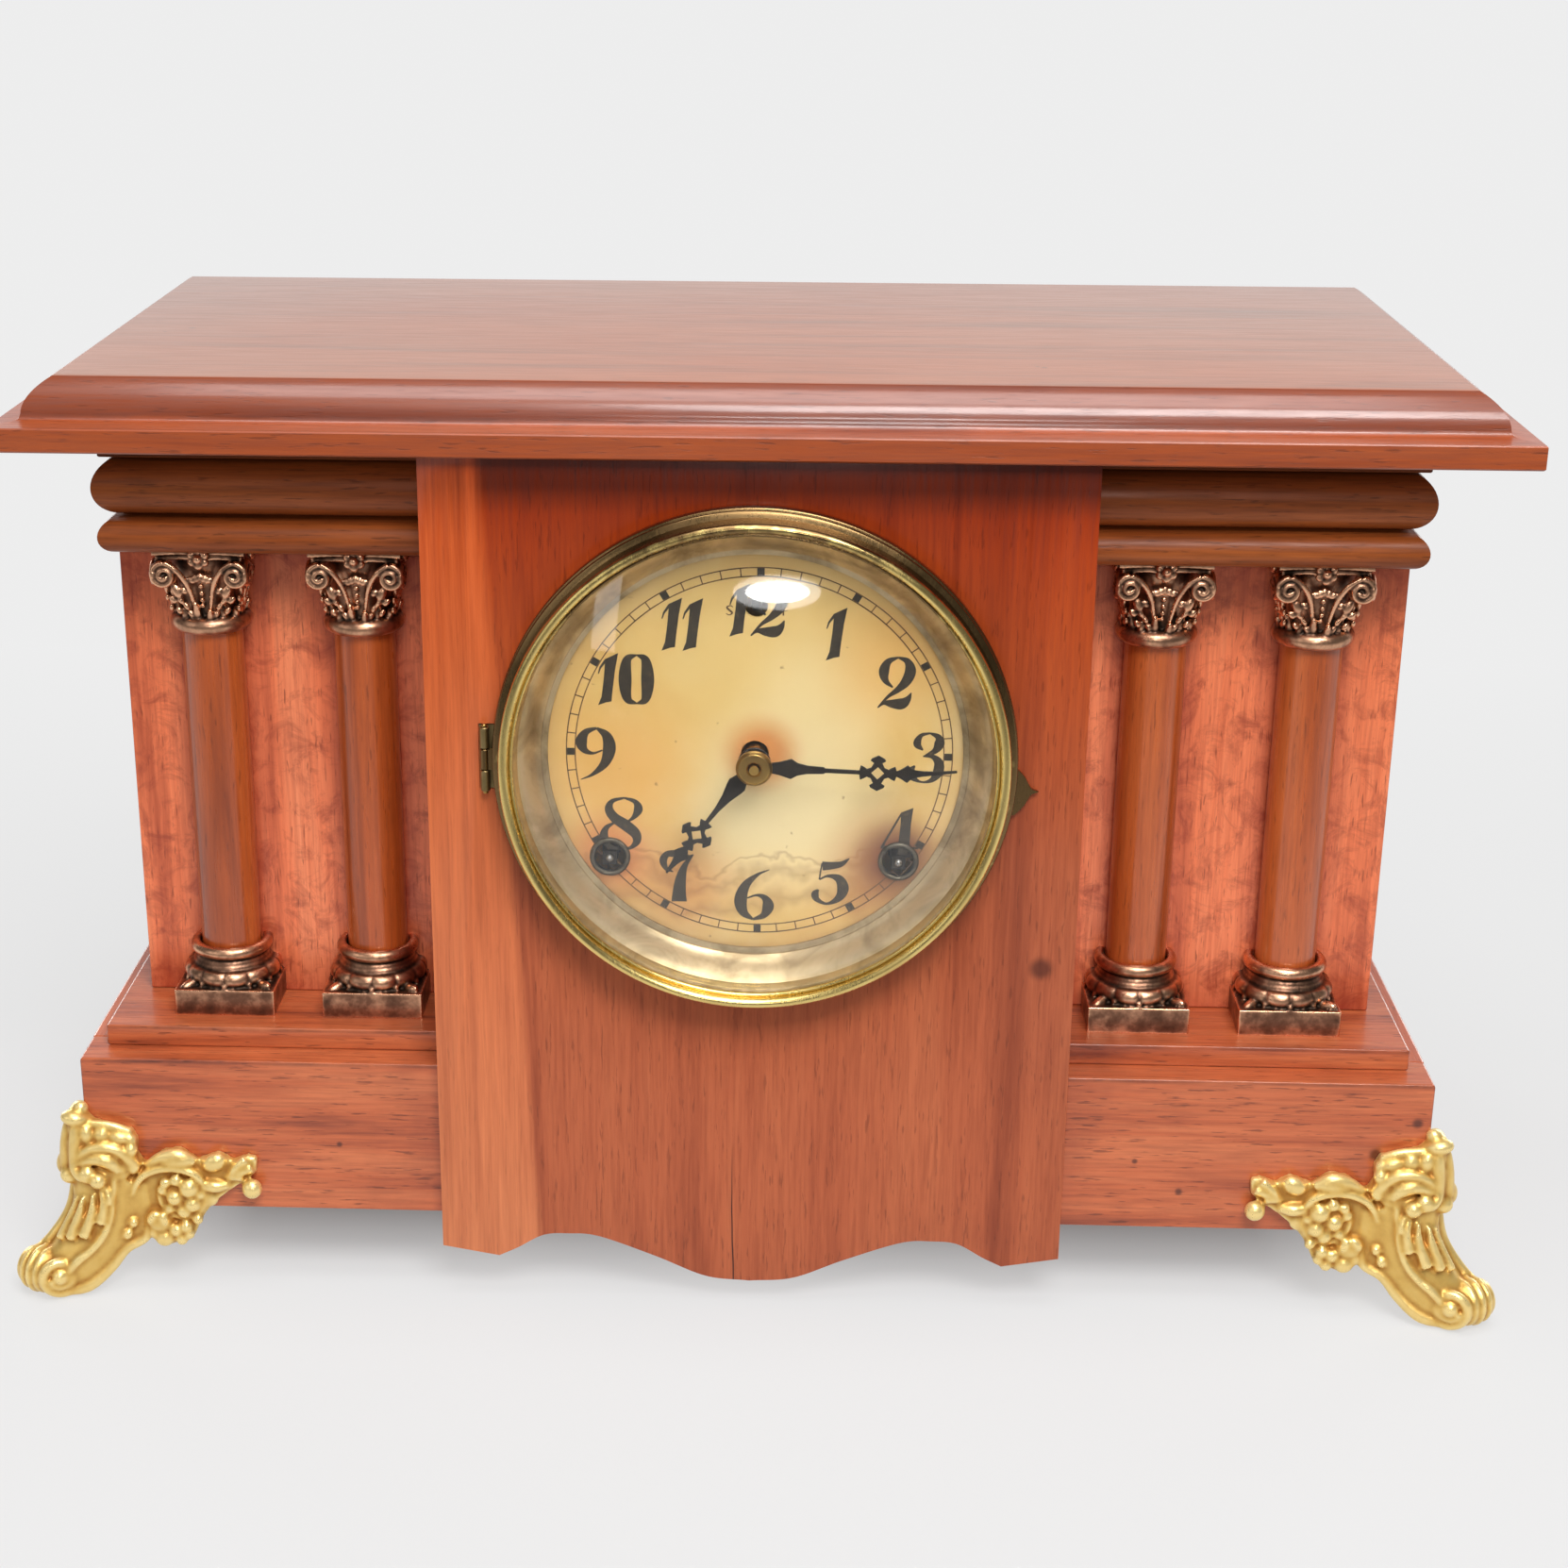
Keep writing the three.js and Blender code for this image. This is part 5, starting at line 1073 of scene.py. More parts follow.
def column_base_mesh():
    bm = bmesh.new()
    r, top, leaves = SHAFT_R, base_high.z - base_low.z, 12
    leafy = [(0, 7.6), (r + 3.6, 7.6), *arc(r + 3.0, 11.0, 2.9, -70, 60, 9),
             (r + 2.6, 14.0), (r + 1.2, 14.2), (0, 14.2)]

    def leaf(index, angle):
        crease = abs(math.sin(angle * leaves / 2))
        lift = 0.045 if 1 < index < 12 else 0.0
        return 1 + lift * (math.sqrt(crease) - 0.7)

    turned(bm, leafy, (0, 0, 0), "Z", 144, False, leaf)
    rings = [(0, 13.0), (r + 2.6, 13.0), *arc(r + 2.2, 14.4, 0.8, -90, 90, 7), *arc(r + 1.7, 15.7, 0.6, -90, 90, 7)]
    cup = [(r + 1.0, 16.6), *arc(r + 1.5, 19.2, 2.1, -80, 100, 12), (r + 0.5, top - 0.4), (r + 0.4, top - 4.0)]
    turned(bm, [*rings, *cup, (0, top - 4.0)], (0, 0, 0), "Z", 96, False)
    block(bm, (-PLINTH, -PLINTH, 0), (PLINTH, PLINTH, 8.5))
    for sx in (-1, 1):
        for sy in (-1, 1):
            lump(bm, (sx * 11.6, sy * 11.6, 8.8), (4.2, 1.7, 1.6), (0, -14, 45 if sx == sy else -45))
    for k in range(leaves):
        a = math.radians(90 + 360 * k / leaves)
        lump(bm, ((r + 5.4) * math.cos(a), (r + 5.4) * math.sin(a), 9.6), (1.0, 1.0, 0.9), detail=2)
    return cast_mesh("column_base_cast", bm, 0.42, 2, 1.5)


def set_down(source, part, floor):
    """Put a copy of a casting at every column, cut flat at the recess."""
    for number, (x, _) in enumerate(columns, 1):
        bm = bmesh.new()
        bm.from_mesh(source)
        for vert in bm.verts:
            vert.co = Vector((vert.co.x + x, vert.co.y + COLUMN_Y, vert.co.z + floor))
        cut_at_recess(bm)
        mesh = finished_mesh(f"column_{number}_cast_{part}", bm, 70, 0.0005)
        piece(mesh, copper_bronze, stands_for=[f"column_{number}_{part}"])


cast_base = column_base_mesh()
set_down(cast_base, "base", base_low.z)
print("column base casting:", len(cast_base.polygons), "faces")

# %% [markdown]
# The capital is a bell rising from a bright ring, under a hollow-sided slab. On each of its four
# faces two ribs climb from the middle and curl into corner volutes, and a rosette sits on the
# slab above. Rods, lumps and spirals are laid over each other.

# %% One face of a capital
SLAB = 14.2


def spiral(centre, start, turns, outer, inner, hand, depth, count=26):
    """Points of a flat spiral in the x-z plane, winding inwards from an angle."""
    points = []
    for t in np.linspace(0, 1, count):
        angle = math.radians(start + hand * 360 * turns * t)
        radius = outer + (inner - outer) * t ** 0.8
        points.append((centre[0] + radius * math.cos(angle), depth(t), centre[1] + radius * math.sin(angle)))
    return points


def capital_face():
    """Ribs, volutes, rosette and leaves of the face that looks forward."""
    part = bmesh.new()
    front = -(SHAFT_R + 4.0)
    for hand in (-1, 1):
        climb = [(hand * 2.2, front + 3.6, 7.0), (hand * 2.9, front + 2.4, 12.0), (hand * 4.2, front + 1.0, 17.0),
                 (hand * 6.8, front - 0.2, 21.4), (hand * 10.4, front - 0.4, 24.0)]
        rod(part, climb, [0.5, 0.7, 0.85, 0.95, 1.0], 8)
        curl = spiral((hand * 10.8, 19.8), 90, 1.75, 4.1, 0.7, -hand, lambda t: front - 0.3 - 0.9 * t)
        rod(part, curl, list(np.linspace(1.05, 0.65, len(curl))), 8, count=90)
        lump(part, (hand * 10.8, front + 1.6, 19.8), (4.0, 2.2, 4.0))
        lump(part, (hand * 7.6, front + 2.2, 14.4), (1.5, 1.0, 2.4), (0, hand * 24, 0))
        lump(part, (hand * 9.0, front + 2.6, 11.6), (1.0, 0.8, 1.6), (0, hand * 40, 0))
    for k in range(6):
        a = math.radians(60 * k + 30)
        lump(part, (2.2 * math.cos(a), -SLAB + 0.7, 25.2 + 2.2 * math.sin(a)), (1.5, 1.1, 1.5), detail=2)
    lump(part, (0, -SLAB - 0.1, 25.2), (1.5, 1.3, 1.5), detail=2)
    for k in (-2, -1, 0, 1, 2):
        lump(part, (k * 1.3, front + 1.2, 19.2 - abs(k) * 0.5), (1.0, 1.0, 1.5), (0, 22 * k, 0), 2)
    for k, z in enumerate((16.2, 13.8, 11.6, 9.6)):
        lump(part, (0, front + 1.7 + 0.5 * k, z), (1.0 - 0.1 * k, 0.9, 0.9), detail=2)
    for hand in (-1, 1):
        for k, (x, z) in enumerate(((5.4, 14.6), (6.6, 11.4), (5.0, 9.4), (7.4, 8.0), (3.9, 6.8))):
            lump(part, (hand * x, front + 2.2 + 0.35 * k, z), (0.9, 0.9, 1.5), (0, hand * 30, 0), 2)
    return part


print("a capital spiral has", len(spiral((0, 0), 90, 1.75, 4.1, 0.7, 1, lambda t: 0)), "points")

# %% [markdown]
# The face is joined four times, a quarter turn apart, to the bell and the slab. A ring of leaves,
# long and short by turns, stands round the foot of the bell, and all is melted into one skin.

# %% Column capitals
cap_low = span("column_1_capital")[0]


def capital_mesh():
    bm = bmesh.new()
    r, side, hollow = SHAFT_R, SLAB, SLAB - 1.6
    bell = [(0, 0), (r + 0.3, 0), *arc(r + 0.2, 2.8, 2.8, -80, 80, 13), (r - 0.6, 5.8), (r - 0.5, 10), (r + 0.3, 16),
            (r + 1.4, 20.5), (r + 2.2, 24.6), (0, 24.6)]
    turned(bm, bell, (0, 0, 0), "Z", 72, False)
    slab = [(-side, -side), (-side * 0.5, -hollow), (side * 0.5, -hollow), (side, -side), (hollow, -side * 0.5),
            (hollow, side * 0.5), (side, side), (-side, side), (-hollow, side * 0.5), (-hollow, -side * 0.5)]
    for low, high, scale in ((24.2, 26.0, 0.94), (26.0, 28.0, 1.0)):
        loft(bm, [[bm.verts.new((x * scale, y * scale, z)) for x, y in slab] for z in (low, high)])
    for quarter in range(4):
        join_into(bm, capital_face(), Matrix.Rotation(math.radians(90 * quarter), 4, "Z"))
    leaves = 16
    for k in range(leaves):
        a = 2 * math.pi * (k + 0.5) / leaves
        tall, reach = (9.2, r + 0.6) if k % 2 else (7.2, r + 0.9)
        path = [((reach + out) * math.cos(a), (reach + out) * math.sin(a), z) for out, z in (
            (-1.2, 4.4), (-0.2, tall * 0.75), (0.9, tall + 0.8), (1.7, tall + 0.2))]
        rod(bm, path, [1.5, 1.3, 0.95, 0.5], 8)
    return cast_mesh("capital_cast", bm, 0.36, 2, 1.5)


cast_capital = capital_mesh()
set_down(cast_capital, "capital", cap_low.z)
print("capital casting:", len(cast_capital.polygons), "faces")

# %% [markdown]
# ## Feet
# The four feet are one casting, mirrored: a crown on the corner, a scrolled wing with a berry
# rosette along the front, and a fluted leg that strides out to a rolled toe. It is modelled once
# for the front left corner, in distances along the front (s), out from it (t) and up (z).
# The ground comes first: a wall against the wood, a return along the side and the pad under
# the base.

# %% Foot: ground
WALL = [(0, 62.4), (3.5, 59.4), (15.4, 56.4), (17.0, 53), (16.6, 48), (18.6, 44.2), (21, 46), (25, 49), (30.3, 50),
        (35.7, 46), (42.7, 48.8), (47, 46), (52, 47.8), (55, 47), (54.5, 42), (50, 38.4), (46, 35.6), (40, 30.6),
        (36, 25), (33.5, 19), (29, 16.6), (24.5, 15), (19.5, 19), (17.2, 17.8), (12, 16), (5, 22), (0, 26)]


def put(s, t, z):
    return (s, -t, z)


def eggs(bm, rows):
    """Soft lumps from rows of s, t, z, radii and, if wanted, a tilt in degrees."""
    for s, t, z, radii, *tilt in rows:
        lump(bm, put(s, t, z), radii, (0, tilt[0] if tilt else 0, 0))


def band(bm, points, radii, sides=10):
    rod(bm, [put(*p) for p in points], radii, sides)


def foot_ground(bm):
    wall = bmesh.new()
    flat_plate(wall, WALL, [], -2.8, 0.0)
    join_into(bm, wall)
    block(bm, (-4.4, -4.4, 30), (1.5, 1.5, 61))
    block(bm, (-4.0, 0, 30), (0, 14.5, 57))
    block(bm, (0, 0, 24.8), (22, 22, 28))


print("foot wall outline:", len(WALL), "points")

# %% [markdown]
# The leg is a bent shell, lofted from sections that run side edge, hollow, ridge, band, front
# edge. Rods thicken three of those lines, and five tapered rods make the flutes.

# %% Foot: leg
LEG = [
    [(-4.6, -3.0, 42.0), (-3.0, 5.0, 42.0), (4.0, 7.2, 42.0), (9.8, 6.6, 41.0), (14.4, 5.0, 39.0), (19.0, 3.2, 37.0)],
    [(-5.8, -2.6, 33.0), (-3.6, 5.2, 33.6), (2.6, 7.6, 34.0), (9.0, 7.6, 34.0), (14.0, 4.6, 30.5), (19.5, 3.2, 26.0)],
    [(-7.4, -2.2, 26.2), (-5.2, 5.8, 26.6), (1.0, 8.2, 27.0), (8.0, 8.6, 27.6), (12.6, 5.4, 23.0), (17.8, 3.2, 18.4)],
    [(-10.4, -1.2, 20.4), (-7.6, 6.6, 21.0), (-1.6, 9.0, 21.4), (5.4, 9.6, 21.6), (9.4, 6.8, 17.0), (11.4, 4.6, 14.8)],
    [(-14.0, 0.6, 15.4), (-11.4, 7.4, 16.0), (-6.0, 10.2, 16.6), (1.4, 10.9, 17.0), (5.2, 8.4, 12.0), (6.2, 6.4, 9.0)],
    [(-17.6, 2.6, 11.6), (-15.0, 8.4, 12.0), (-10.0, 11.0, 13.0), (-2.6, 12.2, 14.0), (0.2, 10.6, 8.4),
     (-0.4, 9.0, 4.0)],
    [(-18.6, 4.0, 8.0), (-16.0, 8.6, 8.0), (-12.0, 11.0, 8.4), (-7.6, 12.2, 8.0), (-6.0, 11.8, 5.0), (-7.6, 10.4, 2.6)]]
FLUTES = [((7.4, 8.2, 38.0), (8.2, 8.6, 35.6), (8.0, 8.8, 33.2), 1.2),
          ((5.8, 8.4, 37.4), (6.4, 9.2, 32.0), (5.2, 9.8, 26.4), 1.9),
          ((3.0, 8.6, 36.4), (2.4, 9.4, 29.6), (-0.6, 10.4, 21.8), 2.1),
          ((-0.6, 7.8, 34.6), (-2.0, 8.8, 28.6), (-5.0, 9.6, 20.6), 2.0),
          ((-3.0, 6.4, 34.0), (-5.2, 7.0, 27.6), (-9.0, 7.8, 19.6), 1.6)]


def foot_leg(bm):
    stations, across = 31, 21
    lines = [smooth_path(line, stations) for line in zip(*LEG)]
    sections = []
    for row in zip(*lines):
        face = smooth_path(row, across)
        inner = [(p[0] + 2.8, p[1] - 3.2, p[2] + 1.2) for p in reversed(face)]
        sections.append([bm.verts.new(put(*p)) for p in [*face, *inner]])
    loft(bm, sections, turn_caps=True)
    side_edge, ridge, front_edge = ([station[k] for station in LEG] for k in (0, 3, 5))
    band(bm, side_edge, [1.8, 1.8, 1.9, 2.0, 2.2, 2.2, 1.8], 12)
    band(bm, ridge, [0.8, 1.0, 1.2, 1.3, 1.4, 1.5, 1.2])
    band(bm, front_edge[1:], [1.4, 1.6, 1.9, 2.2, 2.4, 2.0], 12)
    for *points, wide in FLUTES:
        band(bm, points, [0.5, wide * 0.72, wide], 8)


print("leg sections:", len(LEG), "flutes:", len(FLUTES))

# %% [markdown]
# The crown is a leaf folded round the corner, three fingers, a brow over an inner leaf and two
# balls.

# %% Foot: crown
CROWN_EGGS = [
    (-7.4, -1.0, 42.4, (3.2, 4.0, 4.2)), (-5.2, 3.6, 40.6, (3.2, 3.0, 3.0)), (-6.6, -7.4, 43.4, (2.6, 4.0, 4.0)),
    (-2.6, 3.0, 60.4, (4.4, 3.2, 2.5), 8), (-1.0, 0.6, 62.8, (2.6, 2.4, 2.4)), (-3.4, -5.0, 59.6, (2.6, 4.6, 2.2)),
    (1.5, 4.4, 55.4, (2.5, 2.3, 3.6), -12), (6.2, 4.2, 55.2, (2.9, 2.2, 2.9), 20),
    (11.4, 4.0, 54.4, (4.2, 2.1, 2.1), 10), (15.0, 3.6, 53.2, (2.2, 1.9, 2.4)), (8.0, 3.4, 49.0, (9.0, 2.2, 6.0)),
    (8.4, 4.2, 42.6, (6.4, 3.0, 4.2)), (15.3, 4.6, 50.4, (2.3, 2.2, 2.5)), (15.6, 4.6, 45.0, (2.1, 2.2, 3.3)),
    (12.4, 5.2, 44.2, (1.4, 1.8, 2.8)), (1.4, 7.4, 42.8, (2.9, 2.5, 2.7)), (5.0, 8.2, 40.8, (2.7, 2.6, 2.7))]
CROWN_BANDS = [
    ([(2.6, 3.2, 58.6), (9.6, 3.2, 57.8), (15.4, 2.8, 55.6)], [1.5, 1.6, 1.4]),
    ([(-1.4, 6.2, 48.0), (1.6, 6.6, 50.6), (5.0, 6.6, 51.8), (10.2, 6.2, 51.4), (14.0, 5.4, 48.2), (16.6, 4.6, 43.4)],
     [1.2, 1.5, 1.7, 1.8, 2.0, 1.8]),
    ([(-1.0, 6.8, 46.2), (4.8, 7.0, 48.2), (9.0, 6.8, 46.8), (11.2, 6.0, 43.6)], [0.9, 2.3, 2.4, 1.7]),
    ([(-2.2, 6.2, 46.4), (-2.6, 6.8, 44.0), (-0.8, 7.6, 42.2), (2.0, 8.2, 41.6)], [1.2, 1.5, 1.8, 1.8])]


def foot_crown(bm):
    for s, t, wide in ((-6.0, -8.0, 2.4), (-6.4, -3.4, 2.6), (-5.6, 1.4, 2.8), (-2.2, 4.6, 2.6)):
        fold = [(s * 1.1, t * 1.05, 43), (s, t, 50), (s * 0.86, t * 0.92, 56), (s * 0.7, t * 0.8, 60.6)]
        band(bm, fold, [wide, wide, wide * 0.86, 1.4])
    eggs(bm, CROWN_EGGS)
    for points, radii in CROWN_BANDS:
        band(bm, points, radii)


print("crown:", len(CROWN_EGGS), "eggs and", len(CROWN_BANDS), "bands")

# %% [markdown]
# Along the wing run the top leaves, a fan with its ball, a stem that rims the berry rosette and
# a hanging flower.

# %% Foot: wing
ROSETTE = (30.6, 33.4)
WING_EGGS = [
    (29.4, 4.0, 46.2, (5.4, 2.0, 2.4), -4), (41.4, 3.2, 45.6, (4.0, 2.2, 3.0), -28), (53.2, 3.6, 36.7, (3.3, 3.0, 3.3)),
    (30.6, 2.4, 33.4, (7.4, 2.4, 7.4)), (38.6, 2.4, 32.6, (3.4, 1.8, 3.0), 35), (22.6, 3.6, 24.6, (4.4, 2.8, 4.0), 20),
    (20.8, 5.2, 26.4, (1.6, 1.6, 2.8), 40), (24.4, 5.4, 26.0, (1.6, 1.4, 2.6), -20), (24.0, 4.0, 18.6, (3.2, 2.4, 3.0)),
    (21.0, 3.6, 20.6, (2.2, 2.0, 2.6)), (14.6, 5.2, 24.4, (1.5, 1.5, 1.7)), (12.6, 5.8, 20.6, (1.6, 1.6, 2.0), 25)]
BERRIES = [(s, 4.4, z, (r, r * 0.9, r)) for s, z, r in (
    (28.2, 33.4, 2.7), (33.0, 37.0, 3.3), (33.9, 31.2, 2.7), (25.4, 38.6, 1.8), (24.3, 36.0, 1.7), (29.0, 39.6, 2.0),
    (31.0, 28.6, 2.4), (36.4, 34.6, 1.5), (26.4, 29.4, 1.6))]
PETALS = [(s, 4.2, z, (r, r * 0.9, r)) for s, z, r in (
    (31.2, 22.8, 2.0), (32.2, 20.2, 1.8), (29.6, 18.2, 2.0), (28.0, 21.6, 2.2), (35.2, 25.6, 1.8))]
WING_BANDS = [
    ([(19.4, 2.8, 44.0), (24.6, 3.4, 47.2), (30.0, 3.4, 48.0), (35.2, 3.0, 45.6)], [1.2, 2.0, 2.3, 1.6]),
    ([(14.4, 4.2, 34.0), (16.6, 4.2, 38.6), (19.2, 4.2, 41.4), (24.0, 4.4, 43.6), (29.4, 4.4, 44.0), (34.6, 4.4, 42.2),
      (37.4, 4.0, 38.8)], [0.8, 1.2, 1.4, 1.5, 1.5, 1.4, 1.2]),
    ([(37.6, 3.4, 37.6), (41.6, 3.8, 37.4), (45.6, 3.2, 37.4)], [1.8, 2.1, 1.0])]


def foot_wing(bm):
    for points, radii in WING_BANDS:
        band(bm, points, radii)
    root = (45.4, 3.0, 40.0)
    for tip, wide in (((51.6, 3.0, 47.0), 1.7), ((53.6, 3.2, 44.2), 1.8), ((50.4, 3.4, 40.8), 1.5)):
        middle = ((root[0] + tip[0]) / 2, 3.6, (root[2] + tip[2]) / 2 + 0.5)
        band(bm, [root, middle, tip], [0.8, wide * 0.9, wide], 8)
    rim = [(ROSETTE[0] + 7.3 * math.cos(a), 3.4, ROSETTE[1] + 7.3 * math.sin(a)) for a in np.linspace(-3.6, 0.8, 14)]
    band(bm, rim, 1.1)
    for rows in (WING_EGGS, BERRIES, PETALS):
        eggs(bm, rows)


print("wing:", len(WING_EGGS), "eggs,", len(BERRIES), "berries and", len(PETALS), "petals")

# %% [markdown]
# The toe is a banded barrel with, at its front end, a scroll rolled round an eye. Then the whole
# foot is cast, levelled so that it stands on the table, and mirrored to the four corners.

# %% Foot: toe, casting and placing
def foot_toe(bm):
    left, front = Vector((-20.4, 4.2)), Vector((-8.0, 10.4))
    spin = math.degrees(math.atan2(front.y - left.y, front.x - left.x))
    for share, z, radii in (
            (0.0, 8.1, (2.2, 6.2, 6.2)), (0.16, 8.1, (2.2, 7.5, 7.5)), (0.36, 8.1, (2.2, 8.0, 8.0)),
            (0.56, 8.1, (2.2, 7.6, 7.6)), (0.45, 8.0, (8.4, 7.2, 7.2))):
        c = left.lerp(front, share)
        lump(bm, put(c.x, c.y, z), radii, (0, 0, -spin))
    curl = []
    for t in np.linspace(0, 1, 22):
        angle = math.radians(-60 - 470 * t)
        radius = 6.2 - 3.6 * t
        c, s = math.cos(angle), math.sin(angle)
        curl.append((-8.6 + 0.92 * radius * c, 11.4 + 2.2 * t - 0.4 * radius * c, 8.6 + radius * s))
    rod(bm, [put(*p) for p in curl], list(np.linspace(2.1, 1.2, len(curl))), 8, count=80)
    eggs(bm, [(-8.4, 13.4, 8.8, (2.6, 2.4, 2.6)), (-8.4, 10.0, 8.4, (5.6, 4.0, 6.2))])


def level_toe(mesh):
    """Stand the casting on the table: its lowest point touches it and nothing dips below."""
    lowest = min(vert.co.z for vert in mesh.vertices)
    for vert in mesh.vertices:
        vert.co.z = max(vert.co.z - lowest * max(1 - vert.co.z / 10, 0.0), 0.0)


foot_lumps = bmesh.new()
for lay_up in (foot_ground, foot_leg, foot_crown, foot_wing, foot_toe):
    lay_up(foot_lumps)
foot_cast = cast_mesh("foot_cast", foot_lumps, 0.62, 3, 1.3)
level_toe(foot_cast)
CORNER_X, CORNER_Y, _ = span("base_front")[0]
MIDDLE_Y = (CORNER_Y + span("back_board")[1].y) / 2


def set_foot(name, hand, back):
    bm = bmesh.new()
    bm.from_mesh(foot_cast)
    for vert in bm.verts:
        x, y = CORNER_X + vert.co.x, CORNER_Y + vert.co.y
        vert.co = Vector((-x if hand == "right" else x, 2 * MIDDLE_Y - y if back else y, vert.co.z))
    return finished_mesh(name, bm, 80, 0.0005)


for depth, back in (("front", False), ("rear", True)):
    for hand in ("left", "right"):
        mesh = set_foot(f"foot_{depth}_{hand}_cast", hand, back)
        piece(mesh, gilt, stands_for=[f"foot_{depth}_{hand}"])
print("foot casting:", len(foot_cast.polygons), "faces")

# %% [markdown]
# ## Door
# The door is a spun brass bezel: a stepped flange on the wood, a bead, a dark hollow and a
# bright roll that holds the domed glass. A turned profile with many sides keeps the highlights
# smooth. The hinge knuckle and the pointed latch tab are added to the same mesh.

# %% Bezel, sight ring and glass
bezel_low, bezel_high = span("bezel_ring")
BEZEL_R = (bezel_high.z - bezel_low.z) / 2
glass_low, glass_high = span("bezel_glass")
GLASS_R = (glass_high.z - glass_low.z) / 2
leaf_low, leaf_high = span("hinge_leaf")
pin_low, pin_high = span("hinge_pin")
HINGE_X, HINGE_Y = (pin_low.x + pin_high.x) / 2, (pin_low.y + pin_high.y) / 2
HINGE = (HINGE_X, HINGE_Y, DIAL_Z)
DIAL_AXIS = (0, 0, DIAL_Z)


def knuckle(bm, bore, low, high):
    """A rolled knuckle round the hinge pin, between two heights from the dial centre."""
    profile = [(bore, low), (1.2, low), (1.4, low + 0.2), (1.4, high - 0.2), (1.2, high), (bore, high)]
    turned(bm, profile, HINGE, "Z", 24)


def bezel():
    R, back, front, bore = BEZEL_R, bezel_high.y, bezel_low.y, GLASS_R + 0.4
    profile = [(bore, back), (R - 0.5, back), (R, back - 0.4), (R, back - 2.2)]
    profile += [*arc(R - 0.5, back - 2.7, 0.5, 0, -80, 4), (R - 1.1, back - 3.4)]
    profile += [*arc(R - 1.1, back - 5.2, 0.8, 70, -70, 6), (R - 2.2, back - 6.4)]
    profile += [(R - 2.6, front + 2.4), *arc(R - 4.1, front + 1.5, 1.5, 5, -170, 14), (R - 5.7, front + 2.2)]
    profile += [*arc(R - 6.2, front + 2.9, 0.6, -20, -160, 6), (R - 6.8, front + 3.3), (bore, front + 3.3)]
    bm = bmesh.new()
    turned(bm, profile, DIAL_AXIS, "Y", 160)
    third = (leaf_high.z - leaf_low.z) / 6 - 0.15
    knuckle(bm, 0.9, -third, third)
    block(bm, (HINGE_X + 1.0, HINGE_Y - 0.9, DIAL_Z - third), (-R + 0.8, HINGE_Y + 0.7, DIAL_Z + third))
    point = smooth_path([(R - 0.4, 7.4), (R + 2.2, 4.6), (R + 3.4, 2.4), (R + 4.4, 0.9), (R + 6.5, 0)], 16)
    tab = [(R - 3, 8), *[tuple(p) for p in point]]
    tab += [(x, -z) for x, z in tab[-2::-1]]
    tab_z = DIAL_Z - 8
    flat_plate(bm, [(x, tab_z + z) for x, z in tab], [], -1.6, -0.3)
    return finished_mesh("bezel_spun", bm, 34)


def sight_ring():
    low, high = span("sight_ring")
    outer, inner, back = (high.z - low.z) / 2, 62.0, high.y
    profile = [(outer, low.y), (outer, low.y + 1)]
    profile += [(inner + out, back - drop) for out, drop in (
        (2.2, 0), (0.6, 0.1), (0, 0.5), (0.1, 1.1), (1.7, 1.5), (1.9, 2.1), (3.0, 3.0))]
    for t in np.linspace(0, 1, 8):
        profile.append((inner + 3.8 + 4.4 * t, back - 4.0 - 5.6 * t - 0.7 * math.sin(math.pi * t)))
    profile += [(outer - 1.2, low.y + 0.6), (outer - 0.8, low.y)]
    return turned_mesh("sight_ring_spun", profile, DIAL_AXIS, "Y", 160, sharp=28)


def dome():
    rise = 13.0
    sheet = glass_high.y - (glass_low.y + rise)
    sphere = (GLASS_R ** 2 + rise ** 2) / (2 * rise)
    radii = [GLASS_R * math.sin(math.pi / 2 * t) for t in np.linspace(0, 1, 28)]
    lift = [math.sqrt(sphere ** 2 - r ** 2) - (sphere - rise) for r in radii]
    outer = [(r, glass_low.y + rise - h) for r, h in zip(radii, lift)]
    inner = [(r, y + sheet) for r, y in reversed(outer)]
    return turned_mesh("dome_glass", outer + inner, DIAL_AXIS, "Y", 128, False, 50)


piece(bezel(), bezel_brass, "door", ["bezel_ring"])
piece(sight_ring(), hazy_brass, "door", ["sight_ring"])
piece(dome(), clear_glass, "door", ["bezel_glass"])
print("bezel radius", round(BEZEL_R, 1), "glass radius", round(GLASS_R, 1))

# %% [markdown]
# The hinge leaf is a small brass plate let into the panel, with two rolled knuckles that
# stand above and below the door's own knuckle. The pin gets a rounded head at both ends.

# %% Hinge
def hinge_leaf():
    bm = bmesh.new()
    half = (leaf_high.z - leaf_low.z) / 2
    plate = [(leaf_low.x, -half), (leaf_high.x, -half), (leaf_high.x, half), (leaf_low.x, half)]
    flat_plate(bm, [(x, DIAL_Z + z) for x, z in plate], [], leaf_high.y - 0.8, leaf_high.y)
    third = half / 3 + 0.15
    for low, high in ((-half, -third), (third, half)):
        knuckle(bm, 1.0, low, high)
        block(bm, (HINGE_X - 0.9, HINGE_Y + 1.1, DIAL_Z + low), (HINGE_X + 0.9, leaf_high.y - 0.1, DIAL_Z + high))
    return finished_mesh("hinge_leaf_rolled", bm, 34)


def hinge_pin():
    half = (pin_high.z - pin_low.z) / 2
    profile = [(0, -half), (0.5, -half), (0.8, -half + 0.3), (0.8, half - 0.3), (0.5, half), (0, half)]
    return turned_mesh("hinge_pin_turned", profile, HINGE, "Z", 20, False)


piece(hinge_leaf(), old_brass, stands_for=["hinge_leaf"])
piece(hinge_pin(), brass, stands_for=["hinge_pin"])
print("hinge on axis x", round(HINGE_X, 1))

# %% [markdown]
# ## Dial
# The dial disc carries its printing as very thin ink. It is pierced for the two winding arbors,
# the hands and the regulator. Tin grommets line the winding holes.

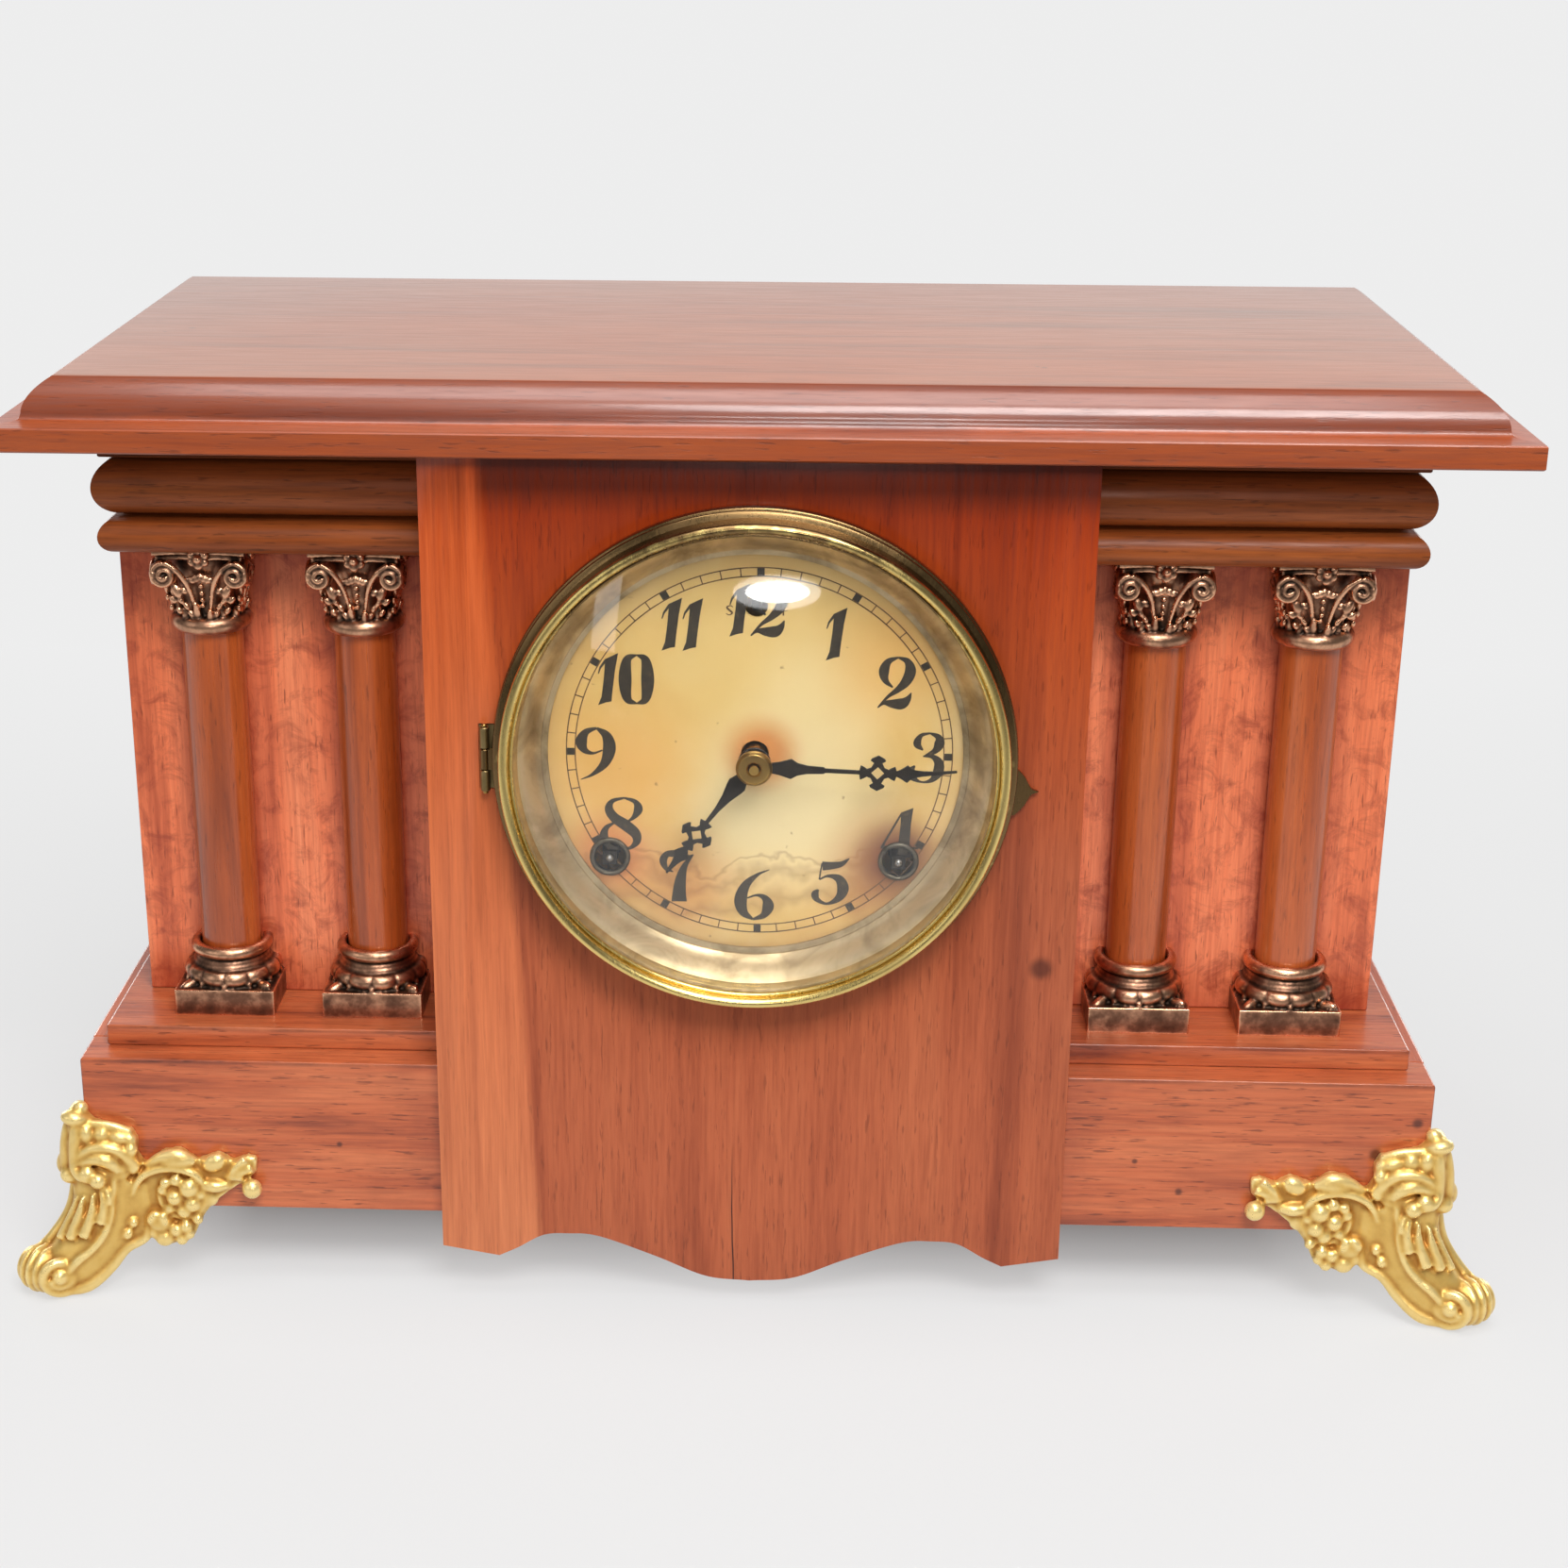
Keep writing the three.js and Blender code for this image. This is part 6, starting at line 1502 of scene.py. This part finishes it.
# %% Dial plate and grommets
def middle_of(node):
    """The x and z of a node's middle."""
    low, high = span(node)
    return (low.x + high.x) / 2, (low.z + high.z) / 2


FACE = dial_low.y + 1.0
HOLES = [middle_of("time_arbor"), middle_of("strike_arbor")]
REGULATOR = middle_of("regulator_arbor")[1]


def dial_plate():
    bm = bmesh.new()
    winding, hands, regulator = 4.7, 4.2, 3.4
    holes = [ring_points(x, z, winding, 40) for x, z in HOLES]
    holes += [ring_points(0, DIAL_Z, hands, 40), ring_points(0, REGULATOR, regulator, 32)]
    flat_plate(bm, ring_points(0, DIAL_Z, (dial_high.x - dial_low.x) / 2, 128), holes, FACE, dial_high.y)
    return finished_mesh("dial_disc", bm)


def grommets():
    bm = bmesh.new()
    profile = [(4.6, 0.7), (4.6, -0.4), *arc(5.4, -0.3, 0.75, 180, 360, 9), (6.2, -0.1), (6.2, 0.1)]
    for x, z in HOLES:
        turned(bm, profile, (x, FACE, z), "Y", 48)
    return finished_mesh("winding_grommets", bm)


piece(dial_plate(), dial_cream, stands_for=["dial_plate"])
piece(grommets(), grommet_tin)
print("winding holes at", [(round(x, 1), round(z, 1)) for x, z in HOLES])

# %% [markdown]
# The minute track repeats sixty times round the centre, which is work for Geometry Nodes: one
# tick is made, copied onto points and turned by its index. The same tree draws ticks and squares.
# Each tree gets named inputs and ends by realizing its copies and giving them a material.

# %% Geometry Nodes helpers
def node_group(name, inputs):
    """An empty tree with named inputs: gives it, the inputs' identifiers and their sockets."""
    tree = bpy.data.node_groups.new(name, "GeometryNodeTree")
    face = tree.interface
    face.new_socket("Geometry", in_out="OUTPUT", socket_type="NodeSocketGeometry")
    sockets = {}
    for label, kind in inputs.items():
        sockets[label] = face.new_socket(label, in_out="INPUT", socket_type="NodeSocket" + kind).identifier
    return tree, sockets, tree.nodes.new("NodeGroupInput").outputs


def close_group(tree, copies, finish):
    """End a tree: make the copies real, give them a material and hand them out."""
    solid = after("GeometryNodeRealizeInstances", {"Geometry": copies.outputs[0]})
    dressed = after("GeometryNodeSetMaterial", {"Geometry": solid.outputs[0], "Material": finish})
    feed(tree.nodes.new("NodeGroupOutput"), {0: dressed.outputs[0]})


def nodes_mesh(name, tree, sockets, values):
    """Run a node tree with its inputs set, and keep the result as a plain mesh."""
    holder = linked_object("holder", bpy.data.meshes.new("blank"))
    step = holder.modifiers.new("nodes", "NODES")
    step.node_group = tree
    for label, value in values.items():
        step[sockets[label]] = value
    return kept_result(holder, name)


def ring_of_marks():
    """A node tree that sets Count small blocks round the dial centre, each turned by its index."""
    tree, sockets, given = node_group("ring of marks", {
        "Count": "Int", "Radius": "Float", "Size": "Vector", "Centre": "Vector", "Ink": "Material"})
    points = after("GeometryNodePoints", {"Count": given["Count"]})
    index = tree.nodes.new("GeometryNodeInputIndex").outputs[0]
    angle = times(index, math_node("DIVIDE", 2 * math.pi, given["Count"]))
    turn = after("ShaderNodeCombineXYZ", {"Y": angle})
    rotation = after("FunctionNodeEulerToRotation", {0: turn.outputs[0]})
    mark = after("GeometryNodeMeshCube", {"Size": given["Size"]})
    lift = after("ShaderNodeCombineXYZ", {"Z": given["Radius"]})
    raised = after("GeometryNodeTransform", {"Geometry": mark.outputs[0], "Translation": lift.outputs[0]})
    copies = after("GeometryNodeInstanceOnPoints", {
        "Points": points.outputs[0], "Instance": raised.outputs[0], "Rotation": rotation.outputs[0]})
    placed = after("GeometryNodeTransform", {"Geometry": copies.outputs[0], "Translation": given["Centre"]})
    close_group(tree, placed, given["Ink"])
    return tree, sockets


marks, mark_sockets = ring_of_marks()
print("ring of marks takes", list(mark_sockets))

# %% [markdown]
# The track is printed a little to the right of the dial's centre, as on the old clock. The ink
# is a few hundredths of a millimetre thick, just enough to lie on the paper.

# %% Minute track
INK = 0.06
PRINT_X = 1.2
TRACK_R = 56.4


def ring_marks(name, count, wide, long, finish, proud=0.0):
    mesh = nodes_mesh(name, marks, mark_sockets, {
        "Count": count, "Radius": TRACK_R * MM, "Size": Vector((wide, INK + proud, long)) * MM,
        "Centre": at(PRINT_X, FACE - INK / 2, DIAL_Z), "Ink": finish})
    piece(mesh, finish)


def track_circles():
    bm = bmesh.new()
    half_line = 0.17
    for radius in (55.1, 57.7):
        inner, outer = radius - half_line, radius + half_line
        turned(bm, [(inner, 0), (outer, 0), (outer, -INK), (inner, -INK)], (PRINT_X, FACE, DIAL_Z), "Y", 160)
    return finished_mesh("track_circles", bm)


ring_marks("minute_ticks", 60, 0.34, 2.6, brown_ink)
ring_marks("five_minute_squares", 12, 2.2, 2.2, ink, 0.02)
piece(track_circles(), brown_ink)
print("minute track: 60 ticks and 12 squares")

# %% [markdown]
# The numerals are drawn like a sign writer's: each is a few strokes whose width swells and thins
# along the way. A stroke is a list of (x, z, width) points, smoothed into a curve. Offsetting it
# to both sides gives the fat and the hairline parts of the old letterform. The straight 1 and 4
# are cut from plain outlines.

# %% Shapes of the numerals
STROKES = {
    "0": [[(0.2, 7.6, 0.4), (-2.4, 6.0, 2.2), (-3.0, 0, 3.3), (-2.4, -6.0, 2.2), (0.2, -7.6, 0.4)],
          [(0.2, 7.6, 0.4), (2.6, 6.0, 2.2), (3.2, 0, 3.3), (2.6, -6.0, 2.2), (0.2, -7.6, 0.4)]],
    "2": [[(-1.0, -1.4, 0.4), (-3.0, 0.7, 1.6), (-3.5, 3.6, 2.6), (-2.4, 6.5, 1.7), (0.3, 7.9, 0.5)],
          [(0.3, 7.9, 0.5), (2.8, 6.7, 1.7), (3.7, 3.8, 2.8), (2.6, 0.5, 2.5), (0.5, -2.0, 1.6), (-2.3, -4.4, 0.8),
           (-4.9, -7.6, 0.3)],
          [(-5.0, -7.8, 0.3), (-3.3, -6.3, 1.0), (-0.8, -6.5, 2.3), (1.6, -6.4, 2.9), (3.2, -5.0, 1.7),
           (4.1, -3.0, 0.25)]],
    "3": [[(-0.9, 2.4, 0.4), (-2.5, 4.4, 2.0), (-1.5, 7.0, 1.1), (1.0, 7.8, 0.5)],
          [(1.0, 7.8, 0.5), (3.2, 6.6, 1.6), (3.6, 4.6, 2.6), (2.4, 2.2, 1.6), (-0.4, 0.6, 0.4)],
          [(-0.8, 0.5, 0.4), (1.8, 0.4, 1.2), (3.6, -1.6, 2.4), (3.4, -4.6, 2.6), (1.8, -7.0, 1.3), (-0.9, -7.7, 0.5),
           (-3.4, -6.4, 1.6), (-4.1, -4.5, 2.2), (-3.0, -2.5, 0.4)]],
    "5": [[(-2.4, 5.8, 0.4), (-2.8, 3.0, 0.4), (-3.1, 0.4, 0.4)],
          [(-2.3, 4.8, 2.5), (0.4, 5.0, 2.0), (3.0, 5.6, 1.5), (5.2, 7.4, 0.3)],
          [(-3.1, 0.4, 0.4), (-0.6, 1.6, 0.8), (2.4, 0.7, 2.2), (3.6, -2.4, 3.0), (2.4, -5.6, 2.0), (-0.8, -7.5, 0.7),
           (-3.6, -6.2, 1.4), (-4.2, -4.4, 2.0), (-3.3, -2.9, 0.5)]],
    "6": [[(4.1, 8.4, 0.2), (0.8, 6.7, 0.9), (-2.5, 3.2, 2.3), (-3.9, -1.6, 3.3), (-3.1, -5.6, 2.4), (-0.4, -8.0, 0.6)],
          [(-0.4, -8.0, 0.6), (2.6, -6.6, 1.8), (3.9, -3.6, 3.0), (3.0, -1.0, 1.8), (0.7, 0.0, 0.7),
           (-2.0, -1.0, 0.4)]],
    "7": [[(-1.1, 1.5, 0.3), (-3.1, 2.6, 1.2), (-3.9, 5.2, 2.0), (-2.6, 7.3, 1.7), (0.4, 7.2, 2.1), (3.2, 6.3, 1.4),
           (4.6, 7.2, 0.3)],
          [(4.2, 6.8, 0.5), (2.1, 3.4, 1.6), (1.0, -1.0, 2.8), (0.6, -5.5, 3.5), (0.6, -8.2, 4.0)]],
    "8": [[(0.7, 8.2, 0.5), (-2.6, 7.1, 1.2), (-3.6, 4.6, 2.2), (-2.1, 1.8, 2.6), (1.0, -0.6, 3.0), (3.7, -3.2, 2.7),
           (4.1, -5.8, 2.0), (2.3, -7.9, 0.9), (-0.6, -8.5, 0.5)],
          [(0.7, 8.2, 0.5), (3.7, 7.0, 1.3), (4.6, 4.6, 2.3), (3.3, 2.0, 1.2), (1.6, 0.6, 0.4)],
          [(-1.8, 0.4, 0.4), (-4.4, -1.6, 1.4), (-5.1, -4.6, 2.3), (-3.8, -7.3, 1.4), (-0.6, -8.5, 0.5)]]}
STROKES["9"] = [[(-x, -z, w) for x, z, w in stroke] for stroke in STROKES["6"]]
SOLIDS = {
    "1": [[(2.55, 8.1), (1.75, 3.0), (1.1, -3.0), (0.75, -7.0), (-0.6, -7.3), (-2.7, -8.2), (-1.8, -5.5), (-1.2, 0),
           (-0.75, 6.2)],
          [(-0.75, 6.3), (-1.2, 5.6), (-2.3, 3.6), (-2.7, 1.6), (-2.4, 1.6), (-1.9, 3.2), (-0.7, 5.0)]],
    "4": [[(3.0, 8.1), (2.5, 3.0), (2.3, -3.0), (2.4, -8.0), (-0.9, -8.0), (-0.6, -3.0), (-0.2, 3.0), (-0.2, 6.5)],
          [(-0.1, 6.6), (-0.7, 5.4), (-4.8, -3.6), (-5.2, -5.0), (-4.4, -5.2), (-4.1, -3.6), (-0.2, 5.2)],
          [(-5.2, -4.2), (-5.2, -5.2), (4.6, -5.2), (4.6, -4.6)]]}
NUMERALS = {
    "12": (-0.3, 229.7), "1": (23.7, 222.8), "2": (41.6, 208.0), "3": (51.0, 184.7), "4": (44.3, 160.6),
    "5": (23.3, 144.6),
    "6": (0.3, 139.5), "7": (-23.3, 145.2), "8": (-40.0, 162.2), "9": (-47.8, 184.5), "10": (-38.5, 207.9),
    "11": (-21.7, 225.1)}
PAIRS = {"10": (-5.2, 3.0), "11": (-3.1, 3.1), "12": (-4.5, 4.1)}
print("digits drawn as strokes:", len(STROKES), "and as outlines:", len(SOLIDS))

# %% [markdown]
# Each stroke becomes a thin strip of ink. Where strokes cross, every next one lies a hair
# higher, so that they do not flicker.

# %% Numerals and letters
def draw_stroke(bm, stroke, x, z, proud, wide=1.0, bold=1.0):
    """One pen stroke round (x, z); wide stretches it sideways and bold fattens it."""
    line = smooth_path([(u * wide, v, w * bold) for u, v, w in stroke], 7 * (len(stroke) - 1) + 1)
    left, other = [], []
    for i, p in enumerate(line):
        a, b = line[max(i - 1, 0)], line[min(i + 1, len(line) - 1)]
        along = Vector((b[0] - a[0], b[1] - a[1])).normalized()
        half = max(p[2], 0.2) / 2
        left.append((x + p[0] - along.y * half, z + p[1] + along.x * half))
        other.append((x + p[0] + along.y * half, z + p[1] - along.x * half))
    front, back = FACE - INK - proud, FACE
    rows = [[[bm.verts.new((px, y, pz)) for px, pz in side] for side in (left, other)] for y in (front, back)]
    (fl, fo), (bl, bo) = rows
    for i in range(len(line) - 1):
        bm.faces.new((fl[i], fo[i], fo[i + 1], fl[i + 1]))
        bm.faces.new((bl[i], bl[i + 1], bo[i + 1], bo[i]))
        bm.faces.new((fl[i], fl[i + 1], bl[i + 1], bl[i]))
        bm.faces.new((fo[i], bo[i], bo[i + 1], fo[i + 1]))
    for i in (0, -1):
        bm.faces.new((fl[i], bl[i], bo[i], fo[i]))


def numerals():
    bm = bmesh.new()
    hair, wide, bold, solid_wide = 0.004, 1.08, 1.18, 1.16
    for text, (x, z) in NUMERALS.items():
        for digit, shift in zip(text, PAIRS.get(text, (0,))):
            for k, stroke in enumerate(STROKES.get(digit, [])):
                draw_stroke(bm, stroke, x + shift, z, hair * k, wide, bold)
            for k, outline in enumerate(SOLIDS.get(digit, [])):
                shape = [(x + shift + u * solid_wide, z + v) for u, v in outline]
                flat_plate(bm, shape, [], FACE - INK - hair * k, FACE)
    return finished_mesh("numerals", bm, 30, 0.0005)


def regulator_letters():
    """S for slow and F for fast, either side of the regulator."""
    bm = bmesh.new()
    slow = [(1.0, 1.0, 0.25), (0.2, 1.4, 0.3), (-0.8, 0.9, 0.5), (0, 0, 0.6), (0.8, -0.8, 0.5), (-0.1, -1.4, 0.3),
            (-1.0, -1.0, 0.25)]
    fast = ([(-0.5, 1.4, 0.5), (-0.5, 0, 0.5), (-0.5, -1.4, 0.5)],
            [(-0.6, 1.3, 0.25), (0.2, 1.3, 0.25), (0.9, 1.3, 0.25)],
            [(-0.5, 0.1, 0.25), (0.1, 0.1, 0.25), (0.6, 0.1, 0.25)])
    z = REGULATOR - 1.4
    draw_stroke(bm, slow, -7.9, z, 0)
    for stroke in fast:
        draw_stroke(bm, stroke, 8.4, z, 0)
    return finished_mesh("regulator_letters", bm, 30, 0.0005)


piece(numerals(), ink)
piece(regulator_letters(), brown_ink)
print("numerals drawn:", len(NUMERALS))

# %% [markdown]
# ## Hands
# The hands are cut from thin black steel: a pointed leaf, a slim stem, a pierced cross and a
# barbed point. Half of the outline is listed and mirrored, then turned clockwise to the time.
# A brass collet holds them.

# %% Hands and collet
def cross_side(c, k):
    """The right side of the pierced cross, centred at c along the hand and k times full size."""
    low = [(0.6, -5.4), (2.2, -5.1), (1.7, -4.0), (1.15, -3.2), (1.6, -2.0), (2.6, -1.5), (3.2, -1.2), (3.9, -2.3),
           (4.5, -1.9)]
    high = [(u, -v) for u, v in low[:0:-1]]
    return [(u * k, c + v * k) for u, v in [*low, (5.5, 0.0), *high, (0.8, 5.6)]]


MINUTE_CROSS, HOUR_CROSS = 36.4, 28.7
MINUTE_SIDE = [
    (1.3, 3.6), (2.0, 7.4), (3.1, 10.9), (1.9, 12.8), (1.25, 15.6), (1.0, 20.6), (0.62, 20.9), (0.58, 30.6),
    *cross_side(MINUTE_CROSS, 1.0), (1.5, 43.4), (2.7, 45.2), (1.7, 46.2), (1.1, 47.6), (0.75, 50.0), (0.5, 54.0),
    (0.3, 60.0)]
HOUR_SIDE = [
    (1.3, 4.6), (2.9, 8.5), (2.6, 10.0), (1.5, 14.0), (0.8, 18.5), (0.62, 22.8), *cross_side(HOUR_CROSS, 0.95),
    (1.8, 35.6), (2.4, 36.8), (1.4, 38.2), (0.9, 40.0), (0.3, 44.0)]


def hand(name, node, side, cross, size, angle, bore, bend=0.0):
    """Cut a hand, turn it to its angle and bend its tip back by some millimetres."""
    low, high = span(node)
    turn = math.radians(angle)

    def spun(u, v):
        return (u * math.cos(turn) + v * math.sin(turn), DIAL_Z + v * math.cos(turn) - u * math.sin(turn))

    outline = [spun(u, v) for u, v in side] + [spun(-u, v) for u, v in reversed(side)]
    hole = [spun(u, cross + v) for u, v in ((0, -size), (size, 0), (0, size), (-size, 0))]
    bm = bmesh.new()
    flat_plate(bm, outline, [hole], low.y, high.y)
    face = low.y - 0.02
    boss = [(bore, face), (4.6, face), (4.9, low.y + 0.2), (4.9, high.y - 0.2), (4.6, high.y), (bore, high.y)]
    turned(bm, boss, DIAL_AXIS, "Y", 48)
    bend_start, bend_run = 38, 22
    for vert in bm.verts:
        out = math.hypot(vert.co.x, vert.co.z - DIAL_Z) - bend_start
        vert.co.y += bend * (max(out, 0) / bend_run) ** 2
    return with_modifiers(finished_mesh(name, bm, 30), soft_edge(0.00012, 60))


def collet():
    low, high = span("hand_collet")
    r, front, back = (high.x - low.x) / 2, low.y, high.y
    profile = [(1.8, back), (r - 0.4, back), (r, back - 0.3), (r, front + 0.9), (r - 0.3, front + 0.6)]
    profile += [(r - 0.5, front + 0.2), *arc(r - 1.1, front + 0.6, 0.6, -10, -90, 4)]
    profile += [(2.3, front + 0.1), (1.8, front + 0.5)]
    return turned_mesh("hand_collet_turned", profile, DIAL_AXIS, "Y", 64, sharp=30)


minute_hand = hand("minute_hand_cut", "minute_hand", MINUTE_SIDE, MINUTE_CROSS, 2.0, 92, 1.8, 4.5)
hour_hand = hand("hour_hand_cut", "hour_hand", HOUR_SIDE, HOUR_CROSS, 1.9, 216.5, 3.5)
piece(minute_hand, black_steel, "minute", ["minute_hand"])
piece(hour_hand, black_steel, "hour", ["hour_hand"])
piece(collet(), brass, "minute", ["hand_collet"])
print("hands set to a quarter past seven")

# %% [markdown]
# ## Movement
# Behind the dial the CAD wheels, plates and arbors are already right, so they only get their
# metals. The winding arbors get a rounded bright end each, seen in their holes.

# %% Movement metals
MOVEMENT = {
    movement_brass: (
        "front_plate", "back_plate", "center_wheel", "second_wheel", "third_wheel", "escape_wheel", "pendulum_bob",
        "minute_wheel", "hour_wheel", "time_great_wheel", "strike_great_wheel", "strike_pin_wheel", "strike_fly"),
    steel: ("verge", "pendulum_rod", "strike_hammer"),
    dark_steel: ("time_arbor", "strike_arbor", "regulator_arbor")}
for metal, names in MOVEMENT.items():
    for name in names:
        dress_node(name, metal)


def arbor_pip(node, radius):
    x, z = middle_of(node)
    end = span(node)[0].y
    round_end = [(radius * math.sin(a), end + radius * 0.2 - radius * math.cos(a)) for a in (0.4, 0.8, 1.2, 1.57)]
    profile = [(0, end - radius * 0.8), *round_end, (radius, end + 0.4), (0, end + 0.4)]
    return turned_mesh(f"{node}_pip", profile, (x, 0, z), "Y", 24, False)


for side in ("time", "strike"):
    piece(arbor_pip(f"{side}_arbor", 1.25), steel, f"{side}_winder")
print("movement nodes dressed:", sum(len(names) for names in MOVEMENT.values()))

# %% [markdown]
# The wound pieces, two mainsprings and the coil gong, are drawn again as smooth steel: a flat
# strip wound round its arbor, its tail hooked on a pillar, and a round rod wound on its post.

# %% Mainsprings and gong
PILLARS = {"time": (14, -49), "strike": (-14, -49)}


def mainspring(side):
    low, high = span(f"{side}_mainspring")
    x, z = HOLES[0] if side == "time" else HOLES[1]
    away = (PILLARS[side][0] - x, PILLARS[side][1] + DIAL_Z - z)
    tail = math.atan2(away[1], away[0])
    reach = math.hypot(*away) - 2.8
    turns, inner, outer, strip = 4, 3.3, 20.0, 1.0
    edges = []
    for t in np.linspace(0, 1, 200):
        angle = tail - (1 - t) * turns * 2 * math.pi
        radius = inner + (outer - inner - strip) * t
        ray = Vector((math.cos(angle), math.sin(angle)))
        edges.append((ray * radius, ray * (radius + strip)))
    along, over = Vector((math.cos(tail), math.sin(tail))), Vector((-math.sin(tail), math.cos(tail)))
    edges.append((along * reach + over * strip, along * reach))
    bm = bmesh.new()
    rows = [[bm.verts.new((x + p.x, y, z + p.y)) for p in pair for y in (low.y, high.y)] for pair in edges]
    for one, two in zip(rows, rows[1:]):
        for a, b in ((0, 1), (1, 3), (3, 2), (2, 0)):
            bm.faces.new((one[a], one[b], two[b], two[a]))
    for end in (rows[0], rows[-1]):
        bm.faces.new((end[0], end[1], end[3], end[2]))
    return finished_mesh(f"{side}_mainspring_wound", bm, 40)


def gong():
    floor = span("gong")[0].z
    x, y, z = -70.0, 76.0, 124.0
    inner, growth, half_turns = 4, 22, 7
    bm = bmesh.new()
    coil = []
    for t in np.linspace(0, 1, 120):
        angle = math.pi / 2 - (1 - t) * half_turns * math.pi
        radius = inner + growth * t
        coil.append((x + radius * math.cos(angle), y, z + radius * math.sin(angle)))
    rod(bm, coil, 1.5, 14, count=240)
    turned(bm, [(0, 73), (4.4, 73), (5, 73.6), (5, 86), (0, 86)], (x, 0, z), "Y", 40, False)
    block(bm, (x - 4, 80, floor), (x + 4, 86, z))
    foot, foot_y = [(-14, 76), (14, 76), (14, 104), (-14, 104)], 90
    loft(bm, [[bm.verts.new((x + u * k, foot_y + (v - foot_y) * k, h)) for u, v in foot]
              for h, k in ((floor, 1.0), (90.6, 1.0), (92.0, 0.9))])
    return finished_mesh("gong_coil", bm, 40)


for side in ("time", "strike"):
    piece(mainspring(side), blue_steel, "case", [f"{side}_mainspring"])
piece(gong(), blue_steel, "case", ["gong"])
print("mainsprings and gong wound")

# %% [markdown]
# ## Back
# The access hole in the back is closed by a stamped tin disc. Two pressed beads and a rolled rim
# stiffen the thin sheet, so it is turned from a profile. It hangs on one slotted screw and swings
# aside. A Boolean cuts the slot, as a saw would.

# %% Stamped cover and its screw
cover_high = span("back_cover")[1]


def stamped_cover():
    face, radius = span("back_board")[1].y + 0.3, cover_high.x
    sheet = face + 0.8
    profile = [(0, face), (radius, face), (radius, face + 0.9), (radius - 0.8, face + 1.5), (radius - 2.0, face + 1.3),
               (radius - 2.6, sheet)]
    for bead in (50.0, 24.0):
        profile += [(bead + 2.4 * math.cos(a), sheet + 1.0 * math.sin(a)) for a in np.linspace(0, math.pi, 9)]
    profile.append((0, sheet))
    return turned_mesh("back_cover_stamped", profile, DIAL_AXIS, "Y", 128, False, 40)


def slotted_screw(name, x, z, radius, under, top):
    profile = [(0, under), (radius, under), (radius, top - 0.7), (radius * 0.85, top - 0.25),
               (radius * 0.5, top - 0.05), (0, top)]
    head = turned_mesh(name, profile, (x, 0, z), "Y", 40, False, 30)
    half_slot, deep = 0.45, 0.6
    saw = bmesh.new()
    block(saw, (x - radius - 1, top - deep, z - half_slot), (x + radius + 1, top + 1, z + half_slot))
    return cut_away(head, saw)


piece(stamped_cover(), tin, "cover", ["back_cover"])
screw = slotted_screw("cover_screw", 0, cover_high.z - 4, 4.0, cover_high.y - 2.4, cover_high.y)
piece(screw, steel, "cover")
print("cover disc is", round(cover_high.x * 2), "mm across")

# %% [markdown]
# The back board is nailed to the edges of the side boards, the top and the base. Nails in a row
# are the same thing many times, so a small node tree spaces them along a rectangle. A little
# random wander, with a fixed seed, keeps the row from looking machine made, because a hammer
# never lands twice on the same line. The heads are driven almost flush, so the swinging cover
# clears them.

# %% Nails by Geometry Nodes
def nail_head():
    bm = bmesh.new()
    turned(bm, [(0, 0.2), (0.9, 0.17), (1.4, 0.08), (1.6, -0.06), (1.6, -0.3), (0, -0.3)], (0, 0, 0), "Y", 20, False)
    bmesh.ops.recalc_face_normals(bm, faces=bm.faces)
    bmesh.ops.scale(bm, vec=(MM, MM, MM), verts=bm.verts)
    mesh = bpy.data.meshes.new("nail_head")
    bm.to_mesh(mesh)
    bm.free()
    mesh.shade_smooth()
    return mesh


def frame_of_nails():
    """A node tree that spaces Count nails along a standing rectangle, each wandering a little."""
    tree, sockets, given = node_group("frame of nails", {
        "Width": "Float", "Height": "Float", "Count": "Int", "Centre": "Vector", "Nail": "Object", "Wander": "Float",
        "Seed": "Int", "Metal": "Material"})
    edge = after("GeometryNodeCurvePrimitiveQuadrilateral", {"Width": given["Width"], "Height": given["Height"]})
    spaced = after("GeometryNodeResampleCurve", {"Curve": edge.outputs[0], "Count": given["Count"]})
    chance = after("FunctionNodeRandomValue", {0: (-1, -1, 0), 1: (1, 1, 0), "Seed": given["Seed"]},
                   data_type="FLOAT_VECTOR")
    stray = after("ShaderNodeVectorMath", {0: chance.outputs[0], "Scale": given["Wander"]}, operation="SCALE")
    strayed = after("GeometryNodeSetPosition", {"Geometry": spaced.outputs[0], "Offset": stray.outputs[0]})
    stood = after("GeometryNodeTransform", {
        "Geometry": strayed.outputs[0], "Translation": given["Centre"], "Rotation": (math.pi / 2, 0, 0)})
    nail = after("GeometryNodeObjectInfo", {"Object": given["Nail"]})
    copies = after("GeometryNodeInstanceOnPoints", {
        "Points": stood.outputs[0], "Instance": nail.outputs["Geometry"]})
    close_group(tree, copies, given["Metal"])
    return tree, sockets


nail = linked_object("nail_head", nail_head())
back_low, back_high = span("back_board")
side_low, side_high = span("side_right")
edge_room = 14
nail_rows = nodes_mesh("back_nails", *frame_of_nails(), {
    "Width": (side_low.x + side_high.x) * MM, "Height": (back_high.z - back_low.z - edge_room) * MM, "Count": 22,
    "Centre": at(0, back_high.y, (back_low.z + back_high.z) / 2), "Nail": nail, "Wander": 1.2 * MM, "Seed": 7,
    "Metal": dark_steel})
bpy.data.objects.remove(nail)
piece(nail_rows, dark_steel)
print("nails:", len(nail_rows.vertices), "points")
